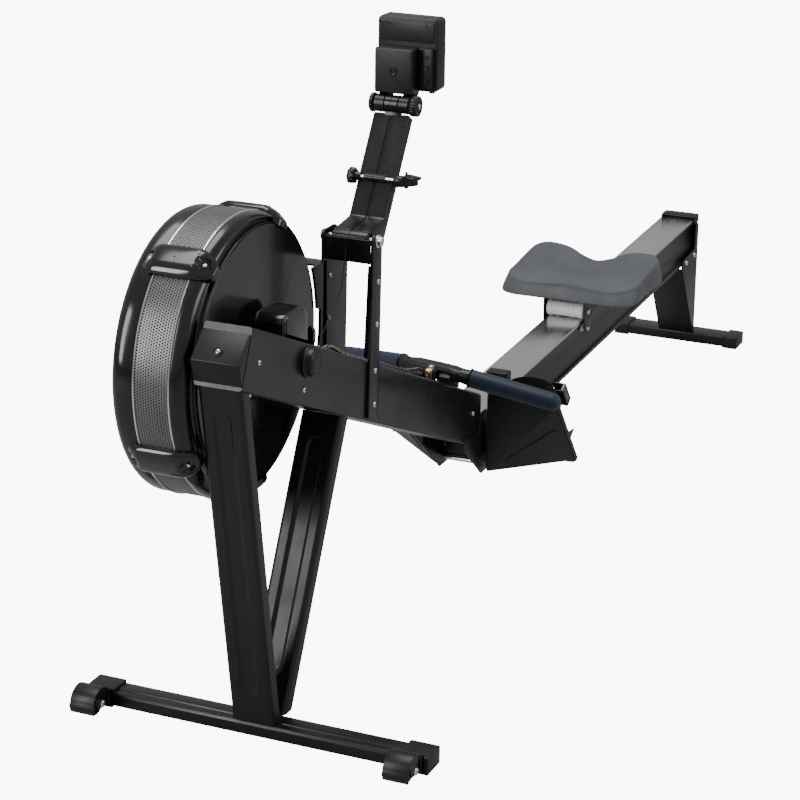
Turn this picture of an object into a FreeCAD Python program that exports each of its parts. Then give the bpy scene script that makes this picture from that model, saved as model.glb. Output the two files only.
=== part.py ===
import FreeCAD, Part
import math
import os

# Rowing machine with a fan flywheel. Millimetres, +Z up. +X runs from the flywheel to the end of
# the monorail, and +Y is the rower's right, the flywheel's side. The origin is on the floor, at the
# middle of the machine's length and width.

V = FreeCAD.Vector
os.makedirs("parts", exist_ok=True)

# ---- main beam: a box section that descends rearwards ----
BEAM_NOSE_X = -1147.5
BEAM_NOSE_Z = 714.6
BEAM_SLOPE = 23.36
BEAM_HEIGHT = 97.0
BEAM_WIDTH = 81.5
BEAM_WALL = 3.0
BEAM_CORNER = 5.0
BEAM_REAR_X = -214.0
NOSE_REACH = 26.0
NOSE_DROP = 61.5
CHAIN_SLOT = (160.0, 362.0)
CHAIN_SLOT_WIDTH = 26.0

# ---- monorail ----
RAIL_FRONT_X = -207.0
RAIL_LENGTH = 1357.0
RAIL_REAR_TOP_Z = 310.2
RAIL_SLOPE = 1.64
RAIL_WIDTH = 76.4
RAIL_HEIGHT = 92.8
RAIL_FLANGE = 9.0
RAIL_RECESS = 6.0
RAIL_WALL = 3.5
TRACK_THICKNESS = 1.2
TRACK_LIP = 5.0

# ---- front foot, V legs and transport wheels ----
FOOT_BAR_X = (-1081.0, -1037.5)
FOOT_BAR_Z = (2.5, 26.8)
FOOT_HALF_WIDTH = 305.0
FOOT_BAR_WALL = 2.0
CAP_LENGTH = 50.0
CAP_SKIN = 4.0
LEG_WIDTH = 74.0
LEG_DEPTH = 24.0
LEG_WALL = 3.0
FRONT_LEG_FOOT = (-1081.0, 26.8)
FRONT_LEG_HEAD = (-1181.0, 622.0)
BACK_LEG_FOOT = (-1036.0, 36.0)
BACK_LEG_HEAD = (-822.0, 468.0)
LEG_GROOVE_WIDTH = 26.0
LEG_GROOVE_DEPTH = 1.4
WHEEL_X = -1118.0
WHEEL_RADIUS = 22.5
WHEEL_WIDTH = 26.0
WHEEL_LIFT = 1.5
WHEEL_Y = 276.0
WHEEL_BORE = 4.0
HOOD_GAP = 2.2
HOOD_WALL = 3.0
HOOD_WIDTH = 44.0

# ---- rear leg and rear foot ----
REAR_LEG_TOP_X = (1042.0, 1158.0)
REAR_LEG_FOOT_X = (1150.0, 1160.0)
REAR_LEG_PLATE = 3.0
REAR_COLUMN = 22.0
REAR_BAR_DEPTH = 47.0
REAR_BAR_HALF_WIDTH = 150.0
REAR_BAR_Z = (2.5, 26.0)
REAR_BAR_SETBACK = 8.0

# ---- flywheel and its housing ----
AXLE_X = -957.0
AXLE_Z = 603.0
HOUSING_X = -980.0
HOUSING_Z = 604.5
HOUSING_RADIUS = 228.0
HOUSING_Y = (46.0, 177.0)
BAND_Y = (70.0, 131.0)
SHELL_WALL = 3.0
SHOULDER = 22.0
ROTOR_RADIUS = 190.0
ROTOR_Y = (66.0, 160.0)
FAN_BLADES = 24
BLADE_THICKNESS = 2.0
HUB_RADIUS = 30.0
AXLE_RADIUS = 8.0
RUNNING_FIT = 0.05
SPROCKET_RADIUS = 22.0
SPROCKET_TEETH = 14
SPROCKET_WIDTH = 5.0
AXLE_CAP_RADIUS = 26.0
AXLE_CAP_LENGTH = 15.0
CLIP_ANGLES = (61.5, 126.5, 209.5, 277.0, 352.0)
CLIP_LENGTH = 56.0
CLIP_THICKNESS = 12.0
CLIP_Y = (40.0, 163.0)
SHROUD_Y = (-20.0, 34.0)
SHROUD_HALF_LENGTH = 43.0
SHROUD_TOP_Z = 684.0
SHROUD_WALL = 2.5
DAMPER_RADIUS = 92.0
DAMPER_THICKNESS = 4.0
DAMPER_LEVER_LENGTH = 52.0

# ---- uprights, monitor arm and monitor ----
COVER_REAR_X = HOUSING_X + HOUSING_RADIUS
UPRIGHT_THICKNESS = 5.0
NEAR_UPRIGHT_BOTTOM = (COVER_REAR_X + 15.0, COVER_REAR_X + 55.0)
NEAR_UPRIGHT_TOP = (COVER_REAR_X + 30.0, COVER_REAR_X + 66.0)
FAR_UPRIGHT_X = (COVER_REAR_X + 25.0, COVER_REAR_X + 120.0)
UPRIGHT_TOP_Z = 745.0
PIVOT_X = COVER_REAR_X + 45.0
PIVOT_Z = 733.0
PIVOT_TUBE_RADIUS = 13.0
PIVOT_PIN_RADIUS = 5.0
ARM_WIDTH = 64.0
ARM_DEPTH = 21.0
KINK_X = PIVOT_X + 58.0
KINK_Z = 753.0
HEAD_X = PIVOT_X + 166.0
HEAD_Z = 921.0
HEAD_TUBE_RADIUS = 15.0
MONITOR_X = (HEAD_X + 28.0, HEAD_X + 64.0)
MONITOR_Y = (-66.0, 42.0)
MONITOR_Z = (940.0, 1062.0)
MONITOR_WALL = 3.0
PACK_X = (HEAD_X - 4.0, HEAD_X + 27.6)
PACK_HALF_WIDTH = 34.0
PACK_Z = (939.2, 1014.0)
BUTTON_COUNT = 3
HOLDER_Z = 812.0
HOLDER_ROD_RADIUS = 3.0
HOLDER_KNOB_RADIUS = 14.0

# ---- handle ----
HANDLE_X = -338.0
HANDLE_Z = 391.0
HANDLE_YAW = -10.7
HANDLE_BEND = 16.0
HANDLE_ROLL = 34.0
HANDLE_CENTRE = 119.0
GRIP_LENGTH = 185.0
GRIP_RADIUS = 16.5
CENTRE_RADIUS = 14.5
BOSS_RADIUS = 8.0
PIN_SETBACK = 20.0
HANDLE_RISE = 14.0
CHAIN_RADIUS = 3.6

# ---- seat ----
SEAT_X = 450.0
SEAT_WIDTH = 296.0
SEAT_DEPTH = 242.0
SEAT_THICKNESS = 44.0
ROLLER_RADIUS = 17.0
ROLLER_LENGTH = 80.0
ROLLER_SPREAD = 166.0
ROLLER_AXLE = 4.0
LOWER_ROLLER_RADIUS = 8.5
LOWER_ROLLER_WIDTH = 4.5
CARRIAGE_PLATE = 2.0
BODY_GAP = 0.4

# ---- footrests ----
FOOT_INNER_Y = 50.0
FOOT_OUTER_Y = 190.0
SOLE_FRONT_X = -206.0
SOLE_HEEL_X = -89.0
SOLE_HEEL_Z = 161.0
SOLE_TOP_Z = 307.0
SKIRT_BOTTOM_Z = 155.0
FOOT_WALL = 3.0
BOARD_THICKNESS = 6.0
TOE_EXTENSION = 38.0
STRAP_WIDTH = 38.0
STRAP_HEIGHT = 62.0

SLOPE = math.radians(BEAM_SLOPE)
BEAM_HALF = BEAM_WIDTH / 2
RAIL_HALF = RAIL_WIDTH / 2
RAIL_ANGLE = math.radians(RAIL_SLOPE)
RAIL_REAR_X = RAIL_FRONT_X + RAIL_LENGTH
BAR_MIDDLE_X = sum(FOOT_BAR_X) / 2
WHEEL_Z = WHEEL_RADIUS + WHEEL_LIFT
REAR_AXLE_RAIL_Z = RAIL_REAR_TOP_Z + (SEAT_X + ROLLER_SPREAD / 2 - RAIL_REAR_X) * math.tan(RAIL_ANGLE)
ROLLER_STACK = ROLLER_RADIUS * (1 + 1 / math.cos(RAIL_ANGLE))
SEAT_BASE_Z = REAR_AXLE_RAIL_Z + ROLLER_STACK + CARRIAGE_PLATE + BODY_GAP


# ---------------------------------------------------------------- shape helpers
def box(x, y, z):
    """A box between three (low, high) pairs."""
    return Part.makeBox(x[1] - x[0], y[1] - y[0], z[1] - z[0], V(x[0], y[0], z[0]))


def rod_y(x, z, radius, y):
    """A cylinder along Y between y[0] and y[1]."""
    return Part.makeCylinder(radius, y[1] - y[0], V(x, y[0], z), V(0, 1, 0))


def rod(start, end, radius):
    """A cylinder from one point to another."""
    path = V(*end) - V(*start)
    return Part.makeCylinder(radius, path.Length, V(*start), path)


def tube_y(x, z, outer, inner, y):
    """A ring along Y."""
    hole = rod_y(x, z, inner, (y[0] - 1, y[1] + 1))
    return rod_y(x, z, outer, y).cut(hole)


def prism_y(outline, y):
    """An outline of (x, z) points, extruded along Y."""
    points = [V(px, y[0], pz) for px, pz in outline]
    face = Part.Face(Part.makePolygon(points + [points[0]]))
    return face.extrude(V(0, y[1] - y[0], 0))


def prism_z(outline, z):
    """An outline of (x, y) points, extruded along Z."""
    points = [V(px, py, z[0]) for px, py in outline]
    face = Part.Face(Part.makePolygon(points + [points[0]]))
    return face.extrude(V(0, 0, z[1] - z[0]))


def solid_from(faces):
    """A closed solid from lists of corner points, one list per flat face."""
    flats = []
    for corners in faces:
        points = [V(*corner) for corner in corners]
        flats.append(Part.Face(Part.makePolygon(points + [points[0]])))
    solid = Part.Solid(Part.Shell(flats))
    if solid.Volume < 0:
        solid.reverse()
    return solid


def edges_along(shape, direction):
    """The straight edges that run along a direction."""
    picked = []
    for edge in shape.Edges:
        if not isinstance(edge.Curve, Part.Line):
            continue
        if abs(edge.tangentAt(edge.FirstParameter).dot(V(*direction))) > 0.999:
            picked.append(edge)
    return picked


def softened(shape, radius, direction):
    """The shape with its edges along a direction rounded."""
    return shape.makeFillet(radius, edges_along(shape, direction))


def turned_y(shape, degrees, x=0.0, z=0.0):
    """The shape turned about a Y axis through (x, z)."""
    copy = shape.copy()
    copy.rotate(V(x, 0, z), V(0, 1, 0), degrees)
    return copy


def on_beam(shape):
    """Carry a shape from beam coordinates (along, across, up from the top face) into place."""
    copy = shape.copy()
    copy.rotate(V(0, 0, 0), V(0, 1, 0), BEAM_SLOPE)
    copy.translate(V(BEAM_NOSE_X, 0, BEAM_NOSE_Z))
    return copy


def on_rail(shape):
    """Carry a shape from rail coordinates (back from the rear end, across, up) into place."""
    copy = shape.copy()
    copy.rotate(V(0, 0, 0), V(0, 1, 0), -RAIL_SLOPE)
    copy.translate(V(RAIL_REAR_X, 0, RAIL_REAR_TOP_Z))
    return copy


def beam_point(along, up):
    """The (x, z) of a point in beam coordinates."""
    x = BEAM_NOSE_X + along * math.cos(SLOPE) + up * math.sin(SLOPE)
    z = BEAM_NOSE_Z - along * math.sin(SLOPE) + up * math.cos(SLOPE)
    return x, z


def beam_top(x):
    """The height of the beam's top face at x."""
    return BEAM_NOSE_Z - (x - BEAM_NOSE_X) * math.tan(SLOPE)


def beam_bottom(x):
    """The height of the beam's underside at x."""
    return beam_top(x) - BEAM_HEIGHT / math.cos(SLOPE)


def rail_top(x):
    """The height of the track's top face at x."""
    return RAIL_REAR_TOP_Z + (x - RAIL_REAR_X) * math.tan(RAIL_ANGLE)


def joined(shapes):
    """One solid from touching shapes."""
    whole = shapes[0]
    for shape in shapes[1:]:
        whole = whole.fuse(shape)
    return whole.removeSplitter()


def mirrored(shape):
    """The shape on the other side of the machine's middle."""
    return shape.mirror(V(0, 0, 0), V(0, 1, 0))


def save(name, *shapes):
    """Write one sub-part."""
    shape = shapes[0] if len(shapes) == 1 else Part.makeCompound(list(shapes))
    solids = shape.Solids
    shape = solids[0] if len(solids) == 1 else Part.makeCompound(solids)
    if not shape.isValid() or not solids:
        raise RuntimeError("the solid of " + name + " is faulty")
    shape.exportStep("parts/" + name + ".step")
    print(name, len(solids), round(shape.Volume / 1000, 1), "cm3")
    return shape


def screw_y(x, z, face_y, side, radius=3.0, length=8.0):
    """A button-head screw whose head lies on a face at face_y and points to side (-1 or 1)."""
    outer = face_y + side * radius * 0.9
    head = Part.makeCone(radius * 2, radius * 1.2, radius * 0.9, V(x, face_y, z), V(0, side, 0))
    shank = Part.makeCylinder(radius, length, V(x, face_y, z), V(0, -side, 0))
    socket = Part.makeCylinder(radius * 0.8, radius * 0.5, V(x, outer, z), V(0, -side, 0))
    return head.fuse(shank).cut(socket)


def screw_hole_y(x, z, face_y, side, radius=3.0, length=8.0):
    """The hole that such a screw goes into."""
    start = V(x, face_y + side, z)
    return Part.makeCylinder(radius + 0.1, length + 1.5, start, V(0, -side, 0))


# ---------------------------------------------------------------- frame
def main_beam():
    """Hollow box section, cut upright at its rear, with a slot in its top for the chain."""
    length = (BEAM_REAR_X - BEAM_NOSE_X) / math.cos(SLOPE) + BEAM_HEIGHT
    outer = box((0, length), (-BEAM_HALF, BEAM_HALF), (-BEAM_HEIGHT, 0))
    outer = softened(outer, BEAM_CORNER, (1, 0, 0))
    inset = BEAM_HALF - BEAM_WALL
    inner = box((-1, length + 1), (-inset, inset), (BEAM_WALL - BEAM_HEIGHT, -BEAM_WALL))
    inner = softened(inner, BEAM_CORNER - BEAM_WALL, (1, 0, 0))
    half_slot = CHAIN_SLOT_WIDTH / 2
    slot = box(CHAIN_SLOT, (-half_slot, half_slot), (-BEAM_WALL - 1, 1))
    beam = on_beam(outer.cut(inner).cut(slot))
    behind = box((BEAM_REAR_X, BEAM_REAR_X + 400), (-200, 200), (-100, 700))
    beam = joined([beam.cut(behind), footrest_mount()])
    rod_x, rod_z = cross_rod_place()
    beam = beam.cut(rod_y(rod_x, rod_z, 5.1, (-90, 90)))
    wire = sensor_wire_route()[-1]
    beam = beam.cut(Part.makeCylinder(1.3, 20, V(wire[0], wire[1], wire[2] - 15)))
    beam = beam.cut(rod_y(AXLE_X, AXLE_Z, AXLE_RADIUS + 0.1, (-60, 60)))
    for x, z, side in beam_screw_places():
        beam = beam.cut(screw_hole_y(x, z, side * BEAM_HALF, side))
    for x, z in upright_screw_places():
        if z < beam_top(x):
            for side in (-1, 1):
                start = V(x, side * (BEAM_HALF + 1), z)
                beam = beam.cut(Part.makeCylinder(3.1, BEAM_WALL + 8, start, V(0, -side, 0)))
    return beam


def footrest_mount():
    """Side plates and shelf at the beam's rear that carry the footrests and the monorail's end."""
    x = (SOLE_FRONT_X - 90, SOLE_FRONT_X + 36)
    half = BEAM_HALF - 0.4
    side = [
        (x[0], beam_bottom(x[0]) + 10),
        (SOLE_FRONT_X - 20, beam_bottom(SOLE_FRONT_X - 20) + 24),
        (SOLE_FRONT_X - 10, beam_bottom(SOLE_FRONT_X - 10) + 60),
        (x[1], rail_top(x[1]) - RAIL_HEIGHT + 46),
        (x[1], SKIRT_BOTTOM_Z - 3),
        (SOLE_FRONT_X - 4, SKIRT_BOTTOM_Z - 3),
        (x[0], beam_bottom(x[0]) - 16),
    ]
    plates = prism_y(side, (half, half + 3)).fuse(prism_y(side, (-half - 3, -half)))
    shelf_z = rail_top(RAIL_FRONT_X) - RAIL_HEIGHT - 0.3
    shelf = box((SOLE_FRONT_X - 2, x[1]), (-half - 0.5, half + 0.5), (shelf_z - 3, shelf_z))
    return plates.fuse(shelf)


def beam_screw_places():
    """Screws in the beam's sides, as (x, z, side)."""
    places = []
    for along, up in ((39.6, -48.4), (217.7, -72.0), (990.0, -40.0)):
        x, z = beam_point(along, up)
        places.append((x, z, -1))
        if along < 900:
            continue
        places.append((x, z, 1))
    return places


def nose_outline():
    """The side outline of the beam's end cap, in beam coordinates."""
    return [(0, 0), (-NOSE_REACH, -NOSE_DROP), (0, -BEAM_HEIGHT)]


def beam_end_cap():
    """Wedge-nosed cap with a plug that enters the beam."""
    nose = prism_y(nose_outline(), (-BEAM_HALF, BEAM_HALF))
    nose = nose.makeFillet(2.0, [e for e in nose.Edges if e.BoundBox.XMin < -1])
    plug_y = BEAM_HALF - BEAM_WALL - 0.2
    plug_z = (BEAM_WALL + 0.2 - BEAM_HEIGHT, -BEAM_WALL - 0.2)
    plug = softened(box((0, 22), (-plug_y, plug_y), plug_z), 2.0, (1, 0, 0))
    core = box((4, 23), (-plug_y + 3, plug_y - 3), (plug_z[0] + 3, plug_z[1] - 3))
    return on_beam(joined([nose, plug.cut(core)]).cut(nose_screw_tool(0.1)))


def nose_screw_tool(clearance):
    """The cylinder of the cap's screw, square to the cap's upper face, in beam coordinates."""
    along = -NOSE_REACH * 0.72
    up = -NOSE_DROP * 0.72
    run = math.hypot(NOSE_REACH, NOSE_DROP)
    inward = V(NOSE_DROP / run, 0, -NOSE_REACH / run)
    start = V(along, 0, up) - inward * 1.0
    return Part.makeCylinder(3.0 + clearance, 10, start, inward)


def channel(foot, head, width):
    """A folded leg: a front web with two flanges, along the line from foot to head."""
    run = math.hypot(head[0] - foot[0], head[1] - foot[1])
    over = 80.0
    half = width / 2
    body = softened(box((0, LEG_DEPTH), (-half, half), (-over, run + over)), 6.0, (0, 0, 1))
    inner_half = half - LEG_WALL
    hollow = box((LEG_WALL, LEG_DEPTH + 1), (-inner_half, inner_half), (-over - 1, run + over + 1))
    body = body.cut(hollow)
    slot_half = LEG_GROOVE_WIDTH / 2
    low = 70.0
    high = run - 55.0
    groove = box((-1, LEG_GROOVE_DEPTH), (-slot_half, slot_half), (low, high))
    for end in (low, high):
        groove = groove.fuse(Part.makeCylinder(slot_half, LEG_GROOVE_DEPTH + 1, V(-1, 0, end), V(1, 0, 0)))
    body = body.cut(groove)
    body.rotate(V(0, 0, 0), V(0, 1, 0), math.degrees(math.atan2(head[0] - foot[0], head[1] - foot[1])))
    body.translate(V(foot[0], 0, foot[1]))
    return body


def trimmed_leg(foot, head, floor_z):
    """A leg cut flat at the bottom and to the beam's underside at the top."""
    leg = channel(foot, head, LEG_WIDTH)
    below = box((-1500, 0), (-200, 200), (floor_z - 300, floor_z))
    above = on_beam(box((-300, 1200), (-200, 200), (-BEAM_HEIGHT, 400)))
    return leg.cut(below).cut(above)


def back_leg():
    """The back leg of the V, with the folded plate that bolts both legs to the foot bar."""
    leg = trimmed_leg(BACK_LEG_FOOT, BACK_LEG_HEAD, BACK_LEG_FOOT[1])
    x = (FRONT_LEG_FOOT[0] + LEG_WALL + 1.5, BACK_LEG_FOOT[0] + LEG_WALL)
    top = FOOT_BAR_Z[1]
    half = LEG_WIDTH / 2 - LEG_WALL - 1
    base = box(x, (-half, half), (top, top + 3))
    rear = box((x[1] - 3, x[1]), (-half, half), (top, BACK_LEG_FOOT[1] + 3))
    shape = joined([leg, base, rear])
    for bolt_x, bolt_y in bracket_bolt_places():
        shape = shape.cut(Part.makeCylinder(4.1, 10, V(bolt_x, bolt_y, top - 1)))
    return shape


def bracket_bolt_places():
    """Bolts through the bracket into the foot bar."""
    return [(BAR_MIDDLE_X + dx, dy) for dx, dy in ((12, -22), (12, 22), (-4, -22), (-4, 22))]


def front_foot_bar():
    """Rectangular tube across the floor."""
    y = FOOT_HALF_WIDTH - CAP_SKIN
    bar = softened(box(FOOT_BAR_X, (-y, y), FOOT_BAR_Z), 2.5, (0, 1, 0))
    wall = FOOT_BAR_WALL
    inner_x = (FOOT_BAR_X[0] + wall, FOOT_BAR_X[1] - wall)
    bar = bar.cut(box(inner_x, (-y - 1, y + 1), (FOOT_BAR_Z[0] + wall, FOOT_BAR_Z[1] - wall)))
    for bolt_x, bolt_y in bracket_bolt_places():
        bar = bar.cut(Part.makeCylinder(4.1, 10, V(bolt_x, bolt_y, FOOT_BAR_Z[1] - 5)))
    return bar


def front_foot_cap():
    """Moulded cap on the bar's +Y end, with the arched hood of its transport wheel."""
    y = (FOOT_HALF_WIDTH - CAP_LENGTH, FOOT_HALF_WIDTH)
    shell_x = (FOOT_BAR_X[0] - CAP_SKIN, FOOT_BAR_X[1] + CAP_SKIN)
    shell = softened(box(shell_x, y, (0, FOOT_BAR_Z[1] + CAP_SKIN)), 2.0, (0, 1, 0))
    hood_out = WHEEL_RADIUS + HOOD_GAP + HOOD_WALL
    hood_y = (WHEEL_Y - HOOD_WIDTH / 2, WHEEL_Y + HOOD_WIDTH / 2)
    arch = rod_y(WHEEL_X, WHEEL_Z, hood_out, hood_y)
    arch = arch.cut(box((WHEEL_X - 60, WHEEL_X + 60), (0, 400), (-60, WHEEL_Z - 10)))
    bridge = box((WHEEL_X, shell_x[0] + 3), hood_y, (2, WHEEL_Z + 14))
    lip = box((WHEEL_X - hood_out - 1.5, WHEEL_X - hood_out + 5), hood_y, (WHEEL_Z - 13, WHEEL_Z - 4))
    cap = joined([shell, arch, bridge, lip])
    cap = cap.cut(rod_y(WHEEL_X, WHEEL_Z, WHEEL_RADIUS + HOOD_GAP, (hood_y[0] + 4, hood_y[1] - 4)))
    well = WHEEL_RADIUS * 0.72
    cap = cap.cut(rod_y(WHEEL_X, WHEEL_Z, well, (hood_y[0] - 1, hood_y[1] + 1)))
    low = box((WHEEL_X - 60, WHEEL_X + well), (hood_y[0] - 1, hood_y[1] + 1), (-60, WHEEL_Z - 13))
    cap = cap.cut(low)
    cheek = wheel_cheek(hood_y[0]).fuse(wheel_cheek(hood_y[1] - 4))
    cap = joined([cap, cheek]).cut(rod_y(WHEEL_X, WHEEL_Z, WHEEL_BORE + 0.1, (0, 400)))
    bar_y = (0, FOOT_HALF_WIDTH - CAP_SKIN + 0.1)
    bar_x = (FOOT_BAR_X[0] - 0.1, FOOT_BAR_X[1] + 0.1)
    return cap.cut(box(bar_x, bar_y, (FOOT_BAR_Z[0] - 0.1, FOOT_BAR_Z[1] + 0.1)))


def wheel_cheek(y):
    """Side strap of the hood that carries the wheel's axle."""
    reach = WHEEL_RADIUS + HOOD_GAP + 1
    outline = [
        (WHEEL_X - 8, WHEEL_Z - 9),
        (WHEEL_X + 8, WHEEL_Z - 9),
        (WHEEL_X + reach * 0.6, WHEEL_Z + reach * 0.72),
        (WHEEL_X - reach * 0.6, WHEEL_Z + reach * 0.72),
    ]
    return prism_y(outline, (y, y + 4))


def caster_wheel():
    """Transport wheel on the +Y side."""
    y = (WHEEL_Y - WHEEL_WIDTH / 2, WHEEL_Y + WHEEL_WIDTH / 2)
    wheel = rod_y(WHEEL_X, WHEEL_Z, WHEEL_RADIUS, y)
    wheel = wheel.makeFillet(2.5, [e for e in wheel.Edges if isinstance(e.Curve, Part.Circle)])
    dish = tube_y(WHEEL_X, WHEEL_Z, WHEEL_RADIUS - 5, 8, (y[0] - 1, y[0] + 3))
    other = tube_y(WHEEL_X, WHEEL_Z, WHEEL_RADIUS - 5, 8, (y[1] - 3, y[1] + 1))
    bore = rod_y(WHEEL_X, WHEEL_Z, WHEEL_BORE + RUNNING_FIT, (y[0] - 1, y[1] + 1))
    return wheel.cut(dish).cut(other).cut(bore)


def caster_axle():
    """Rivet through the hood's cheeks on the +Y side."""
    half = HOOD_WIDTH / 2
    shaft = rod_y(WHEEL_X, WHEEL_Z, WHEEL_BORE, (WHEEL_Y - half - 1, WHEEL_Y + half + 1))
    head = rod_y(WHEEL_X, WHEEL_Z, 6.0, (WHEEL_Y + half + 0.1, WHEEL_Y + half + 2))
    tail = rod_y(WHEEL_X, WHEEL_Z, 6.0, (WHEEL_Y - half - 2, WHEEL_Y - half - 0.1))
    return joined([shaft, head, tail])


def rail_section(x, grow=0.0):
    """The monorail's solid outline: a flanged box, from x[0] to x[1] in rail coordinates."""
    top = -TRACK_THICKNESS
    half = RAIL_HALF - TRACK_THICKNESS + grow
    waist = half - RAIL_RECESS
    flange = box(x, (-half, half), (top - RAIL_FLANGE, top))
    web = box(x, (-waist, waist), (-RAIL_HEIGHT, top - RAIL_FLANGE))
    foot = box(x, (-half, half), (-RAIL_HEIGHT, -RAIL_HEIGHT + RAIL_FLANGE))
    return joined([flange, web, foot])


def monorail_beam():
    """Hollow extrusion that the seat rolls along."""
    length = RAIL_LENGTH / math.cos(RAIL_ANGLE)
    body = rail_section((-length, 0))
    waist = RAIL_HALF - TRACK_THICKNESS - RAIL_RECESS - RAIL_WALL
    z = (-RAIL_HEIGHT + RAIL_WALL, -TRACK_THICKNESS - RAIL_WALL)
    body = body.cut(box((-length - 1, 1), (-waist, waist), z))
    return on_rail(body)


def stainless_track():
    """Thin folded strip that caps the monorail."""
    length = RAIL_LENGTH / math.cos(RAIL_ANGLE)
    strip = box((-length + 2, -26), (-RAIL_HALF, RAIL_HALF), (-TRACK_LIP, 0))
    inner = RAIL_HALF - TRACK_THICKNESS
    return on_rail(strip.cut(box((-length, 0), (-inner, inner), (-TRACK_LIP - 1, -TRACK_THICKNESS))))


def seat_stop(x):
    """Rubber buffer bolted to the track at x, rail coordinates being worked out from it."""
    back = (x - RAIL_REAR_X) / math.cos(RAIL_ANGLE)
    block = box((back - 12, back + 12), (-22, 22), (0, 13))
    return on_rail(block.makeFillet(3.0, block.Edges))


def monorail_end_cap():
    """Cap over the monorail's rear end, a little proud of the track."""
    cap = box((-24, 8), (-RAIL_HALF - 2.5, RAIL_HALF + 2.5), (-14, 5))
    cap = cap.makeFillet(2.0, cap.Edges)
    plate = box((0.2, 8), (-RAIL_HALF, RAIL_HALF), (-RAIL_HEIGHT, -8))
    cap = joined([cap, plate])
    return on_rail(cap.cut(box((-40, 0.2), (-RAIL_HALF - 0.1, RAIL_HALF + 0.1), (-RAIL_HEIGHT - 1, 0.1))))


def rear_leg():
    """Folded leg under the monorail's end: a slanted front web and two upright side plates."""
    half = RAIL_HALF + 0.2
    outer = half + REAR_LEG_PLATE
    under = rail_top(REAR_LEG_TOP_X[0]) - RAIL_HEIGHT
    foot_z = REAR_BAR_Z[1]
    front_foot = REAR_LEG_FOOT_X[0]
    column = REAR_LEG_TOP_X[1] - REAR_COLUMN
    top = rail_top(column) - 16
    side = [
        (front_foot, foot_z),
        (REAR_LEG_TOP_X[0], under - 2),
        (REAR_LEG_TOP_X[0] + 8, under + 16),
        (column, under + 22),
        (column, top),
        (REAR_LEG_TOP_X[1], top),
        (REAR_LEG_TOP_X[1] + 4, foot_z),
    ]
    plates = prism_y(side, (half, outer)).fuse(prism_y(side, (-outer, -half)))
    web_top = under - 4
    web = [
        (front_foot, foot_z),
        (front_foot + 3, foot_z),
        (REAR_LEG_TOP_X[0] + 4, web_top),
        (REAR_LEG_TOP_X[0] + 1, web_top),
    ]
    web = prism_y(web, (-half - 0.5, half + 0.5))
    base = box((front_foot + 1, REAR_LEG_TOP_X[1] + 4), (-half - 0.5, half + 0.5), (foot_z, foot_z + 3))
    shape = joined([plates, web, base])
    for x, z in rear_leg_bolt_places():
        shape = shape.cut(rod_y(x, z, 4.1, (-80, 80)))
    return shape


def rear_leg_bolt_places():
    """Bolts through the rear leg's side plates into the monorail."""
    low = rail_top(REAR_LEG_TOP_X[0]) - RAIL_HEIGHT + 6
    back = rail_top(REAR_LEG_TOP_X[1]) - RAIL_HEIGHT + 6
    return [(REAR_LEG_TOP_X[0] + 24, low), (REAR_LEG_TOP_X[1] - 32, back)]


def rear_bar_x():
    """The rear foot bar's front and rear faces."""
    front = REAR_LEG_FOOT_X[0] + REAR_BAR_SETBACK
    return front, front + REAR_BAR_DEPTH


def rear_foot_bar():
    """Tube under the rear leg."""
    y = REAR_BAR_HALF_WIDTH - 3
    x = rear_bar_x()
    bar = softened(box((x[0] - REAR_BAR_SETBACK, x[1]), (-y, y), REAR_BAR_Z), 2.5, (0, 1, 0))
    wall = FOOT_BAR_WALL
    inner = box((x[0] - REAR_BAR_SETBACK + wall, x[1] - wall), (-y - 1, y + 1),
                (REAR_BAR_Z[0] + wall, REAR_BAR_Z[1] - wall))
    return bar.cut(inner)


def rear_foot_cap():
    """Moulded cap on the rear bar's +Y end."""
    x = rear_bar_x()
    y = (REAR_BAR_HALF_WIDTH - 34, REAR_BAR_HALF_WIDTH)
    low = x[0] - REAR_BAR_SETBACK
    cap = softened(box((low - 3, x[1] + 3), y, (0, REAR_BAR_Z[1] + 3)), 2.5, (0, 1, 0))
    room = box((low - 0.1, x[1] + 0.1), (0, y[1] - 2.9), (REAR_BAR_Z[0] - 0.1, REAR_BAR_Z[1] + 0.1))
    return cap.cut(room)


# ---------------------------------------------------------------- flywheel
def housing_cover(y_face, y_rim, hole):
    """A dished cover: flat face, rounded shoulder and a rim that meets the perforated band."""
    inward = 1 if y_rim > y_face else -1
    depth = abs(y_rim - y_face)
    radius = HOUSING_RADIUS
    outer = rod_y(HOUSING_X, HOUSING_Z, radius, sorted((y_face, y_rim)))
    shoulder = min(SHOULDER, depth - 2)
    outer = outer.makeFillet(shoulder, round_edges_at(outer, y_face))
    inner_y = sorted((y_face + inward * SHELL_WALL, y_rim + inward))
    inner = rod_y(HOUSING_X, HOUSING_Z, radius - SHELL_WALL, inner_y)
    inner = inner.makeFillet(shoulder - SHELL_WALL, round_edges_at(inner, y_face + inward * SHELL_WALL))
    cover = outer.cut(inner)
    return cover.cut(rod_y(AXLE_X, AXLE_Z, hole, (0, 260)))


def round_edges_at(shape, y):
    """The shape's circular edges that lie at y."""
    return [e for e in shape.Edges if isinstance(e.Curve, Part.Circle) and abs(e.CenterOfMass.y - y) < 0.1]


def near_flywheel_cover():
    """Cover beside the beam."""
    return housing_cover(HOUSING_Y[0], BAND_Y[0], HUB_RADIUS + 6)


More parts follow.
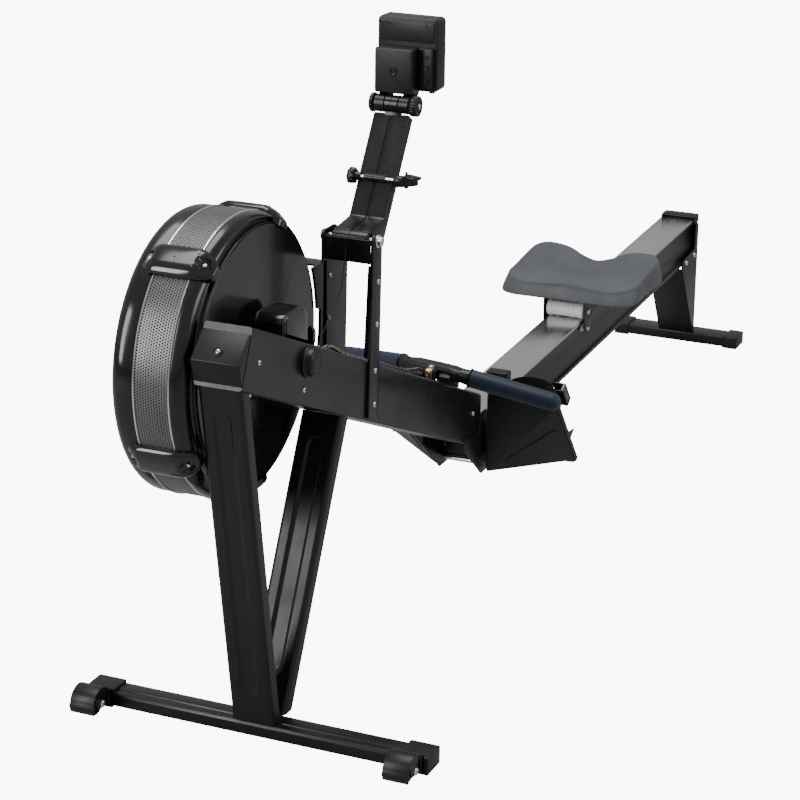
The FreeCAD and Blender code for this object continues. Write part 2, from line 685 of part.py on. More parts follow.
def far_flywheel_cover():
    """Cover on the open side: a spoked air inlet and the keeper ring of its shutter."""
    cover = housing_cover(HOUSING_Y[1], BAND_Y[1], DAMPER_RADIUS - 8)
    y = HOUSING_Y[1]
    slot = (y + 0.4, y + 0.4 + DAMPER_THICKNESS)
    keeper = DAMPER_RADIUS - 34.4
    pieces = [cover]
    for turn in range(6):
        rib = box((AXLE_X + 10, AXLE_X + DAMPER_RADIUS - 6), (y - 4, y), (AXLE_Z - 3, AXLE_Z + 3))
        pieces.append(turned_y(rib, 60 * turn, AXLE_X, AXLE_Z))
    pieces.append(rod_y(AXLE_X, AXLE_Z, 20, (y - 7, y)))
    pieces.append(tube_y(AXLE_X, AXLE_Z, keeper, keeper - 5, (y - 4, slot[1] + 0.4)))
    pieces.append(tube_y(AXLE_X, AXLE_Z, keeper + 4, keeper - 5, (slot[1] + 0.4, slot[1] + 3)))
    return joined(pieces).cut(rod_y(AXLE_X, AXLE_Z, AXLE_RADIUS + 0.1, (0, 260)))


def perforated_screen():
    """Round perforated band between the two covers."""
    y = (BAND_Y[0] + 0.1, BAND_Y[1] - 0.1)
    return tube_y(HOUSING_X, HOUSING_Z, HOUSING_RADIUS, HOUSING_RADIUS - 1.6, y)


def rim_clip(angle):
    """C-shaped clip that holds the band and both covers together."""
    r_in = HOUSING_RADIUS + 0.2
    r_out = r_in + CLIP_THICKNESS
    half = math.degrees(CLIP_LENGTH / 2 / r_out)
    ring = tube_y(HOUSING_X, HOUSING_Z, r_out, r_in, CLIP_Y)
    reach = HOUSING_RADIUS * 2
    low = math.radians(-half)
    high = math.radians(half)
    wedge = prism_y([
        (HOUSING_X, HOUSING_Z),
        (HOUSING_X + reach * math.cos(low), HOUSING_Z + reach * math.sin(low)),
        (HOUSING_X + reach * math.cos(high), HOUSING_Z + reach * math.sin(high)),
    ], (CLIP_Y[0] - 1, CLIP_Y[1] + 1))
    return turned_y(ring.common(wedge), -angle, HOUSING_X, HOUSING_Z)


def damper_lever():
    """Shutter ring over the air inlet with its lever."""
    y = HOUSING_Y[1] + 0.4
    ring = tube_y(AXLE_X, AXLE_Z, DAMPER_RADIUS, DAMPER_RADIUS - 34, (y, y + DAMPER_THICKNESS))
    for turn in range(6):
        x = (AXLE_X + DAMPER_RADIUS - 30, AXLE_X + DAMPER_RADIUS - 6)
        port = box(x, (y - 1, y + 9), (AXLE_Z - 16, AXLE_Z + 16))
        ring = ring.cut(turned_y(port, 60 * turn + 30, AXLE_X, AXLE_Z))
    x = AXLE_X + DAMPER_RADIUS - 4
    lever = box((x, x + DAMPER_LEVER_LENGTH), (y, y + 8), (AXLE_Z - 7, AXLE_Z + 7))
    lever = lever.makeFillet(2.5, edges_along(lever, (0, 1, 0)))
    return turned_y(joined([ring, lever]), -40, AXLE_X, AXLE_Z)


def fan_rotor():
    """Flywheel: hub, heavy disc and radial fan blades."""
    middle = sum(ROTOR_Y) / 2
    disc = rod_y(AXLE_X, AXLE_Z, ROTOR_RADIUS - 4, (ROTOR_Y[0], ROTOR_Y[0] + 6))
    hub = rod_y(AXLE_X, AXLE_Z, HUB_RADIUS, (ROTOR_Y[0] - 12, ROTOR_Y[1] - 30))
    pieces = [disc, hub]
    for turn in range(FAN_BLADES):
        blade = box((AXLE_X + 95, AXLE_X + ROTOR_RADIUS), (ROTOR_Y[0] + 5, ROTOR_Y[1]),
                    (AXLE_Z - BLADE_THICKNESS / 2, AXLE_Z + BLADE_THICKNESS / 2))
        pieces.append(turned_y(blade, 360.0 / FAN_BLADES * turn, AXLE_X, AXLE_Z))
    rim = tube_y(AXLE_X, AXLE_Z, ROTOR_RADIUS, ROTOR_RADIUS - 3, (middle - 4, middle + 4))
    rotor = joined(pieces + [rim])
    bore = rod_y(AXLE_X, AXLE_Z, AXLE_RADIUS + RUNNING_FIT, (ROTOR_Y[0] - 20, ROTOR_Y[1]))
    return rotor.cut(bore)


def flywheel_axle():
    """Fixed axle from the beam's near side to the far cover, with its end nut."""
    shaft = rod_y(AXLE_X, AXLE_Z, AXLE_RADIUS, (-BEAM_HALF - 4, HOUSING_Y[1] + 2))
    nut = prism_y(hexagon(AXLE_X, AXLE_Z, 11), (-BEAM_HALF - 10, -BEAM_HALF - 2))
    return joined([shaft, nut])


def hexagon(x, z, radius):
    """Six (x, z) corners."""
    corners = []
    for step in range(6):
        angle = math.radians(60 * step)
        corners.append((x + radius * math.cos(angle), z + radius * math.sin(angle)))
    return corners


def clutch_sprocket():
    """One-way clutch and chain sprocket at the beam's middle."""
    half = SPROCKET_WIDTH / 2
    wheel = rod_y(AXLE_X, AXLE_Z, SPROCKET_RADIUS, (-half, half))
    for tooth in range(SPROCKET_TEETH):
        angle = 2 * math.pi * tooth / SPROCKET_TEETH
        x = AXLE_X + SPROCKET_RADIUS * math.cos(angle)
        z = AXLE_Z + SPROCKET_RADIUS * math.sin(angle)
        wheel = wheel.cut(rod_y(x, z, 2.0, (-half - 1, half + 1)))
    drum = rod_y(AXLE_X, AXLE_Z, 15, (half, 30))
    bore = rod_y(AXLE_X, AXLE_Z, AXLE_RADIUS + RUNNING_FIT, (-40, 40))
    return joined([wheel, drum]).cut(bore)


def axle_cap():
    """Round cap over the axle's nut on the beam's near side."""
    y = (-BEAM_HALF - AXLE_CAP_LENGTH, -BEAM_HALF)
    body = rod_y(AXLE_X, AXLE_Z, AXLE_CAP_RADIUS - 2.5, y)
    edge = [e for e in body.Edges if isinstance(e.Curve, Part.Circle) and e.CenterOfMass.y < y[0] + 1]
    body = body.makeFillet(2.5, edge)
    flange = rod_y(AXLE_X, AXLE_Z, AXLE_CAP_RADIUS, (y[1] - 3, y[1]))
    room = rod_y(AXLE_X, AXLE_Z, 12.5, (y[0] + 3, y[1] + 1))
    return joined([body, flange]).cut(room)


def chain_shroud():
    """Arched cover over the sprocket, standing on the beam's top face."""
    x = (AXLE_X - SHROUD_HALF_LENGTH, AXLE_X + SHROUD_HALF_LENGTH)
    outer = box(x, SHROUD_Y, (AXLE_Z, SHROUD_TOP_Z))
    top = [e for e in edges_along(outer, (0, 1, 0)) if e.CenterOfMass.z > SHROUD_TOP_Z - 1]
    outer = outer.makeFillet(24.0, top)
    wall = SHROUD_WALL
    inner = box((x[0] + wall, x[1] - wall), (SHROUD_Y[0] + wall, SHROUD_Y[1] - wall),
                (AXLE_Z - 1, SHROUD_TOP_Z - wall))
    top = [e for e in edges_along(inner, (0, 1, 0)) if e.CenterOfMass.z > SHROUD_TOP_Z - wall - 1]
    inner = inner.makeFillet(24.0 - wall, top)
    below = on_beam(box((-200, 1000), (-100, 100), (-200, 0)))
    mouth = box((AXLE_X, x[1] + 5), (-8, 8), (AXLE_Z, AXLE_Z + SPROCKET_RADIUS + 9))
    return outer.cut(inner).cut(below).cut(mouth)


# ---------------------------------------------------------------- uprights and arm
def upright_screw_places():
    """Screws that hold the uprights, as (x, z)."""
    places = ((47.0, 664.0), (43.0, 592.0), (38.0, 513.0), (35.0, 455.0))
    return [(COVER_REAR_X + back, z) for back, z in places]


def near_upright():
    """Flat strut on the beam's near side that carries the arm's pivot."""
    y = (-BEAM_HALF - UPRIGHT_THICKNESS, -BEAM_HALF)
    outline = [
        (NEAR_UPRIGHT_BOTTOM[0], beam_bottom(NEAR_UPRIGHT_BOTTOM[0]) + 4),
        (NEAR_UPRIGHT_BOTTOM[1], beam_bottom(NEAR_UPRIGHT_BOTTOM[1]) + 4),
        (NEAR_UPRIGHT_TOP[1], UPRIGHT_TOP_Z),
        (NEAR_UPRIGHT_TOP[0], UPRIGHT_TOP_Z),
    ]
    plate = prism_y(outline, y)
    flange = prism_y([
        (NEAR_UPRIGHT_BOTTOM[0], beam_top(NEAR_UPRIGHT_BOTTOM[0]) + 3),
        (NEAR_UPRIGHT_BOTTOM[0] + 3, beam_top(NEAR_UPRIGHT_BOTTOM[0]) + 3),
        (NEAR_UPRIGHT_TOP[0] + 3, PIVOT_Z - 40),
        (NEAR_UPRIGHT_TOP[0], PIVOT_Z - 40),
    ], (y[0], y[1] + 5))
    shape = joined([plate, flange]).cut(rod_y(PIVOT_X, PIVOT_Z, PIVOT_PIN_RADIUS + 0.1, (-80, 80)))
    for x, z in upright_screw_places():
        shape = shape.cut(rod_y(x, z, 3.1, (-80, 80)))
    return shape


def far_upright():
    """Wide strut on the far side, folded over in front of the pivot, with the cover's stay."""
    y = (BEAM_HALF, BEAM_HALF + UPRIGHT_THICKNESS)
    outline = [
        (FAR_UPRIGHT_X[0] - 8, beam_bottom(FAR_UPRIGHT_X[0] - 8) + 4),
        (FAR_UPRIGHT_X[1] - 10, beam_bottom(FAR_UPRIGHT_X[1] - 10) + 4),
        (FAR_UPRIGHT_X[1], UPRIGHT_TOP_Z - 60),
        (FAR_UPRIGHT_X[1] - 45, UPRIGHT_TOP_Z),
        (FAR_UPRIGHT_X[0], UPRIGHT_TOP_Z),
    ]
    plate_x = (PIVOT_X - PIVOT_TUBE_RADIUS - 4, PIVOT_X - PIVOT_TUBE_RADIUS - 1)
    fold = box(plate_x, (-BEAM_HALF + 0.05, y[1]), (PIVOT_Z - 36, PIVOT_Z + 4))
    stay_x = (COVER_REAR_X - 8, FAR_UPRIGHT_X[0] + 12)
    stay_z = HOUSING_Z + 88
    web = box(stay_x, y, (HOUSING_Z - 110, stay_z))
    web = web.cut(rod_y(HOUSING_X, HOUSING_Z, HOUSING_RADIUS + 1, (0, 300)))
    shelf = box((COVER_REAR_X + 5, stay_x[1]), (y[0], y[1] + 34), (stay_z - 4, stay_z))
    clear = box((stay_x[0] - 1, stay_x[1]), (0, 300), (HOUSING_Z - 90, HOUSING_Z + 14))
    clear = clear.common(rod_y(HOUSING_X, HOUSING_Z, HOUSING_RADIUS + CLIP_THICKNESS + 1, (0, 300)))
    stay = web.fuse(shelf).cut(clear)
    shape = joined([prism_y(outline, y), fold, stay])
    shape = shape.cut(rod_y(PIVOT_X, PIVOT_Z, PIVOT_PIN_RADIUS + 0.1, (-80, 80)))
    for x, z in upright_screw_places():
        shape = shape.cut(rod_y(x, z, 3.1, (-80, 80)))
    return shape


def upright_screws():
    """Screws from the near side, their tips showing inside, and from the far side."""
    screws = []
    for x, z in upright_screw_places():
        for side in (-1, 1):
            face = side * (BEAM_HALF + UPRIGHT_THICKNESS)
            screws.append(screw_y(x, z, face, side, 3.0, UPRIGHT_THICKNESS + 6))
    return screws


def arm_pivot_bolt():
    """Bolt through both uprights and the arm's tube, with washers and a nut."""
    outer = BEAM_HALF + UPRIGHT_THICKNESS
    shaft = rod_y(PIVOT_X, PIVOT_Z, PIVOT_PIN_RADIUS, (-outer - 9, outer + 7))
    head = prism_y(hexagon(PIVOT_X, PIVOT_Z, 9), (-outer - 9, -outer - 2))
    washer = rod_y(PIVOT_X, PIVOT_Z, 11, (-outer - 2, -outer - 0.05))
    far = rod_y(PIVOT_X, PIVOT_Z, 10, (outer + 0.05, outer + 7))
    return joined([shaft, head, washer, far])


def arm_direction():
    """Unit vector along the arm's upper part, and its rearward normal."""
    run = math.hypot(HEAD_X - KINK_X, HEAD_Z - KINK_Z)
    along = ((HEAD_X - KINK_X) / run, (HEAD_Z - KINK_Z) / run)
    return along, (along[1], -along[0])


def monitor_arm():
    """Bent arm: a tube at its root, a short level part, a long leaning part, a tube at its head."""
    along, back = arm_direction()
    half = ARM_WIDTH / 2
    run = math.hypot(HEAD_X - KINK_X, HEAD_Z - KINK_Z) - HEAD_TUBE_RADIUS - 2
    top = (KINK_X + along[0] * run, KINK_Z + along[1] * run)
    lower = [
        (PIVOT_X, PIVOT_Z + PIVOT_TUBE_RADIUS),
        (KINK_X, KINK_Z),
        top,
        (top[0] + back[0] * ARM_DEPTH, top[1] + back[1] * ARM_DEPTH),
        (KINK_X + 2, KINK_Z - 34),
        (PIVOT_X, PIVOT_Z - PIVOT_TUBE_RADIUS),
    ]
    body = prism_y(lower, (-half, half))
    middle = 12.0
    neck = prism_y([
        (top[0] - back[0] * 0.0, top[1]),
        (HEAD_X - 4, HEAD_Z),
        (HEAD_X + 6, HEAD_Z - 4),
        (top[0] + back[0] * ARM_DEPTH, top[1] + back[1] * ARM_DEPTH),
    ], (-middle, middle))
    root = rod_y(PIVOT_X, PIVOT_Z, PIVOT_TUBE_RADIUS, (-half, half))
    head = rod_y(HEAD_X, HEAD_Z, HEAD_TUBE_RADIUS, (-middle, middle))
    groove = groove_along_arm(along)
    saddle = box((holder_x() - 6, holder_x() + 12), (-20, 20), (HOLDER_Z - 7, HOLDER_Z + 7))
    saddle = saddle.makeFillet(2.5, edges_along(saddle, (0, 1, 0)))
    body = joined([body.cut(groove), neck, root, head, saddle])
    body = body.cut(rod_y(holder_x(), HOLDER_Z, HOLDER_ROD_RADIUS + RUNNING_FIT, (-80, 80)))
    body = body.cut(rod_y(PIVOT_X, PIVOT_Z, PIVOT_PIN_RADIUS + RUNNING_FIT, (-80, 80)))
    return body.cut(rod_y(HEAD_X, HEAD_Z, 4.0 + RUNNING_FIT, (-80, 80)))


def groove_along_arm(along):
    """Narrow groove down the middle of the arm's front face."""
    angle = math.degrees(math.atan2(along[0], along[1]))
    groove = box((-1.5, 1.5), (-1.2, 1.2), (0, 190))
    groove.rotate(V(0, 0, 0), V(0, 1, 0), angle)
    groove.translate(V(KINK_X, 0, KINK_Z))
    return groove


def casing_lugs():
    """Two lugs under the case that turn on the tilt bolt, either side of the arm's neck."""
    lugs = []
    for side in (-1, 1):
        y = sorted((side * 12.4, side * 31.0))
        tube = rod_y(HEAD_X, HEAD_Z, HEAD_TUBE_RADIUS, y)
        web = prism_y([
            (HEAD_X + 4, PACK_Z[0] - 3),
            (HEAD_X + 8, HEAD_Z - 8),
            (MONITOR_X[0] + 14, MONITOR_Z[0] + 2),
            (MONITOR_X[0] + 0.5, MONITOR_Z[0] + 2),
            (MONITOR_X[0] + 0.5, PACK_Z[0] - 1),
        ], y)
        lugs.append(joined([tube, web]))
    plate = box((MONITOR_X[0] + 0.5, MONITOR_X[0] + 14), (-31, 31), (MONITOR_Z[0] - 2, MONITOR_Z[0] + 1))
    return joined(lugs + [plate])


def connector_panel():
    """Raised panel with sockets on the case's back, beside the battery box."""
    y = (MONITOR_Y[0] + 6, -PACK_HALF_WIDTH - 1)
    panel = box((MONITOR_X[0] - 9, MONITOR_X[0] + 1), y, (MONITOR_Z[0] + 8, MONITOR_Z[0] + 74))
    panel = panel.makeFillet(1.5, edges_along(panel, (1, 0, 0)))
    middle = sum(y) / 2
    for step, (width, height) in enumerate(((11, 9), (13, 11), (12, 6))):
        z = MONITOR_Z[0] + 20 + 20 * step
        socket = box((MONITOR_X[0] - 10, MONITOR_X[0] - 3), (middle - width / 2, middle + width / 2),
                     (z - height / 2, z + height / 2))
        panel = panel.cut(socket)
    return panel


def tilt_bolt():
    """Bolt of the monitor's tilt, with a ribbed hand knob moulded on each end."""
    shape = rod_y(HEAD_X, HEAD_Z, 4.0, (-40, 40))
    for y, radius in (((-46.4, -32.4), 17.5), ((32.4, 40.4), 16.5)):
        knob = rod_y(HEAD_X, HEAD_Z, radius, y)
        for step in range(18):
            angle = 2 * math.pi * step / 18
            x = HEAD_X + radius * math.cos(angle)
            z = HEAD_Z + radius * math.sin(angle)
            knob = knob.cut(rod_y(x, z, 1.0, (y[0] - 1, y[1] + 1)))
        shape = shape.fuse(knob)
    return shape.removeSplitter()


def monitor_casing():
    """The monitor's case with its lugs and sockets, open at the display."""
    case = box(MONITOR_X, MONITOR_Y, MONITOR_Z)
    case = joined([softened(case, 8.0, (1, 0, 0)), casing_lugs(), connector_panel()])
    case = case.cut(rod_y(HEAD_X, HEAD_Z, 4.1, (-80, 80)))
    wall = MONITOR_WALL
    inner = box((MONITOR_X[0] + wall, MONITOR_X[1] - wall), (MONITOR_Y[0] + wall, MONITOR_Y[1] - wall),
                (MONITOR_Z[0] + wall, MONITOR_Z[1] - wall))
    case = case.cut(inner)
    window = box((MONITOR_X[1] - wall - 1, MONITOR_X[1] + 1), screen_y(), screen_z())
    case = case.cut(window)
    for y, z in button_places():
        hole = Part.makeCylinder(5.3, 10, V(MONITOR_X[1] - 5, y, z), V(1, 0, 0))
        case = case.cut(hole)
    return case


def screen_y():
    """The display's span across the case."""
    return MONITOR_Y[0] + 24, MONITOR_Y[1] - 8


def screen_z():
    """The display's span up the case."""
    return MONITOR_Z[0] + 28, MONITOR_Z[1] - 12


def button_places():
    """Round buttons in a column beside the display, as (y, z)."""
    places = []
    column = MONITOR_Y[0] + 13
    for step in range(BUTTON_COUNT):
        places.append((column, MONITOR_Z[1] - 30 - 26 * step))
    return places


def monitor_button(y, z):
    """Push button that stands out of the case and stops on the board behind it."""
    start = V(MONITOR_X[1] - MONITOR_WALL - 2, y, z)
    button = Part.makeCylinder(5.0, MONITOR_WALL + 4, start, V(1, 0, 0))
    flange = Part.makeCylinder(6.5, 1.5, start, V(1, 0, 0))
    return button.fuse(flange)


def display_lens():
    """Clear window of the display, inside the case's opening."""
    y = screen_y()
    z = screen_z()
    x = (MONITOR_X[1] - MONITOR_WALL, MONITOR_X[1] - 1)
    return box(x, (y[0] + 0.1, y[1] - 0.1), (z[0] + 0.1, z[1] - 0.1))


def battery_pack():
    """Battery box on the monitor's back, with its round screw boss."""
    y = (-PACK_HALF_WIDTH, PACK_HALF_WIDTH)
    pack = box(PACK_X, y, PACK_Z)
    pack = pack.makeFillet(3.0, [e for e in pack.Edges if e.CenterOfMass.x < PACK_X[1] - 1])
    wall = 2.5
    inner = box((PACK_X[0] + wall, PACK_X[1] + 1), (y[0] + wall, y[1] - wall),
                (PACK_Z[0] + wall, PACK_Z[1] - wall))
    boss = Part.makeCylinder(6.0, 3.0, V(PACK_X[0] - 1.5, 0, sum(PACK_Z) / 2), V(1, 0, 0))
    return joined([pack.cut(inner), boss])


def holder_x():
    """The x of the device holder's rod, just clear of the arm's front face."""
    along, _ = arm_direction()
    front = KINK_X + (HOLDER_Z - KINK_Z) * along[0] / along[1]
    return front - HOLDER_ROD_RADIUS - 1.6


def device_holder_screw():
    """Steel rod across the arm's front with the hand knob moulded on its far end."""
    x = holder_x()
    knob = rod_y(x, HOLDER_Z, HOLDER_KNOB_RADIUS, (34, 47))
    for step in range(7):
        angle = 2 * math.pi * step / 7
        cut_x = x + (HOLDER_KNOB_RADIUS + 1.5) * math.cos(angle)
        cut_z = HOLDER_Z + (HOLDER_KNOB_RADIUS + 1.5) * math.sin(angle)
        knob = knob.cut(rod_y(cut_x, cut_z, 3.5, (33, 48)))
    return joined([rod_y(x, HOLDER_Z, HOLDER_ROD_RADIUS, (-46, 40)), knob])


def clamp_pivot():
    """The (x, y) of the spring clamp's hinge."""
    return holder_x() + 6, -50.0


def device_clamp_body():
    """Fixed jaw of the spring clamp, on the rod's near end."""
    x, y = clamp_pivot()
    outline = [
        (x - 16, -36.0),
        (x + 4, -36.0),
        (x + 5, y + 1),
        (x + 14, y - 16),
        (x + 10, y - 20),
        (x - 8, y - 4),
    ]
    jaw = prism_z(outline, (HOLDER_Z - 10, HOLDER_Z + 6))
    pin = Part.makeCylinder(2.0, 24, V(x, y - 4, HOLDER_Z - 12), V(0, 0, 1))
    hole = rod_y(holder_x(), HOLDER_Z, HOLDER_ROD_RADIUS + RUNNING_FIT, (-46.4, 46))
    return joined([jaw, pin]).cut(hole)


def device_clamp_jaw():
    """Moving jaw with its finger lever, turning on the clamp's pin."""
    x, y = clamp_pivot()
    outline = [
        (x - 6, y - 2),
        (x + 3, y - 8),
        (x - 6, y - 34),
        (x - 24, y - 27),
        (x - 22, y - 12),
    ]
    jaw = prism_z(outline, (HOLDER_Z + 6.4, HOLDER_Z + 12))
    return jaw.cut(Part.makeCylinder(2.0 + RUNNING_FIT, 40, V(x, y - 4, HOLDER_Z - 20), V(0, 0, 1)))


def route_tube(points, radius):
    """A tube along straight runs joined by tangent arcs, with the radii of its bends."""
    corners = [V(*point) for point in points]
    edges = []
    radii = []
    start = corners[0]
    for before, corner, after in zip(corners, corners[1:], corners[2:]):
        to_back = before - corner
        to_next = after - corner
        shorter = min(to_back.Length, to_next.Length)
        reach = 0.45 * shorter
        enter = corner + V(to_back).normalize() * reach
        leave = corner + V(to_next).normalize() * reach
        turn = math.pi - to_back.getAngle(to_next)
        bend = reach / math.tan(turn / 2)
        radii.append(round(bend, 1))
        inward = (V(to_back).normalize() + V(to_next).normalize()).normalize()
        centre = corner + inward * (bend / math.cos(turn / 2))
        middle = centre - inward * bend
        edges.append(Part.LineSegment(start, enter).toShape())
        edges.append(Part.Arc(enter, middle, leave).toShape())
        start = leave
    edges.append(Part.LineSegment(start, corners[-1]).toShape())
    path = Part.Wire(edges)
    ring = Part.Wire([Part.makeCircle(radius, corners[0], corners[1] - corners[0])])
    tube = path.makePipeShell([ring], True, False)
    ideal = math.pi * radius * radius * path.Length
    print("tube bends", radii, "volume ratio", round(tube.Volume / ideal, 3), round(path.Length, 1))
    return tube


def sensor_wire_route():
    """Pickup wire from the cross plate down to its grommet in the beam's top."""
    top = (PIVOT_X - PIVOT_TUBE_RADIUS - 6.5, 2.0, PIVOT_Z - 12)
    end_x = -828.0
    return [
        top,
        (top[0] - 4, 1.0, 705.0),
        (-741.0, 0.0, 682.0),
        (-752.0, -2.0, 658.0),
        (-768.0, -1.0, 636.0),
        (-791.0, 2.0, 620.0),
        (-812.0, 3.0, 600.0),
        (end_x, 4.0, beam_top(end_x) + 5.0),
    ]


# ---------------------------------------------------------------- handle
def handle_frame():
    """The handle's centre, its lateral axis towards -Y, and the direction its ends bend to."""
    yaw = math.radians(HANDLE_YAW)
    roll = math.radians(HANDLE_ROLL)
    lateral = V(math.sin(yaw), -math.cos(yaw), 0)
    rearward = V(math.cos(yaw) * math.cos(roll), math.sin(yaw) * math.cos(roll), -math.sin(roll))
    return V(HANDLE_X, 0, HANDLE_Z), lateral, rearward


def grip_ends(side):
    """A grip's inner and outer end; side is 1 for -Y and -1 for +Y."""
    centre, lateral, rearward = handle_frame()
    bend = math.radians(HANDLE_BEND)
    inner = centre + lateral * (side * HANDLE_CENTRE / 2)
    along = lateral * (side * math.cos(bend)) + rearward * math.sin(bend)
    return inner, inner + along * GRIP_LENGTH


def handle_centre():
    """Middle bar with the boss that the chain's swivel bolts through."""
    centre, lateral, rearward = handle_frame()
    half = HANDLE_CENTRE / 2
    bar = Part.makeCylinder(CENTRE_RADIUS, HANDLE_CENTRE, centre - lateral * half, lateral)
    tips = [bar]
    for side in (-1, 1):
        inner, outer = grip_ends(side)
        stub = (outer - inner).normalize()
        tips.append(Part.makeSphere(CENTRE_RADIUS, inner))
        tips.append(Part.makeCylinder(9.0, GRIP_LENGTH - 8, inner, stub))
    boss = Part.makeCylinder(BOSS_RADIUS, 37, centre + V(12, 0, 0), V(-1, 0, 0))
    return joined(tips + [boss]).cut(clevis_pin_tool(3.1))


def clevis_pin_tool(radius):
    """The swivel's pin, upright through the middle bar's front boss."""
    return Part.makeCylinder(radius, 60, V(HANDLE_X - PIN_SETBACK, 0, HANDLE_Z - 30))


def handle_grip(side):
    """Rubber grip with a rounded end."""
    inner, outer = grip_ends(side)
    along = (outer - inner).normalize()
    start = inner + along * 15.0
    tube = Part.makeCylinder(GRIP_RADIUS, GRIP_LENGTH - 15.0 - GRIP_RADIUS, start, along)
    tip = Part.makeSphere(GRIP_RADIUS, outer - along * GRIP_RADIUS)
    core = Part.makeCylinder(9.05, GRIP_LENGTH - 7.9, inner, along)
    return joined([tube, tip]).cut(core)


def chain_swivel():
    """Clevis between the handle's boss and the chain."""
    x = HANDLE_X - PIN_SETBACK
    inside = BOSS_RADIUS + 0.6
    outside = inside + 2.6
    pin = Part.makeCylinder(3.0, 2 * outside + 4, V(x, 0, HANDLE_Z - outside))
    low = box((x - 10, x + 6.5), (-6, 6), (HANDLE_Z - outside, HANDLE_Z - inside))
    high = box((x - 10, x + 6.5), (-6, 6), (HANDLE_Z + inside, HANDLE_Z + outside))
    back = box((x - 13.5, x - 10), (-6, 6), (HANDLE_Z - outside, HANDLE_Z + outside))
    return joined([pin, low, high, back])


def chain_end():
    """The point where the pull chain meets the swivel."""
    return HANDLE_X - 36.0, 0.0, HANDLE_Z + 2.0


def pull_chain_route():
    """Slack chain lying along the beam's top from the sprocket's slot to the swivel."""
    end = chain_end()
    lift = CHAIN_RADIUS + 1.5
    points = []
    for x, y, rise in ((-826.0, 0.0, -4.0), (-800.0, 2.0, 6.0), (-765.0, 8.0, 8.0), (-722.0, 12.0, 3.0),
                       (-676.0, 8.0, 1.5), (-628.0, 2.0, 4.0), (-580.0, -3.0, 2.0), (-532.0, -5.0, 1.5),
                       (-484.0, -3.0, 2.5), (-440.0, 0.0, 9.0), (-402.0, 1.0, 16.0)):
        points.append((x, y, beam_top(x) + lift + rise))
    points.append(end)
    return points


def handle_rest():
    """Saddle on the beam that the handle is parked in: a shelf and a front wall."""
    centre, lateral, rearward = handle_frame()
    low = beam_top(HANDLE_X + 22) - 4
    block = box((HANDLE_X - 26, HANDLE_X + 22), (-38, 38), (low, HANDLE_Z - 2))
    half = HANDLE_CENTRE
    radius = CENTRE_RADIUS + BODY_GAP
    block = block.cut(Part.makeCylinder(radius, half * 2, centre - lateral * half, lateral))
    rise = math.radians(HANDLE_RISE)
    pull = V(math.cos(rise), 0, math.sin(rise))
    across = lateral.cross(pull).normalize() * radius
    low_end = centre - lateral * half
    high_end = centre + lateral * half
    corners = [low_end - across, high_end - across, high_end + across, low_end + across]
    path = Part.Face(Part.makePolygon(corners + [corners[0]])).extrude(pull * 90)
    block = block.cut(path)
    above = box((HANDLE_X, HANDLE_X + 60), (-60, 60), (HANDLE_Z + 2, HANDLE_Z + 40))
    front = box((HANDLE_X - 60, HANDLE_X + 1), (-15, 15), (HANDLE_Z - 22, HANDLE_Z + 40))
    block = block.cut(above).cut(front)
    below = on_beam(box((-200, 1200), (-100, 100), (-200, 0)))
    return block.cut(below)


# ---------------------------------------------------------------- seat
def seat_outline(grow=0.0):
    """The seat's plan: rounded front, rounded sides and a notch at the back, as (x, y) points."""
    half_w = SEAT_WIDTH / 2 + grow
    half_d = SEAT_DEPTH / 2 + grow
    shape = [(-0.80, 0.0), (-0.93, 0.40), (-0.86, 0.74), (-0.35, 0.99), (0.45, 0.97), (0.88, 0.80),
             (0.98, 0.56), (0.80, 0.30), (0.55, 0.0)]
    points = [(SEAT_X + fx * half_d, fy * half_w) for fx, fy in shape]
    points += [(SEAT_X + fx * half_d, -fy * half_w) for fx, fy in reversed(shape[1:-1])]
    return points


def seat_pad():
    """Contoured seat as one closed solid."""
    pad = prism_z(seat_outline(), (SEAT_BASE_Z, SEAT_BASE_Z + SEAT_THICKNESS))
    dip = Part.makeCylinder(260.0, 400, V(SEAT_X + 30, 0, SEAT_BASE_Z + SEAT_THICKNESS + 252), V(1, 0, 0))
    dip.translate(V(-230, 0, 0))
    return pad.cut(dip)


def roller_places():
    """The two top roller axles, as (x, z)."""
    places = []
    for side in (-1, 1):
        x = SEAT_X + side * ROLLER_SPREAD / 2
        places.append((x, rail_top(x) + ROLLER_RADIUS / math.cos(RAIL_ANGLE) + 0.05))
    return places


def lower_roller_places():
    """The two lower roller axles, as (x, z), just under the rail's flange."""
    places = []
    for side in (-1, 1):
        x = SEAT_X + side * ROLLER_SPREAD / 2
        z = rail_top(x) - TRACK_THICKNESS - RAIL_FLANGE - LOWER_ROLLER_RADIUS - BODY_GAP
        places.append((x, z))
    return places


def top_roller(x, z):
    """White spool roller with a raised band at each end."""
    half = ROLLER_LENGTH / 2
    body = rod_y(x, z, ROLLER_RADIUS, (-half, half))
    relief = tube_y(x, z, ROLLER_RADIUS + 1, ROLLER_RADIUS - 2.5, (-half + 12, half - 12))
    return body.cut(relief).cut(rod_y(x, z, ROLLER_AXLE + RUNNING_FIT, (-half - 1, half + 1)))


def lower_roller_y():
    """Span of the +Y lower roller inside the rail's recess."""
    inner = RAIL_HALF - TRACK_THICKNESS - RAIL_RECESS + 0.6
    return inner, inner + LOWER_ROLLER_WIDTH


def lower_rollers(x, z):
    """The pair of small rollers under the flanges, on one line."""
    y = lower_roller_y()
    right = tube_y(x, z, LOWER_ROLLER_RADIUS, 3.0 + RUNNING_FIT, y)
    left = tube_y(x, z, LOWER_ROLLER_RADIUS, 3.0 + RUNNING_FIT, (-y[1], -y[0]))
    return right, left


def carriage_half():
    """Inner face of the carriage's side plates."""
    return RAIL_HALF + 5.0


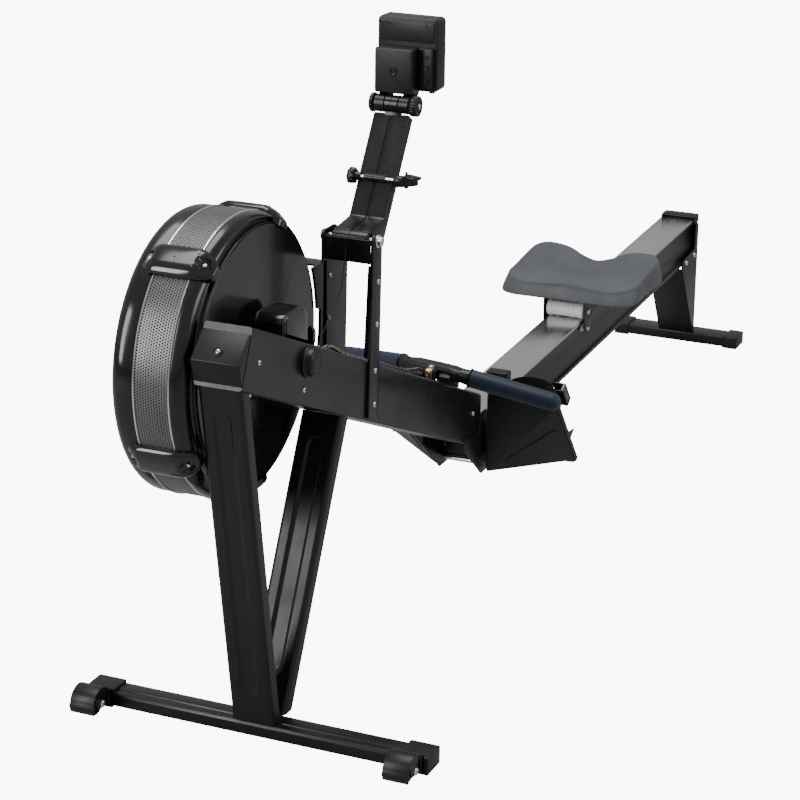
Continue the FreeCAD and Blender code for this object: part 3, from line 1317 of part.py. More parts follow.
def seat_carriage():
    """Folded plate under the seat with side plates that carry the rollers."""
    half = carriage_half()
    plate = CARRIAGE_PLATE
    reach = ROLLER_SPREAD / 2 + 18
    x = (SEAT_X - reach, SEAT_X + reach)
    top = box(x, (-half - plate, half + plate), (SEAT_BASE_Z - plate - 0.05, SEAT_BASE_Z - 0.05))
    low = min(z for _, z in lower_roller_places()) - 8
    pieces = [top]
    for side in (-1, 1):
        y = sorted((side * half, side * (half + plate)))
        outline = [
            (x[0], SEAT_BASE_Z - 1),
            (x[1], SEAT_BASE_Z - 1),
            (x[1], low + 24),
            (x[1] - 12, low),
            (x[1] - 28, low),
            (SEAT_X + 30, low + 26),
            (SEAT_X - 30, low + 26),
            (x[0] + 28, low),
            (x[0] + 12, low),
            (x[0], low + 24),
        ]
        sheet = prism_y(outline, y)
        window = box((SEAT_X - 18, SEAT_X + 18), (y[0] - 1, y[1] + 1), (low + 34, SEAT_BASE_Z - 12))
        pieces.append(sheet.cut(window))
    carriage = joined(pieces)
    for px, pz in roller_places():
        carriage = carriage.cut(rod_y(px, pz, ROLLER_AXLE + 0.02, (-80, 80)))
    for px, pz in lower_roller_places():
        carriage = carriage.cut(rod_y(px, pz, 3.02, (-80, 80)))
    return carriage


def roller_axles():
    """Axles of the top rollers and stub pins of the lower rollers."""
    pins = []
    end = carriage_half() + CARRIAGE_PLATE + 4
    for x, z in roller_places():
        shaft = rod_y(x, z, ROLLER_AXLE, (-end, end))
        nut = rod_y(x, z, ROLLER_AXLE + 3, (end - 3.9, end))
        head = rod_y(x, z, ROLLER_AXLE + 3, (-end, -end + 3.9))
        pins.append(joined([shaft, nut, head]))
    inner = lower_roller_y()[0]
    for x, z in lower_roller_places():
        for side in (-1, 1):
            y = sorted((side * inner, side * end))
            pin = rod_y(x, z, 3.0, y)
            head = rod_y(x, z, 5.5, sorted((side * (end - 3.9), side * end)))
            pins.append(joined([pin, head]))
    return pins


# ---------------------------------------------------------------- footrests, modelled on the -Y side
def sole_direction():
    """Unit vector up the sole, from heel to toe, and the sole's outward normal, as (x, z)."""
    run = math.hypot(SOLE_FRONT_X - SOLE_HEEL_X, SOLE_TOP_Z - SOLE_HEEL_Z)
    up = ((SOLE_FRONT_X - SOLE_HEEL_X) / run, (SOLE_TOP_Z - SOLE_HEEL_Z) / run)
    return up, (up[1], -up[0])


def sole_point(along, out):
    """A point by its distance up the sole from the heel and its distance out of it."""
    up, normal = sole_direction()
    return SOLE_HEEL_X + up[0] * along + normal[0] * out, SOLE_HEEL_Z + up[1] * along + normal[1] * out


def wedge(inset):
    """The footrest's wedge: an upright front, a slanted skirt and the inclined sole."""
    inner = -FOOT_INNER_Y
    outer = -FOOT_OUTER_Y + inset * 1.6
    front = SOLE_FRONT_X + inset
    up, normal = sole_direction()
    heel_x = SOLE_HEEL_X - normal[0] * inset
    heel_z = SOLE_HEEL_Z - normal[1] * inset
    toe_z = heel_z + (front - heel_x) * up[1] / up[0]
    low = (front, inner, SKIRT_BOTTOM_Z + inset * 1.2)
    heel_in = (heel_x, inner, heel_z)
    heel_out = (heel_x, outer, heel_z)
    toe_in = (front, inner, toe_z)
    toe_out = (front, outer, toe_z)
    return solid_from([
        [low, toe_out, toe_in],
        [low, heel_out, toe_out],
        [heel_in, toe_in, toe_out, heel_out],
        [low, heel_in, heel_out],
        [low, toe_in, heel_in],
    ])


def footrest_shell():
    """Moulded wedge under the foot, open towards the monorail."""
    room = wedge(FOOT_WALL).translated(V(0, 4.0, 0))
    shell = wedge(0.0).cut(room)
    lug = rod_y(SOLE_FRONT_X + 14, SKIRT_BOTTOM_Z + 12, 13.0, (-FOOT_INNER_Y - 8, -FOOT_INNER_Y))
    nut_room = rod_y(SOLE_FRONT_X + 14, SKIRT_BOTTOM_Z + 12, 9.5, (-FOOT_INNER_Y - 60, -FOOT_INNER_Y - 8))
    shell = joined([shell.cut(nut_room), lug])
    return shell.cut(rod_y(SOLE_FRONT_X + 14, SKIRT_BOTTOM_Z + 12, 5.1, (-90, 0)))


def foot_board():
    """Inclined board that the foot presses on, longer than the wedge at the toe."""
    up, normal = sole_direction()
    top = sole_length() + TOE_EXTENSION
    outline = [sole_point(-14, 0.05), sole_point(-14, BOARD_THICKNESS), sole_point(top, BOARD_THICKNESS),
               sole_point(top, 0.05)]
    board = prism_y(outline, (-FOOT_OUTER_Y, -FOOT_INNER_Y))
    board = board.makeFillet(18.0, edges_along(board, (normal[0], 0, normal[1])))
    for y in (-FOOT_OUTER_Y + 16, -FOOT_INNER_Y - 16):
        slot = prism_y([sole_point(132, -1), sole_point(132, 9), sole_point(176, 9), sole_point(176, -1)],
                       (y - 3, y + 3))
        board = board.cut(slot)
    return board


def sole_length():
    """Length of the wedge's sole."""
    return math.hypot(SOLE_FRONT_X - SOLE_HEEL_X, SOLE_TOP_Z - SOLE_HEEL_Z)


def heel_cup():
    """Flexing heel piece that slides up and down the board."""
    base = BOARD_THICKNESS + BODY_GAP
    corners = ((-4, base), (-4, base + 4), (118, base + 4), (118, base))
    plate = [sole_point(*corner) for corner in corners]
    inner = (-FOOT_OUTER_Y + 21, -FOOT_INNER_Y - 21)
    sheet = prism_y(plate, inner)
    heel = [sole_point(-4, base), sole_point(-10, base + 58), sole_point(-4, base + 60),
            sole_point(2, base + 4), sole_point(2, base)]
    wall = prism_y(heel, inner)
    sides = []
    for y in (inner[0], inner[1] - 4):
        side = [sole_point(-4, base), sole_point(-8, base + 52), sole_point(14, base + 40),
                sole_point(60, base + 4), sole_point(60, base)]
        sides.append(prism_y(side, (y, y + 4)))
    return joined([sheet, wall] + sides)


def foot_strap():
    """Webbing that arches over the toes from one side of the board to the other."""
    low = 136.0
    high = low + STRAP_WIDTH
    outer = -FOOT_OUTER_Y + 14
    inner = -FOOT_INNER_Y - 14
    base = BOARD_THICKNESS + 0.1
    profile = [(outer, base), (outer - 2, base + 26), (outer + 16, base + 50),
               (outer + 40, base + STRAP_HEIGHT), (inner - 40, base + STRAP_HEIGHT),
               (inner - 16, base + 50), (inner + 2, base + 26), (inner, base)]
    inside = [(outer + 3, base), (outer + 1.5, base + 25), (outer + 18, base + 47.5),
              (outer + 41, base + STRAP_HEIGHT - 3), (inner - 41, base + STRAP_HEIGHT - 3),
              (inner - 18, base + 47.5), (inner - 1.5, base + 25), (inner - 3, base)]
    points = profile + inside[::-1]
    corners = []
    for y, out in points:
        x, z = sole_point(low, out)
        corners.append(V(x, y, z))
    up, _ = sole_direction()
    face = Part.Face(Part.makePolygon(corners + [corners[0]]))
    return face.extrude(V(up[0], 0, up[1]) * (high - low))


def strap_buckle():
    """Cam buckle on the outer leg of the strap."""
    y = -FOOT_OUTER_Y + 12
    base = BOARD_THICKNESS + 30
    outline = [sole_point(130, base), sole_point(130, base + 20), sole_point(180, base + 20),
               sole_point(180, base)]
    plate = prism_y(outline, (y - 9, y - 1.6))
    return plate.makeFillet(2.0, edges_along(plate, (0, 1, 0)))


def cross_rod_place():
    """The (x, z) of the rod through both footrests."""
    return SOLE_FRONT_X + 14, SKIRT_BOTTOM_Z + 12


def footrest_cross_rod():
    """Rod that ties the two footrests together under the beam, with its nuts."""
    x, z = cross_rod_place()
    end = FOOT_INNER_Y + 12
    shaft = rod_y(x, z, 5.0, (-end, end))
    nut = prism_y(hexagon(x, z, 8), (-end - 1, -FOOT_INNER_Y - 8.05))
    far = prism_y(hexagon(x, z, 8), (FOOT_INNER_Y + 8.05, end + 1))
    return joined([shaft, nut, far])


# ---------------------------------------------------------------- fasteners
def beam_screws():
    """Screws in the beam's sides and in its end cap."""
    screws = [screw_y(x, z, side * BEAM_HALF, side) for x, z, side in beam_screw_places()]
    screws.append(on_beam(nose_screw_tool(0.0)))
    return screws


def leg_bolts():
    """Bolts at the legs' tops and on the foot bar's bracket."""
    bolts = []
    top = FOOT_BAR_Z[1] + 3
    for x, y in bracket_bolt_places():
        shank = Part.makeCylinder(4.0, 8, V(x, y, top - 7.9))
        head = Part.makeCylinder(6.5, 4, V(x, y, top + 0.05))
        bolts.append(joined([shank, head]))
    return bolts


def rear_leg_bolts():
    """Bolts of the rear leg."""
    bolts = []
    face = RAIL_HALF + 0.2 + REAR_LEG_PLATE
    for x, z in rear_leg_bolt_places():
        for side in (-1, 1):
            shank = rod_y(x, z, 4.0, sorted((side * (RAIL_HALF + 0.25), side * (face + 1))))
            head = rod_y(x, z, 7.5, sorted((side * (face + 0.05), side * (face + 4))))
            bolts.append(joined([shank, head]))
    return bolts


# ---------------------------------------------------------------- build
def build_frame():
    save("main_beam", main_beam())
    save("beam_end_cap", beam_end_cap())
    save("front_leg", trimmed_leg(FRONT_LEG_FOOT, FRONT_LEG_HEAD, FOOT_BAR_Z[1]))
    save("back_leg", back_leg())
    save("front_foot_bar", front_foot_bar())
    cap = front_foot_cap()
    save("front_foot_caps", cap, mirrored(cap))
    save("caster_wheel_right", caster_wheel())
    save("caster_wheel_left", mirrored(caster_wheel()))
    save("caster_axles", caster_axle(), mirrored(caster_axle()))
    save("monorail_beam", monorail_beam())
    save("stainless_track", stainless_track())
    save("rail_stops", seat_stop(RAIL_FRONT_X + 190), monorail_end_cap())
    save("rear_leg", rear_leg())
    save("rear_foot_bar", rear_foot_bar())
    save("rear_foot_caps", rear_foot_cap(), mirrored(rear_foot_cap()))


def build_flywheel():
    save("near_flywheel_cover", near_flywheel_cover())
    save("far_flywheel_cover", far_flywheel_cover())
    save("perforated_screen", perforated_screen())
    save("rim_clips", *[rim_clip(angle) for angle in CLIP_ANGLES])
    save("damper_lever", damper_lever())
    save("fan_rotor", fan_rotor())
    save("flywheel_axle", flywheel_axle())
    save("clutch_sprocket", clutch_sprocket())
    save("axle_cap", axle_cap())
    save("chain_shroud", chain_shroud())


def build_monitor():
    save("near_upright", near_upright())
    save("far_upright", far_upright())
    save("arm_pivot_bolt", arm_pivot_bolt())
    save("monitor_arm", monitor_arm())
    save("tilt_bolt", tilt_bolt())
    save("monitor_casing", monitor_casing())
    save("display_lens", display_lens())
    for number, (y, z) in enumerate(button_places(), 1):
        save("monitor_button_" + str(number), monitor_button(y, z))
    save("battery_pack", battery_pack())
    save("device_holder_screw", device_holder_screw())
    save("device_clamp_body", device_clamp_body())
    save("device_clamp_jaw", device_clamp_jaw())
    save("sensor_wire", route_tube(sensor_wire_route(), 0.9))


def build_handle_and_seat():
    save("handle_centre", handle_centre())
    save("handle_grips", handle_grip(1), handle_grip(-1))
    save("chain_swivel", chain_swivel())
    save("pull_chain", route_tube(pull_chain_route(), CHAIN_RADIUS))
    save("handle_rest", handle_rest())
    save("seat_pad", seat_pad())
    save("seat_carriage", seat_carriage())
    for name, (x, z) in zip(("front_top_roller", "rear_top_roller"), roller_places()):
        save(name, top_roller(x, z))
    for name, (x, z) in zip(("front_lower_rollers", "rear_lower_rollers"), lower_roller_places()):
        save(name, *lower_rollers(x, z))
    save("roller_axles", *roller_axles())


def build_footrests():
    shell = footrest_shell()
    board = foot_board()
    strap = foot_strap()
    buckle = strap_buckle()
    save("footrest_shells", shell, mirrored(shell))
    save("foot_boards", board, mirrored(board))
    save("heel_cup_left", heel_cup())
    save("heel_cup_right", mirrored(heel_cup()))
    save("foot_straps", strap, mirrored(strap))
    save("strap_buckles", buckle, mirrored(buckle))
    save("footrest_cross_rod", footrest_cross_rod())


def build_fasteners():
    save("frame_screws", *(beam_screws() + upright_screws() + leg_bolts() + rear_leg_bolts()))


build_frame()
build_flywheel()
build_monitor()
build_handle_and_seat()
build_footrests()
build_fasteners()
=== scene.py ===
import math
import bpy
import numpy as np
from mathutils import Matrix, Vector


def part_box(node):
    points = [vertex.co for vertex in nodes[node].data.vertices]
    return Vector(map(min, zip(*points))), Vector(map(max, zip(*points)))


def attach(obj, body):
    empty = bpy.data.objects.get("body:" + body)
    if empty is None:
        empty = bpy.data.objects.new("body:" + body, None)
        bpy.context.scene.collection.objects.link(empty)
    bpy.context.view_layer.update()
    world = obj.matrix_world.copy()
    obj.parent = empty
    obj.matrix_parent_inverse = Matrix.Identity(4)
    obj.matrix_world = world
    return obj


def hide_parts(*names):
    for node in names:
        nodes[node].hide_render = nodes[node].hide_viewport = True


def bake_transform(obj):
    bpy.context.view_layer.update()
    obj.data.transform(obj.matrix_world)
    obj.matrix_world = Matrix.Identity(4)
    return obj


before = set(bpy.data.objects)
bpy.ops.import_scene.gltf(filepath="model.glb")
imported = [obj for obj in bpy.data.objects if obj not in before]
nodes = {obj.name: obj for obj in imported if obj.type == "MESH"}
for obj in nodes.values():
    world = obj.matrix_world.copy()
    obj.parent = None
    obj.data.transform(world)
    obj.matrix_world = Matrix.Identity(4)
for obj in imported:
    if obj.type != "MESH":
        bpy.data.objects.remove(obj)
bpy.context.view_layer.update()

# ---------------------------------------------------------------- driving sizes, in metres
BEAM_NOSE = np.array([-1.1475, 0.0, 0.7146])
BEAM_SLOPE = math.radians(23.36)
BEAM_HALF = 0.04075
BEAM_HEIGHT = 0.097
BEAM_REAR_X = -0.214
NOSE_REACH = 0.026
NOSE_DROP = 0.0615

RAIL_REAR = np.array([1.15, 0.0, 0.3102])
RAIL_SLOPE = math.radians(1.64)
RAIL_LENGTH = 1.357 / math.cos(RAIL_SLOPE)
RAIL_HALF = 0.0382
RAIL_HEIGHT = 0.0928
TRACK_THICKNESS = 0.0012
RAIL_FLANGE = 0.009
RAIL_RECESS = 0.006

FOOT_X = (-1.081, -1.0375)
FOOT_Z = (0.0025, 0.0268)
FOOT_HALF_WIDTH = 0.305
WHEEL = np.array([-1.118, 0.276, 0.024])
WHEEL_RADIUS = 0.0225
LEG_WIDTH = 0.074
LEG_DEPTH = 0.024
FRONT_LEG = ((-1.081, 0.0268), (-1.181, 0.622))
BACK_LEG = ((-1.036, 0.036), (-0.822, 0.468))

AXLE = np.array([-0.957, 0.0, 0.603])
HOUSING = np.array([-0.98, 0.0, 0.6045])
HOUSING_RADIUS = 0.228
HOUSING_Y = (0.046, 0.177)
BAND_Y = (0.07, 0.131)
CLIP_ANGLES = (61.5, 126.5, 209.5, 277.0, 352.0)
CLIP_Y = (0.04, 0.163)

PIVOT = np.array([-0.707, 0.0, 0.733])
KINK = np.array([-0.649, 0.0, 0.753])
HEAD = np.array([-0.541, 0.0, 0.921])
ARM_HALF = 0.032
ARM_DEPTH = 0.021
HOLDER_Z = 0.812
MONITOR_X = (-0.513, -0.477)
MONITOR_Y = (-0.066, 0.042)
MONITOR_Z = (0.94, 1.062)
PACK_X = (-0.545, -0.5134)
PACK_HALF = 0.034
PACK_Z = (0.9392, 1.014)

HANDLE = np.array([-0.338, 0.0, 0.391])
HANDLE_YAW = math.radians(-10.7)
HANDLE_BEND = math.radians(16.0)
HANDLE_ROLL = math.radians(34.0)
HANDLE_CENTRE = 0.119
GRIP_LENGTH = 0.185
GRIP_RADIUS = 0.0165

SEAT_X = 0.45
SEAT_WIDTH = 0.296
SEAT_DEPTH = 0.242
SEAT_Z = 0.32895
ROLLER_RADIUS = 0.017
ROLLER_SPREAD = 0.166

SOLE_HEEL = np.array([-0.089, 0.0, 0.161])
SOLE_TOE = np.array([-0.206, 0.0, 0.307])
FOOT_INNER_Y = 0.05
FOOT_OUTER_Y = 0.19
SKIRT_BOTTOM_Z = 0.155


# ---------------------------------------------------------------- surfaces
def patch(points, around=True, ends=(True, True)):
    """A grid of points (rows, columns, 3) as vertices and faces.

    Row i and column j meet at vertex i * columns + j. With around, the last column joins the first,
    and each end that is asked for is closed with one flat face over its row.
    """
    rows, columns = points.shape[:2]
    i = np.arange(rows - 1)[:, None]
    j = np.arange(columns if around else columns - 1)[None, :]
    right = (j + 1) % columns
    quads = np.stack([i * columns + j, i * columns + right, (i + 1) * columns + right,
        (i + 1) * columns + j], -1)
    faces = quads.reshape(-1, 4).tolist()
    if around and ends[0]:
        faces.append(list(range(columns))[::-1])
    if around and ends[1]:
        faces.append(list(range((rows - 1) * columns, rows * columns)))
    return points.reshape(-1, 3), faces


def outward(part):
    """The same part with its faces turned round if the sum of its corner-by-corner volumes is negative."""
    points, faces = part
    volume = 0.0
    for size in (3, 4):
        ring = np.array([f for f in faces if len(f) == size])
        if len(ring):
            first = points[ring[:, 0]]
            for k in range(1, size - 1):
                volume += np.einsum("ij,ij->i", first,
                    np.cross(points[ring[:, k]], points[ring[:, k + 1]])).sum()
    for f in faces:
        if len(f) > 4:
            ring = points[f]
            volume += np.einsum("ij,ij->i", np.broadcast_to(ring[0], ring[1:-1].shape),
                np.cross(ring[1:-1], ring[2:])).sum()
    return (points, [f[::-1] for f in faces]) if volume < 0 else part


def piece(name, parts, material, body="base", stands_for=(), sharp=32.0, closed=True):
    """One object from several parts, smooth but for edges sharper than an angle, riding on a body."""
    points = []
    faces = []
    start = 0
    for part in parts:
        part_points, part_faces = outward(part) if closed else part
        points.append(part_points)
        faces += [[v + start for v in f] for f in part_faces]
        start += len(part_points)
    mesh = bpy.data.meshes.new(name)
    mesh.from_pydata(np.concatenate(points).tolist(), [], faces)
    mesh.shade_smooth()
    mesh.set_sharp_from_angle(angle=math.radians(sharp))
    mesh.materials.append(material)
    made = bpy.data.objects.new(name, mesh)
    bpy.context.scene.collection.objects.link(made)
    if body:
        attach(made, body)
    if stands_for:
        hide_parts(*stands_for)
    return made


def place(flat, height, axis):
    """Points from (a, b) in a plane and a height square to it.

    Y takes (x, z), X takes (y, z) and Z takes (x, y).
    """
    a, b = flat[..., 0], flat[..., 1]
    c = np.broadcast_to(height, a.shape)
    order = {"y": (a, c, b), "x": (c, a, b), "z": (a, b, c)}[axis]
    return np.stack(order, -1)


def rounded(corners, radius, steps=5):
    """A polygon with each corner turned into an arc.

    The arc's ends lie radius / tan(half the inside angle) from the corner along both sides, and its
    centre radius / sin(half the inside angle) away along the bisector.
    """
    corners = np.asarray(corners, float)
    count = len(corners)
    radius = np.broadcast_to(radius, count).astype(float)
    before = np.roll(corners, 1, 0) - corners
    after = np.roll(corners, -1, 0) - corners
    length_b = np.linalg.norm(before, axis=1, keepdims=True)
    length_a = np.linalg.norm(after, axis=1, keepdims=True)
    before = before / length_b
    after = after / length_a
    half = np.arccos(np.clip((before * after).sum(1), -1, 1)) / 2
    limit = np.minimum(length_a, length_b)[:, 0] * 0.48 * np.tan(half)
    radius = np.minimum(radius, limit)
    bisector = before + after
    bisector /= np.linalg.norm(bisector, axis=1, keepdims=True)
    centre = corners + bisector * (radius / np.sin(half))[:, None]
    reach = (radius / np.tan(half))[:, None]
    start = corners + before * reach - centre
    end = corners + after * reach - centre
    turn = np.pi - 2 * half
    t = np.linspace(0, 1, steps)[None, :, None]
    angle = turn[:, None, None]
    small = np.maximum(np.sin(angle), 1e-6)
    arc = (np.sin((1 - t) * angle) * start[:, None] + np.sin(t * angle) * end[:, None]) / small
    return (centre[:, None] + arc).reshape(-1, 2)


def inward_normals(outline):
    """Unit normals of a closed outline, pointing in: the tangent between neighbours, turned a quarter."""
    tangent = np.roll(outline, -1, 0) - np.roll(outline, 1, 0)
    tangent /= np.maximum(np.linalg.norm(tangent, axis=1, keepdims=True), 1e-9)
    x, y = outline[:, 0], outline[:, 1]
    area = (x * np.roll(y, -1) - np.roll(x, -1) * y).sum()
    normal = np.stack([-tangent[:, 1], tangent[:, 0]], 1)
    return normal if area > 0 else -normal


def slab(outline, low, high, edge=0.0012, axis="y", steps=3):
    """A closed outline carried from low to high, with both rims rounded.

    At an angle t from 0 to 90 degrees round a rim, the outline is drawn in by edge * (1 - sin t), and
    lies edge * (1 - cos t) from the end.
    """
    outline = np.asarray(outline, float)
    normal = inward_normals(outline)
    t = np.linspace(0, np.pi / 2, steps + 1)
    inset = edge * (1 - np.sin(t))
    rise = edge * (1 - np.cos(t))
    inset = np.concatenate([inset, inset[::-1]])
    height = np.concatenate([low + rise, (high - rise)[::-1]])
    rings = outline[None] + normal[None] * inset[:, None, None]
    return patch(place(rings, height[:, None], axis))


def box(x, y, z, edge=0.0012, corner=0.0, axis="y"):
    """A box with rounded edges, its outline's corners rounded by corner."""
    spans = {"y": (x, z, y), "x": (y, z, x), "z": (x, y, z)}[axis]
    (a0, a1), (b0, b1), (c0, c1) = spans
    outline = rounded([(a0, b0), (a1, b0), (a1, b1), (a0, b1)], max(corner, edge), 4)
    return slab(outline, c0, c1, edge, axis)


def lathe(profile, centre, axis="y", around=64, ends=(True, True), start=0.0, swing=2 * np.pi):
    """A profile of (radius, height) points turned about an axis through centre.

    Point (r, h) at angle t is centre + r * (cos t, sin t) across the axis + h along it.
    """
    profile = np.asarray(profile, float)
    t = start + np.linspace(0, swing, around, endpoint=swing < 6.28)
    r = profile[:, 0][:, None]
    flat = np.stack([r * np.cos(t), r * np.sin(t)], -1)
    points = place(flat, profile[:, 1][:, None], axis) + np.asarray(centre, float)
    return patch(points, True, ends)


def ring(profile, centre, axis="y", around=96):
    """A closed profile of (radius, height) points turned into a ring."""
    profile = np.asarray(profile, float)
    t = np.linspace(0, 2 * np.pi, around, endpoint=False)
    r = profile[:, 0][None, :]
    flat = np.stack([r * np.cos(t)[:, None], r * np.sin(t)[:, None]], -1)
    points = place(flat, profile[:, 1][None, :], axis) + np.asarray(centre, float)
    rows = np.concatenate([points, points[:1]])
    return patch(rows, True, (False, False))


def frames(path, up):
    """Tangent, side and upward unit vectors along a path, the side being square to the given up."""
    tangent = np.gradient(path, axis=0)
    tangent /= np.linalg.norm(tangent, axis=1, keepdims=True)
    side = np.cross(tangent, np.broadcast_to(up, tangent.shape))
    side /= np.linalg.norm(side, axis=1, keepdims=True)
    return tangent, side, np.cross(side, tangent)


def sweep(path, sections, up=(0, 0, 1), ends=(True, True)):
    """A section of (side, up) offsets, one for all stations or one for each, carried along a path."""
    path = np.asarray(path, float)
    _, side, top = frames(path, np.asarray(up, float))
    sections = np.asarray(sections, float)
    if sections.ndim == 2:
        sections = np.broadcast_to(sections, (len(path),) + sections.shape)
    points = path[:, None] + sections[..., :1] * side[:, None] + sections[..., 1:] * top[:, None]
    return patch(points, True, ends)


def disc(radius, count=16):
    """Points of a circle, or one circle for each radius in a list."""
    t = np.linspace(0, 2 * np.pi, count, endpoint=False)
    circle = np.stack([np.cos(t), np.sin(t)], -1)
    radius = np.asarray(radius, float)
    return circle * radius if radius.ndim == 0 else circle[None] * radius[:, None, None]


def moved(part, turn=None, at=(0, 0, 0)):
    """A part turned by a 3 by 3 matrix and then shifted."""
    points, faces = part
    if turn is not None:
        points = points @ np.asarray(turn).T
    return points + np.asarray(at, float), faces


def about_y(angle):
    """The matrix of a turn about Y that carries +X towards -Z, as a positive hinge about +Y does."""
    c, s = math.cos(angle), math.sin(angle)
    return np.array([[c, 0, s], [0, 1, 0], [-s, 0, c]])


def turned(part, angle, centre):
    """A part turned about a Y axis through centre."""
    points, faces = part
    centre = np.asarray(centre, float)
    return (points - centre) @ about_y(angle).T + centre, faces


def on_beam(part):
    """A part from beam coordinates, along the top face from its front edge, into place."""
    return moved(part, about_y(BEAM_SLOPE), BEAM_NOSE)


def on_rail(part):
    """A part from rail coordinates, back from the track's rear end, into place."""
    return moved(part, about_y(-RAIL_SLOPE), RAIL_REAR)


def other_side(part):
    """A part mirrored across the machine's middle; its faces are turned round later where needed."""
    points, faces = part
    return points * np.array([1, -1, 1]), [f[::-1] for f in faces]


def beam_top(x):
    """Height of the beam's top face at x."""
    return BEAM_NOSE[2] - (x - BEAM_NOSE[0]) * math.tan(BEAM_SLOPE)


def rail_top(x):
    """Height of the track's top face at x."""
    return RAIL_REAR[2] + (x - RAIL_REAR[0]) * math.tan(RAIL_SLOPE)


def smooth(t):
    """The ramp 3 t^2 - 2 t^3 between 0 and 1."""
    t = np.clip(t, 0, 1)
    return t * t * (3 - 2 * t)


def button_head(centre, radius, direction):
    """A domed screw head with a hexagon socket, its axis along direction."""
    h = radius * 0.62
    t = np.linspace(0, np.pi / 2, 6)
    dome = np.stack([radius * 0.52 + radius * 0.48 * np.cos(t), h * 0.25 + h * 0.75 * np.sin(t)], -1)
    profile = np.concatenate([[[radius, -h * 0.4]], dome, [[radius * 0.45, h], [radius * 0.42, h * 0.3]]])
    t = np.linspace(0, 2 * np.pi, 24, endpoint=False)
    flat = profile[:, :1, None] * np.stack([np.cos(t), np.sin(t)], -1)[None]
    hexagon = math.cos(math.pi / 6) / np.cos((t + math.pi / 6) % (math.pi / 3) - math.pi / 6)
    flat[-2:] *= hexagon[None, :, None]
    points = place(flat, profile[:, 1][:, None], "z")
    direction = Vector(direction).normalized()
    turn = np.array(Vector((0, 0, 1)).rotation_difference(direction).to_matrix())
    return moved(patch(points), turn, centre)


# ---------------------------------------------------------------- node groups
def group(name, inputs, outputs):
    """An empty shader node group with float inputs (name, value) and named outputs."""
    made = bpy.data.node_groups.new(name, "ShaderNodeTree")
    for label, value in inputs:
        socket = made.interface.new_socket(label, in_out="INPUT", socket_type="NodeSocketFloat")
        socket.default_value = value
    for label, kind in outputs:
        made.interface.new_socket(label, in_out="OUTPUT", socket_type=kind)
    return made, made.nodes.new("NodeGroupInput"), made.nodes.new("NodeGroupOutput")


def link(tree, a, b):
    tree.links.new(a, b)


def node(tree, kind, **values):
    """A node with some of its properties and its named or numbered inputs set."""
    made = tree.nodes.new(kind)
    for key, value in values.items():
        if key.startswith("in_"):
            made.inputs[int(key[3:]) if key[3:].isdigit() else key[3:].replace("_",
                " ")].default_value = value
        else:
            setattr(made, key, value)
    return made


def math_node(tree, operation, a, b=None):
    """A math node on sockets or numbers."""
    made = tree.nodes.new("ShaderNodeMath")
    made.operation = operation
    for place_in, value in enumerate((a, b)):
        if value is None:
            continue
        if isinstance(value, (int, float)):
            made.inputs[place_in].default_value = value
        else:
            tree.links.new(value, made.inputs[place_in])
    return made.outputs[0]


def ramp(tree, value, low, high, to_low=0.0, to_high=1.0):
    """A value carried from one span to another, clamped."""
    made = tree.nodes.new("ShaderNodeMapRange")
    tree.links.new(value, made.inputs["Value"])
    for label, number in (("From Min", low), ("From Max", high), ("To Min", to_low), ("To Max", to_high)):
        made.inputs[label].default_value = number
    return made.outputs["Result"]


def moulded_grain():
    """Fine spark-eroded grain with broad uneven patches: Height from small noise, Patch from large noise."""
    tree, given, put = group("moulded_grain", [("Scale", 900.0), ("Patch Scale", 9.0)],
        [("Height", "NodeSocketFloat"), ("Patch", "NodeSocketFloat")])
    where = node(tree, "ShaderNodeTexCoord")
    fine = node(tree, "ShaderNodeTexNoise", in_Detail=3.0, in_Roughness=0.65)
    broad = node(tree, "ShaderNodeTexNoise", in_Detail=4.0, in_Roughness=0.6)
    cells = node(tree, "ShaderNodeTexVoronoi", feature="SMOOTH_F1")
    for made in (fine, broad, cells):
        link(tree, where.outputs["Object"], made.inputs["Vector"])
    link(tree, given.outputs["Scale"], fine.inputs["Scale"])
    link(tree, math_node(tree, "MULTIPLY", given.outputs["Scale"], 0.6), cells.inputs["Scale"])
    link(tree, given.outputs["Patch Scale"], broad.inputs["Scale"])
    link(tree, math_node(tree, "ADD", fine.outputs["Fac"], cells.outputs["Distance"]),
        put.inputs["Height"])
    link(tree, ramp(tree, broad.outputs["Fac"], 0.3, 0.7), put.inputs["Patch"])
    return tree


def drawn_lines():
    """Fine lines along X: noise squeezed hard across the lines, with slower bands."""
    tree, given, put = group("drawn_lines", [("Fineness", 900.0), ("Stretch", 0.004)],
        [("Height", "NodeSocketFloat"), ("Band", "NodeSocketFloat")])
    where = node(tree, "ShaderNodeTexCoord")
    split = node(tree, "ShaderNodeSeparateXYZ")
    link(tree, where.outputs["Object"], split.inputs[0])
    join = node(tree, "ShaderNodeCombineXYZ")
    link(tree, math_node(tree, "MULTIPLY", split.outputs[0], given.outputs["Stretch"]), join.inputs[0])
    link(tree, split.outputs[1], join.inputs[1])
    link(tree, split.outputs[2], join.inputs[2])
    fine = node(tree, "ShaderNodeTexNoise", in_Detail=4.0, in_Roughness=0.7)
    slow = node(tree, "ShaderNodeTexNoise", in_Detail=2.0)
    link(tree, join.outputs[0], fine.inputs["Vector"])
    link(tree, join.outputs[0], slow.inputs["Vector"])
    link(tree, given.outputs["Fineness"], fine.inputs["Scale"])
    link(tree, math_node(tree, "MULTIPLY", given.outputs["Fineness"], 0.06), slow.inputs["Scale"])
    link(tree, fine.outputs["Fac"], put.inputs["Height"])
    link(tree, ramp(tree, slow.outputs["Fac"], 0.35, 0.65), put.inputs["Band"])
    return tree


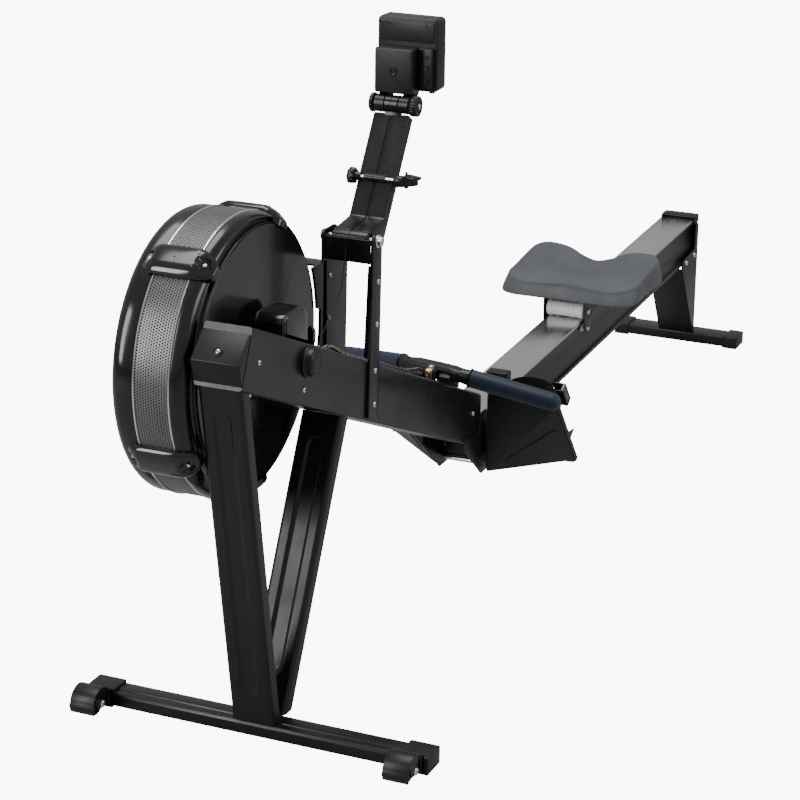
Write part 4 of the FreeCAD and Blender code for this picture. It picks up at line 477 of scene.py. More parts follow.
def settled_dust():
    """A mask of light dust: more on faces that look up, broken by noise."""
    tree, given, put = group("settled_dust", [("Amount", 0.15), ("Scale", 30.0)],
        [("Mask", "NodeSocketFloat")])
    shape = node(tree, "ShaderNodeNewGeometry")
    split = node(tree, "ShaderNodeSeparateXYZ")
    link(tree, shape.outputs["Normal"], split.inputs[0])
    where = node(tree, "ShaderNodeTexCoord")
    noise = node(tree, "ShaderNodeTexNoise", in_Detail=6.0, in_Roughness=0.7)
    link(tree, where.outputs["Object"], noise.inputs["Vector"])
    link(tree, given.outputs["Scale"], noise.inputs["Scale"])
    upward = ramp(tree, split.outputs[2], 0.2, 1.0, 0.25, 1.0)
    broken = ramp(tree, noise.outputs["Fac"], 0.35, 0.75)
    link(tree, math_node(tree, "MULTIPLY", math_node(tree, "MULTIPLY", upward, broken),
        given.outputs["Amount"]), put.inputs["Mask"])
    return tree


GRAIN = moulded_grain()
LINES = drawn_lines()
DUST = settled_dust()


# ---------------------------------------------------------------- finishes
def finish(name, colour, roughness, metallic=0.0, coat=0.0, coat_roughness=0.1, specular=0.5,
        grain=900.0, relief=0.05, spread=0.25, uneven=0.08, dust=0.1, lines=None, sheen=0.0):
    """A material: a colour that drifts by patches, roughness that drifts with it, grain relief and dust."""
    made = bpy.data.materials.new(name)
    made.use_nodes = True
    tree = made.node_tree
    shader = tree.nodes["Principled BSDF"]
    shader.inputs["Metallic"].default_value = metallic
    shader.inputs["Coat Weight"].default_value = coat
    shader.inputs["Coat Roughness"].default_value = coat_roughness
    shader.inputs["Specular IOR Level"].default_value = specular
    shader.inputs["Sheen Weight"].default_value = sheen
    grains = node(tree, "ShaderNodeGroup", node_tree=GRAIN)
    grains.inputs["Scale"].default_value = grain
    height = grains.outputs["Height"]
    patches = grains.outputs["Patch"]
    if lines:
        drawn = node(tree, "ShaderNodeGroup", node_tree=LINES)
        drawn.inputs["Fineness"].default_value = lines
        height = drawn.outputs["Height"]
        patches = drawn.outputs["Band"]
    colour = np.array(colour)
    blend = node(tree, "ShaderNodeMix", data_type="RGBA")
    blend.inputs[6].default_value = (*(colour * (1 - spread)), 1)
    blend.inputs[7].default_value = (*np.minimum(colour * (1 + spread), 1.0), 1)
    link(tree, patches, blend.inputs[0])
    dusty = node(tree, "ShaderNodeMix", data_type="RGBA")
    link(tree, blend.outputs[2], dusty.inputs[6])
    dusty.inputs[7].default_value = (0.42, 0.41, 0.39, 1)
    film = node(tree, "ShaderNodeGroup", node_tree=DUST)
    film.inputs["Amount"].default_value = dust
    link(tree, film.outputs["Mask"], dusty.inputs[0])
    link(tree, dusty.outputs[2], shader.inputs["Base Color"])
    rough = ramp(tree, patches, 0.0, 1.0, max(roughness - uneven, 0.02), min(roughness + uneven, 1.0))
    link(tree, math_node(tree, "ADD", rough, film.outputs["Mask"]), shader.inputs["Roughness"])
    bump = node(tree, "ShaderNodeBump", in_Strength=relief, in_Distance=0.0004)
    link(tree, height, bump.inputs["Height"])
    link(tree, bump.outputs[0], shader.inputs["Normal"])
    return made


FRAME_BLACK = finish("powder_coat_black", (0.006, 0.0061, 0.0066), 0.3, grain=1400, relief=0.1,
    dust=0.012, specular=0.4)
COVER_BLACK = finish("housing_black", (0.005, 0.0051, 0.0056), 0.2, grain=1600, relief=0.05, dust=0.008,
    coat=0.3, specular=0.4)
CLIP_BLACK = finish("gloss_moulded_black", (0.0045, 0.0046, 0.005), 0.13, grain=1200, relief=0.03,
    dust=0.008, coat=0.5, specular=0.4)
CAP_BLACK = finish("matte_moulded_black", (0.0065, 0.0066, 0.007), 0.38, grain=1100, relief=0.12,
    dust=0.02, specular=0.35)
TREAD_BLACK = finish("hard_tread", (0.006, 0.006, 0.006), 0.55, grain=800, relief=0.2, dust=0.05,
    specular=0.3)
BOLT_STEEL = finish("zinc_plate", (0.72, 0.72, 0.7), 0.22, metallic=1.0, grain=700, relief=0.03,
    spread=0.1, dust=0.02)
TRACK_STEEL = finish("brushed_stainless", (0.66, 0.665, 0.66), 0.22, metallic=1.0, lines=900,
    relief=0.05, spread=0.03, dust=0.01, uneven=0.03)
RAIL_CHARCOAL = finish("dark_anodised", (0.012, 0.0125, 0.0135), 0.34, metallic=0.3, lines=700,
    relief=0.08, dust=0.012, specular=0.4)
BAND_STEEL = finish("perforated_sheet", (0.17, 0.174, 0.176), 0.4, metallic=0.6, grain=1500, relief=0.05,
    spread=0.12, dust=0.02)
TRIM_BRIGHT = finish("bright_trim", (0.8, 0.8, 0.79), 0.18, metallic=1.0, grain=900, relief=0.02,
    spread=0.05, dust=0.0)
ROTOR_GREY = finish("cast_rotor", (0.22, 0.22, 0.225), 0.45, metallic=0.9, grain=500, relief=0.15,
    dust=0.15)
DAMPER_GREY = finish("shutter_grey", (0.03, 0.0305, 0.032), 0.45, grain=1000, relief=0.12, dust=0.06)
ARM_BLACK = finish("arm_black", (0.006, 0.0061, 0.0066), 0.27, grain=1500, relief=0.08, dust=0.01,
    specular=0.4)
MONITOR_BLACK = finish("monitor_black", (0.007, 0.0073, 0.008), 0.34, grain=1700, relief=0.14,
    dust=0.015, specular=0.4)
KEY_GREY = finish("keypad_grey", (0.2, 0.205, 0.21), 0.6, grain=1600, relief=0.1, dust=0.03)
WIRE_BLACK = finish("wire_skin", (0.005, 0.005, 0.005), 0.45, grain=1500, relief=0.05, dust=0.01)
HANDLE_BLACK = finish("handle_black", (0.0065, 0.0066, 0.007), 0.36, grain=1300, relief=0.1, dust=0.012,
    specular=0.4)
GRIP_NAVY = finish("grip_navy", (0.0085, 0.017, 0.04), 0.5, grain=1800, relief=0.2, dust=0.01, sheen=0.1,
    specular=0.35)
BRASS = finish("yellow_passivate", (0.62, 0.5, 0.3), 0.3, metallic=1.0, grain=700, relief=0.04,
    spread=0.15, dust=0.03)
CHAIN_NICKEL = finish("nickel_plate", (0.34, 0.33, 0.31), 0.32, metallic=1.0, grain=900, relief=0.05,
    spread=0.2, dust=0.02)
SEAT_GREY = finish("seat_skin", (0.074, 0.079, 0.089), 0.5, grain=1300, relief=0.25, dust=0.015,
    sheen=0.05, specular=0.35)
ROLLER_WHITE = finish("white_nylon", (0.8, 0.8, 0.78), 0.4, grain=900, relief=0.05, spread=0.05,
    dust=0.05)
FOOT_GREY = finish("footrest_grey", (0.014, 0.0146, 0.016), 0.42, grain=1100, relief=0.14, dust=0.02,
    specular=0.35)
HEEL_GREY = finish("heel_grey", (0.023, 0.024, 0.0265), 0.5, grain=1100, relief=0.16, dust=0.02,
    specular=0.35)
DISPLAY = finish("display_glass", (0.02, 0.024, 0.022), 0.08, coat=1.0, grain=600, relief=0.0,
    spread=0.1, dust=0.0)
WEBBING = finish("webbing_black", (0.006, 0.006, 0.0065), 0.7, grain=2600, relief=0.5, dust=0.015,
    sheen=0.1)
BUCKLE_BLACK = finish("buckle_black", (0.005, 0.005, 0.005), 0.2, grain=900, relief=0.04, dust=0.01,
    coat=0.3)


# ---------------------------------------------------------------- camera, floor and light
def camera():
    """Camera at the viewing angle, looking along a fixed direction with a slight roll."""
    data = bpy.data.cameras.new("camera")
    data.sensor_width = 36.0
    data.lens = 112.68
    data.shift_x = 0.00756
    data.shift_y = 0.00167
    data.clip_end = 60.0
    made = bpy.data.objects.new("camera", data)
    eye = Vector((-4.28813, -1.62295, 1.85856))
    aim = Vector((-3.016353, -1.074316, 1.362562))
    turn = (aim - eye).to_track_quat("-Z", "Y").to_matrix().to_4x4()
    made.matrix_world = Matrix.Translation(eye) @ turn @ Matrix.Rotation(0.0113, 4, "Z")
    bpy.context.scene.collection.objects.link(made)
    bpy.context.scene.camera = made


def floor():
    """A wide floor of pale matt board."""
    points = np.array([[-40, -40, 0], [40, -40, 0], [40, 40, 0], [-40, 40, 0]], float)
    mesh = bpy.data.meshes.new("floor")
    mesh.from_pydata(points.tolist(), [], [(0, 1, 2, 3)])
    board = bpy.data.materials.new("floor_board")
    board.use_nodes = True
    board.node_tree.nodes["Principled BSDF"].inputs["Base Color"].default_value = (0.42, 0.42, 0.42, 1)
    board.node_tree.nodes["Principled BSDF"].inputs["Roughness"].default_value = 0.9
    board.node_tree.nodes["Principled BSDF"].inputs["Specular IOR Level"].default_value = 0.1
    board.node_tree.nodes["Principled BSDF"].inputs["Emission Color"].default_value = (1, 1, 1, 1)
    rays = board.node_tree.nodes.new("ShaderNodeLightPath")
    glow = math_node(board.node_tree, "MULTIPLY", rays.outputs["Is Camera Ray"], 9.0)
    link(board.node_tree, glow, board.node_tree.nodes["Principled BSDF"].inputs["Emission Strength"])
    mesh.materials.append(board)
    made = bpy.data.objects.new("floor", mesh)
    bpy.context.scene.collection.objects.link(made)


def lamp(name, at, aim, size, power, tint=(1, 1, 1)):
    """A soft rectangular lamp that faces a point."""
    data = bpy.data.lights.new(name, "AREA")
    data.shape = "RECTANGLE"
    data.size, data.size_y = size
    data.energy = power
    data.color = tint
    made = bpy.data.objects.new(name, data)
    turn = (Vector(aim) - Vector(at)).to_track_quat("-Z", "Y").to_matrix().to_4x4()
    made.matrix_world = Matrix.Translation(Vector(at)) @ turn
    bpy.context.scene.collection.objects.link(made)


def lights():
    """White surround, a broad overhead lamp, and long strips that draw highlights on the black parts."""
    world = bpy.data.worlds.new("studio")
    world.use_nodes = True
    world.node_tree.nodes["Background"].inputs["Color"].default_value = (1, 1, 1, 1)
    world.node_tree.nodes["Background"].inputs["Strength"].default_value = 0.45
    bpy.context.scene.world = world
    middle = (-0.5, 0.0, 0.45)
    lamp("overhead", (-0.4, 0.6, 4.2), middle, (3.0, 2.2), 120)
    lamp("front_left", (-4.2, 2.0, 2.0), middle, (0.8, 2.6), 80)
    lamp("side_right", (0.6, -4.2, 1.8), middle, (3.0, 1.0), 45)


# ---------------------------------------------------------------- beam and its fittings
def beam_shell():
    """The beam's box section with a sunk slot in its top.

    The section is a rounded rectangle whose top has a channel: across the slot's length the channel is
    sunk, and half as wide as the slot's rounded ends allow, and elsewhere it closes to nothing. Every
    line runs back to one upright plane.
    """
    low, high, half, deep = 0.16, 0.362, 0.013, 0.03
    outer = rounded([(-BEAM_HALF, 0), (-BEAM_HALF, -BEAM_HEIGHT), (BEAM_HALF, -BEAM_HEIGHT),
        (BEAM_HALF, 0)], 0.005, 6)
    t = np.linspace(0, np.pi / 2, 7)
    ends = half * (1 - np.cos(t))
    along = np.concatenate([[0.0, 0.0006, low - 0.0005], low + ends, high - ends[::-1],
        [high + 0.0005, 0.7, 1.1]])
    reach = np.clip(np.minimum(along - low, high - along), -1, half)
    width = np.where(reach > 0, np.sqrt(np.maximum(half**2 - (half - reach) ** 2, 0)), 0)
    sunk = np.where(reach >= 0, deep, 0)
    rows = len(along)
    channel = np.zeros((rows, 4, 2))
    channel[:, 0, 0] = channel[:, 1, 0] = width
    channel[:, 2, 0] = channel[:, 3, 0] = -width
    channel[:, 1, 1] = channel[:, 2, 1] = -sunk
    section = np.concatenate([np.broadcast_to(outer, (rows,) + outer.shape), channel], 1)
    section[0] *= np.array([1 - 0.0006 / BEAM_HALF, 1])
    x = np.broadcast_to(along[:, None], section.shape[:2]).copy()
    x[-1] = (BEAM_REAR_X - BEAM_NOSE[0] - section[-1, :, 1] * math.sin(BEAM_SLOPE)) / math.cos(BEAM_SLOPE)
    x[-2] = x[-1] - 0.05
    points = np.stack([x, section[..., 0], section[..., 1]], -1)
    return on_beam(patch(points))


def beam_bottom(x):
    """Height of the beam's underside at x."""
    return beam_top(x) - BEAM_HEIGHT / math.cos(BEAM_SLOPE)


def rest_mount():
    """Side plates and shelf under the beam's rear end."""
    x0, x1 = SOLE_TOE[0] - 0.09, SOLE_TOE[0] + 0.036
    rail_under = rail_top(x1) - RAIL_HEIGHT
    side = [(x0, beam_bottom(x0) + 0.01), (x0, beam_bottom(x0) - 0.016),
        (SOLE_TOE[0] - 0.004, SKIRT_BOTTOM_Z - 0.003), (x1, SKIRT_BOTTOM_Z - 0.003),
        (x1, rail_under + 0.046), (SOLE_TOE[0] - 0.01, beam_bottom(SOLE_TOE[0] - 0.01) + 0.06),
        (SOLE_TOE[0] - 0.02, beam_bottom(SOLE_TOE[0] - 0.02) + 0.024)]
    outline = rounded(side, 0.004, 4)
    low = BEAM_HALF - 0.0004
    plate = slab(outline, low, low + 0.003, 0.0008)
    shelf = box((SOLE_TOE[0] - 0.002, x1), (-low, low), (rail_under - 0.0035, rail_under - 0.0005),
        0.0008)
    return [plate, other_side(plate), shelf]


def nose_cap():
    """Wedge-nosed cap: the side outline carried across the beam, with rounded rims."""
    outline = rounded([(-0.0004, -0.0006), (-NOSE_REACH, -NOSE_DROP), (-0.0004, -BEAM_HEIGHT + 0.0006)],
        0.0028, 6)
    half = BEAM_HALF - 0.0002
    cap = slab(outline, -half, half, 0.0026, steps=4)
    run = math.hypot(NOSE_REACH, NOSE_DROP)
    out = np.array([-NOSE_DROP / run, 0, NOSE_REACH / run])
    at = np.array([-NOSE_REACH * 0.72, 0, -NOSE_DROP * 0.72])
    t = np.linspace(0, 2 * np.pi, 13)
    rim = np.stack([0.0072 + 0.0012 * np.cos(t), 0.0002 + 0.0012 * np.sin(t)], -1)[:-1]
    turn = np.array(Vector((0, 0, 1)).rotation_difference(Vector(out)).to_matrix())
    collar = moved(ring(rim, (0, 0, 0), "z", 32), turn, at)
    return on_beam(cap), on_beam(collar), on_beam(button_head(at + out * 0.0004, 0.0042, out))


def chain_guide():
    """Raised rounded rim round the beam's slot."""
    low, high = 0.16, 0.362
    count = 40
    t = np.linspace(-np.pi / 2, np.pi / 2, count)
    half = 0.013 + 0.0035
    front = np.stack([high - 0.013 + half * np.cos(t), half * np.sin(t)], -1)
    back = np.stack([low + 0.013 - half * np.cos(t), -half * np.sin(t)], -1)
    path = np.concatenate([front, back])
    path = np.concatenate([path, np.zeros((len(path), 1))], 1)
    normal = inward_normals(path[:, :2])
    s = np.linspace(0, 2 * np.pi, 12, endpoint=False)
    across = 0.0035 * np.cos(s)
    up = 0.0012 + 0.0022 * np.sin(s)
    flat = path[:, None, :2] - normal[:, None] * across[None, :, None]
    points = np.concatenate([flat, np.broadcast_to(up[None, :, None], flat.shape[:2] + (1,))], -1)
    return on_beam(patch(np.concatenate([points, points[:1]]), True, (False, False)))


def frame_pieces():
    """The beam with the plates and shelf under its rear end, its nose cap and the rim round its slot; the
    cap's screw is handed back.
    """
    piece("beam", [beam_shell()] + rest_mount(), FRAME_BLACK, "base", ("main_beam",), 40)
    cap, collar, screw = nose_cap()
    piece("nose_cap", [cap, collar], CAP_BLACK, "base", ("beam_end_cap",), 40)
    piece("slot_rim", [chain_guide()], CLIP_BLACK, "base", ())
    return screw


def leg(foot, head, low_z, groove=(0.07, 0.055)):
    """A folded leg with a pressed groove.

    Station s runs from foot to head, and the section runs from one flange's free edge round the web to
    the other's and back along the inside. The web's depth at (s, y) is the groove's depth times a
    smooth ramp of the distance inside the groove's rounded outline. The ends lie on the plane
    z = low_z and on the beam's underside.
    """
    run = math.hypot(head[0] - foot[0], head[1] - foot[1])
    up = np.array([(head[0] - foot[0]) / run, (head[1] - foot[1]) / run])
    back = np.array([up[1], -up[0]])
    half, depth, wall, radius = LEG_WIDTH / 2, LEG_DEPTH, 0.003, 0.0075
    t = np.linspace(0, np.pi / 2, 7)
    left = np.stack([-half + radius * (1 - np.cos(t)), radius * (1 - np.sin(t))], -1)
    web = np.linspace(-half + radius, half - radius, 41)[1:-1]
    web = np.stack([web, np.zeros_like(web)], -1)
    outer = np.concatenate([[[-half, depth]], left, web, (left * [-1, 1])[::-1], [[half, depth]]])
    inside = outer.copy()
    inside[:, 0] *= (half - wall) / half
    inside[1:-1, 1] += wall
    section = np.concatenate([outer, inside[::-1]])
    middle = np.concatenate([np.linspace(0, groove[0] + 0.05, 26)[:-1],
        np.linspace(groove[0] + 0.05, run - groove[1] - 0.05, 20),
        np.linspace(run - groove[1] - 0.05, run, 26)[1:]])
    y = np.broadcast_to(section[:, 0], (len(middle), len(section)))
    d = np.broadcast_to(section[:, 1], y.shape)
    low = (low_z - foot[1] - d * back[1]) / up[1]
    top_at = beam_bottom(foot[0]) - foot[1]
    slope = -math.tan(BEAM_SLOPE)
    high = (top_at + slope * d * back[0] - d * back[1]) / (up[1] - slope * up[0]) - 0.0004
    s = low + (high - low) * (middle / run)[:, None]
    reach = np.clip(s, groove[0], run - groove[1])
    inside_by = 0.0125 - np.hypot(y, s - reach)
    web_part = np.abs(y) < half - radius
    press = np.where(web_part, 0.003 * smooth((inside_by + 0.0045) / 0.006), 0)
    d = d + press
    points = np.stack([foot[0] + s * up[0] + d * back[0], y, foot[1] + s * up[1] + d * back[1]], -1)
    return patch(points)


def bolt_places():
    """Bolts through the legs' bracket into the foot bar."""
    middle = sum(FOOT_X) / 2
    return [(middle + dx, dy) for dx, dy in ((0.012, -0.022), (0.012, 0.022), (-0.004, -0.022),
        (-0.004, 0.022))]


def leg_pieces():
    """Both legs, the plate that joins them at the foot bar, and the bar."""
    piece("front_leg_web", [leg(FRONT_LEG[0], FRONT_LEG[1], FOOT_Z[1] + 0.0002)], FRAME_BLACK, "base",
        ("front_leg",), 30)
    x = (FRONT_LEG[0][0] + 0.0045, BACK_LEG[0][0] + 0.003)
    half = LEG_WIDTH / 2 - 0.004
    plate = box(x, (-half, half), (FOOT_Z[1] + 0.0002, FOOT_Z[1] + 0.0032), 0.001, axis="z")
    rear = box((x[1] - 0.003, x[1]), (-half, half), (FOOT_Z[1] + 0.0002, BACK_LEG[0][1] + 0.004), 0.001,
        axis="z")
    piece("back_leg_web", [leg(BACK_LEG[0], BACK_LEG[1], BACK_LEG[0][1] - 0.009), plate, rear],
        FRAME_BLACK, "base", ("back_leg",), 30)
    y = FOOT_HALF_WIDTH - 0.006
    low, high = FOOT_Z
    ridge = FOOT_X[0] + 0.0165
    section = [(FOOT_X[0], low), (FOOT_X[0], high - 0.006), (FOOT_X[0] + 0.0035, high - 0.0012),
        (ridge - 0.001, high - 0.0012), (ridge, high - 0.0022), (ridge + 0.001, high), (FOOT_X[1], high),
        (FOOT_X[1], low)]
    outline = rounded(section, [0.002, 0.002, 0.002, 0.0003, 0.0003, 0.0003, 0.0025, 0.002], 4)
    piece("front_bar", [slab(outline, -y, y, 0.0005)], FRAME_BLACK, "base", ("front_foot_bar",),
        30)


def foot_cap():
    """Moulded cap of the front bar on the +Y side, with the arched hood of its wheel.

    The hood's side outline is the outer arch and the inner arch joined by its lip, carried across Y.
    """
    y0, y1 = FOOT_HALF_WIDTH - 0.05, FOOT_HALF_WIDTH
    x0, x1 = FOOT_X[0] - 0.004, FOOT_X[1] + 0.004
    top = FOOT_Z[1] + 0.004
    shell = [box((x0, x1), (y0, y1), (0.0001, top), 0.0016, 0.003)]
    shell.append(box((x0 + 0.004, x1 - 0.004), (y1 - 0.0005, y1 + 0.0002), (0.004, top - 0.004), 0.0004,
        0.002))
    cx, cy, cz = WHEEL
    width = 0.022
    outer = 0.0277
    inner = 0.024
    t = np.linspace(math.radians(-8), math.radians(168), 30)
    arch = np.stack([cx + outer * np.cos(t), cz + outer * np.sin(t)], -1)
    room = np.stack([cx + inner * np.cos(t[::-1]), cz + inner * np.sin(t[::-1])], -1)
    lip = np.array([(cx - outer - 0.0022, cz + 0.001), (cx - outer - 0.0022, cz - 0.0035),
        (cx - outer + 0.0002, cz - 0.005), (cx - outer - 0.0005, cz - 0.0075),
        (cx - outer + 0.002, cz - 0.0115), (cx - inner + 0.0002, cz - 0.0115)])
    root = np.array([(cx + inner + 0.0008, cz - 0.015), (x0 + 0.002, cz - 0.015),
        (x0 + 0.002, cz + 0.01), (cx + outer * 0.92, cz + 0.016)])
    hood_outline = np.concatenate([root, arch[6:], lip, room[:-4]])
    hood = slab(hood_outline, cy - width, cy + width, 0.0008)
    cheek = rounded([(cx - 0.009, cz - 0.009), (cx + 0.009, cz - 0.009), (cx + 0.019, cz + 0.017),
        (cx + 0.009, cz + 0.024), (cx - 0.009, cz + 0.024), (cx - 0.019, cz + 0.017)], 0.006, 5)
    cheeks = [slab(cheek, cy + side * width - 0.002 + side * -0.003,
        cy + side * width + 0.002 + side * -0.003, 0.0008) for side in (-1, 1)]
    bracket = [box((cx + inner + 0.001, x0 + 0.003), (cy - width, cy - width + 0.004),
        (0.006, cz + 0.012), 0.001), box((cx + inner + 0.001, x0 + 0.003),
        (cy + width - 0.004, cy + width), (0.006, cz + 0.012), 0.001)]
    return shell + [hood] + cheeks + bracket


def wheel():
    """A transport wheel: tread with rounded shoulders, a dished side and a raised hub."""
    r = WHEEL_RADIUS
    half = [(0.0042, 0.0105), (0.0078, 0.0105), (0.0085, 0.0098), (0.009, 0.008), (0.0165, 0.008),
        (0.0175, 0.0095), (0.0185, 0.0118), (0.02, 0.0128), (0.0215, 0.012), (r, 0.0102), (r, 0.0)]
    profile = half + [(a, -b) for a, b in half[::-1][1:]]
    return ring(profile + [(0.00405, 0.0)], WHEEL, "y", 64)


def floor_pieces():
    """Front bar caps and wheels, and the rear foot."""
    cap = foot_cap()
    piece("front_caps", cap + [other_side(p) for p in cap], CAP_BLACK, "base", ("front_foot_caps",),
        35)
    right = wheel()
    piece("wheel_right", [right], TREAD_BLACK, "caster_right", ("caster_wheel_right",), 40)
    piece("wheel_left", [other_side(right)], TREAD_BLACK, "caster_left", ("caster_wheel_left",),
        40)
    heads = []
    for side in (-1, 1):
        for out in (-1, 1):
            at = WHEEL * [1, side, 1] + [0, out * 0.0225, 0]
            heads.append(button_head(at, 0.0062, (0, out, 0)))
        shaft = np.array([(0.0001, WHEEL[1] - 0.0215), (0.0039, WHEEL[1] - 0.0215),
            (0.0039, WHEEL[1] + 0.0215), (0.0001, WHEEL[1] + 0.0215)])
        rod = lathe(shaft, (WHEEL[0], 0, WHEEL[2]), "y", 20)
        heads.append(rod if side > 0 else other_side(rod))
    piece("wheel_rivets", heads, BOLT_STEEL, "base", ("caster_axles",), 40)
    x0, x1 = 1.15, 1.205
    y = 0.147
    piece("rear_bar", [box((x0, x1), (-y, y), (0.0025, 0.026), 0.0012, 0.0025)], FRAME_BLACK, "base",
        ("rear_foot_bar",))
    caps = [box((x0 - 0.003, x1 + 0.003), (0.116, 0.15), (0.0001, 0.029), 0.002, 0.0028)]
    caps.append(box((x0 + 0.004, x1 - 0.004), (0.1497, 0.1503), (0.004, 0.025), 0.0003, 0.002))
    piece("rear_caps", caps + [other_side(p) for p in caps], CAP_BLACK, "base", ("rear_foot_caps",))


def rear_leg():
    """Side plates, slanted web and base of the rear leg."""
    half = RAIL_HALF + 0.0002
    top0, top1 = 1.042, 1.158
    under = rail_top(top0) - RAIL_HEIGHT
    column = top1 - 0.022
    top = rail_top(column) - 0.0162
    foot = 0.0262
    side = [(1.15, foot), (top1 + 0.004, foot), (top1, top), (column, top), (column, under + 0.022),
        (top0 + 0.008, under + 0.016), (top0, under - 0.002)]
    plate = slab(rounded(side, [0.001, 0.002, 0.004, 0.006, 0.012, 0.006, 0.003], 4), half, half + 0.003,
        0.0009)
    web_top = under - 0.004
    web = [(1.15, foot), (1.153, foot), (top0 + 0.004, web_top), (top0 + 0.001, web_top)]
    web = slab(rounded(web, 0.0005, 2), -half, half, 0.0004)
    base = box((1.151, top1 + 0.004), (-half, half), (foot, foot + 0.003), 0.0008)
    piece("rear_leg_plates", [plate, other_side(plate), web, base], FRAME_BLACK, "base", ("rear_leg",),
        35)


# ---------------------------------------------------------------- monorail
def rail_pieces():
    """The flanged beam, its bright track, the buffers and the end cap."""
    top = -TRACK_THICKNESS - 0.0001
    half = RAIL_HALF - TRACK_THICKNESS - 0.0002
    waist = half - RAIL_RECESS
    low = -RAIL_HEIGHT
    f = RAIL_FLANGE
    right = [(half, top), (half, top - f), (waist, top - f), (waist, low + f), (half, low + f),
        (half, low)]
    section = rounded(right + [(-a, b) for a, b in right[::-1]],
        [0.0012, 0.0012, 0.0018, 0.0018, 0.0012, 0.0012] * 2, 4)
    body = slab(section, -RAIL_LENGTH, -0.0003, 0.0006, "x")
    piece("rail", [on_rail(body)], RAIL_CHARCOAL, "base", ("monorail_beam",), 35)
    h, inner, lip, th = RAIL_HALF, RAIL_HALF - TRACK_THICKNESS, 0.005, TRACK_THICKNESS
    strip = rounded([(-h, -lip), (-inner, -lip), (-inner, -th), (inner, -th), (inner, -lip), (h, -lip),
        (h, 0), (-h, 0)], [0.0004, 0.0004, 0.0004, 0.0004, 0.0004, 0.0004, 0.0016, 0.0016], 5)
    track = slab(strip, -RAIL_LENGTH + 0.002, -0.026, 0.0004, "x")
    piece("track", [on_rail(track)], TRACK_STEEL, "base", ("stainless_track",), 35)
    stop_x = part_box("rail_stops")[0][0] + 0.0125
    back = (stop_x - RAIL_REAR[0]) / math.cos(RAIL_SLOPE)
    stop = on_rail(box((back - 0.012, back + 0.012), (-0.022, 0.022), (0.0001, 0.013), 0.003, 0.004, "z"))
    end = [box((-0.024, 0.008), (-RAIL_HALF - 0.0025, RAIL_HALF + 0.0025), (0.0002, 0.005), 0.0018,
        0.003, "z"), box((0.0004, 0.008), (-RAIL_HALF - 0.0025, RAIL_HALF + 0.0025), (-0.014, 0.004),
        0.0018, 0.003, "x"), box((0.0004, 0.008), (-RAIL_HALF, RAIL_HALF), (-RAIL_HEIGHT, -0.01), 0.0015,
        0.004, "x"), box((-0.024, 0.004), (RAIL_HALF + 0.0002, RAIL_HALF + 0.0027), (-0.013, 0.003),
        0.001, 0.003, "y"), box((-0.024, 0.004), (-RAIL_HALF - 0.0027, -RAIL_HALF - 0.0002),
        (-0.013, 0.003), 0.001, 0.003, "y"), box((-0.022, 0.005), (-0.03, 0.03), (0.0045, 0.0062),
        0.0008, 0.003, "z")]
    piece("buffers", [stop] + [on_rail(p) for p in end], CAP_BLACK, "base", ("rail_stops",),
        35)


# ---------------------------------------------------------------- flywheel housing
def cover_profile(face, rim, inward):
    """Half-profile of a cover from its flat face over a bead, a cove and a rounded shoulder to its rim."""
    depth = abs(rim - face)
    outline = [(0.1815, 0.0), (0.1835, 0.0), (0.1852, 0.0004), (0.1866, 0.0018), (0.1872, 0.0034)]
    t = np.linspace(0, np.pi, 9)
    outline += [(0.1894 - 0.002 * math.cos(a), 0.003 - 0.003 * math.sin(a)) for a in t]
    outline += [(0.1918, 0.005), (0.193, 0.0072), (0.195, 0.0084)]
    t = np.linspace(0.3, np.pi / 2, 16)
    shoulder = min(0.0215, depth - 0.004)
    outline += [(0.2065 + 0.0215 * math.sin(a) - 0.0045 * (1 - math.sin(a)),
        shoulder * (1 - math.cos(a)) + 0.0012) for a in t]
    outline += [(0.228, depth - 0.0016), (0.2272, depth - 0.0004), (0.2262, depth)]
    inner = [(0.224, depth), (0.224, shoulder + 0.002), (0.214, 0.012), (0.196, 0.0112), (0.183, 0.0064),
        (0.18, 0.003)]
    return [(r, face + inward * h) for r, h in outline + inner]


def eccentric(profile, inner_radius, thickness, face, inward, wide=False, around=192):
    """A cover whose profile is turned about the housing's centre and whose flat face reaches a hole
    round the axle: the centre of each circle slides from the axle to the housing as it grows."""
    outer = profile
    hole = [(inner_radius, face + inward * thickness), (inner_radius, face)]
    radii = np.array([p[0] for p in hole + outer])
    heights = np.array([p[1] for p in hole + outer])
    share = smooth((radii - inner_radius) / (0.18 - inner_radius))[:, None, None]
    if wide:
        radii = np.where(radii > 0.17, HOUSING_RADIUS - (HOUSING_RADIUS - radii) * 0.53, radii)
        share = np.clip((radii - 0.2035) / (HOUSING_RADIUS - 0.2035), 0, 1)[:, None, None]
        radii[-6:] -= 0.002
    t = np.linspace(0, 2 * np.pi, around, endpoint=False)
    flat = radii[:, None, None] * np.stack([np.cos(t), np.sin(t)], -1)[None]
    centre = AXLE[[0, 2]] * (1 - share) + HOUSING[[0, 2]] * share
    rows = place(flat + centre, heights[:, None], "y")
    return patch(np.concatenate([rows, rows[:1]]), True, (False, False))


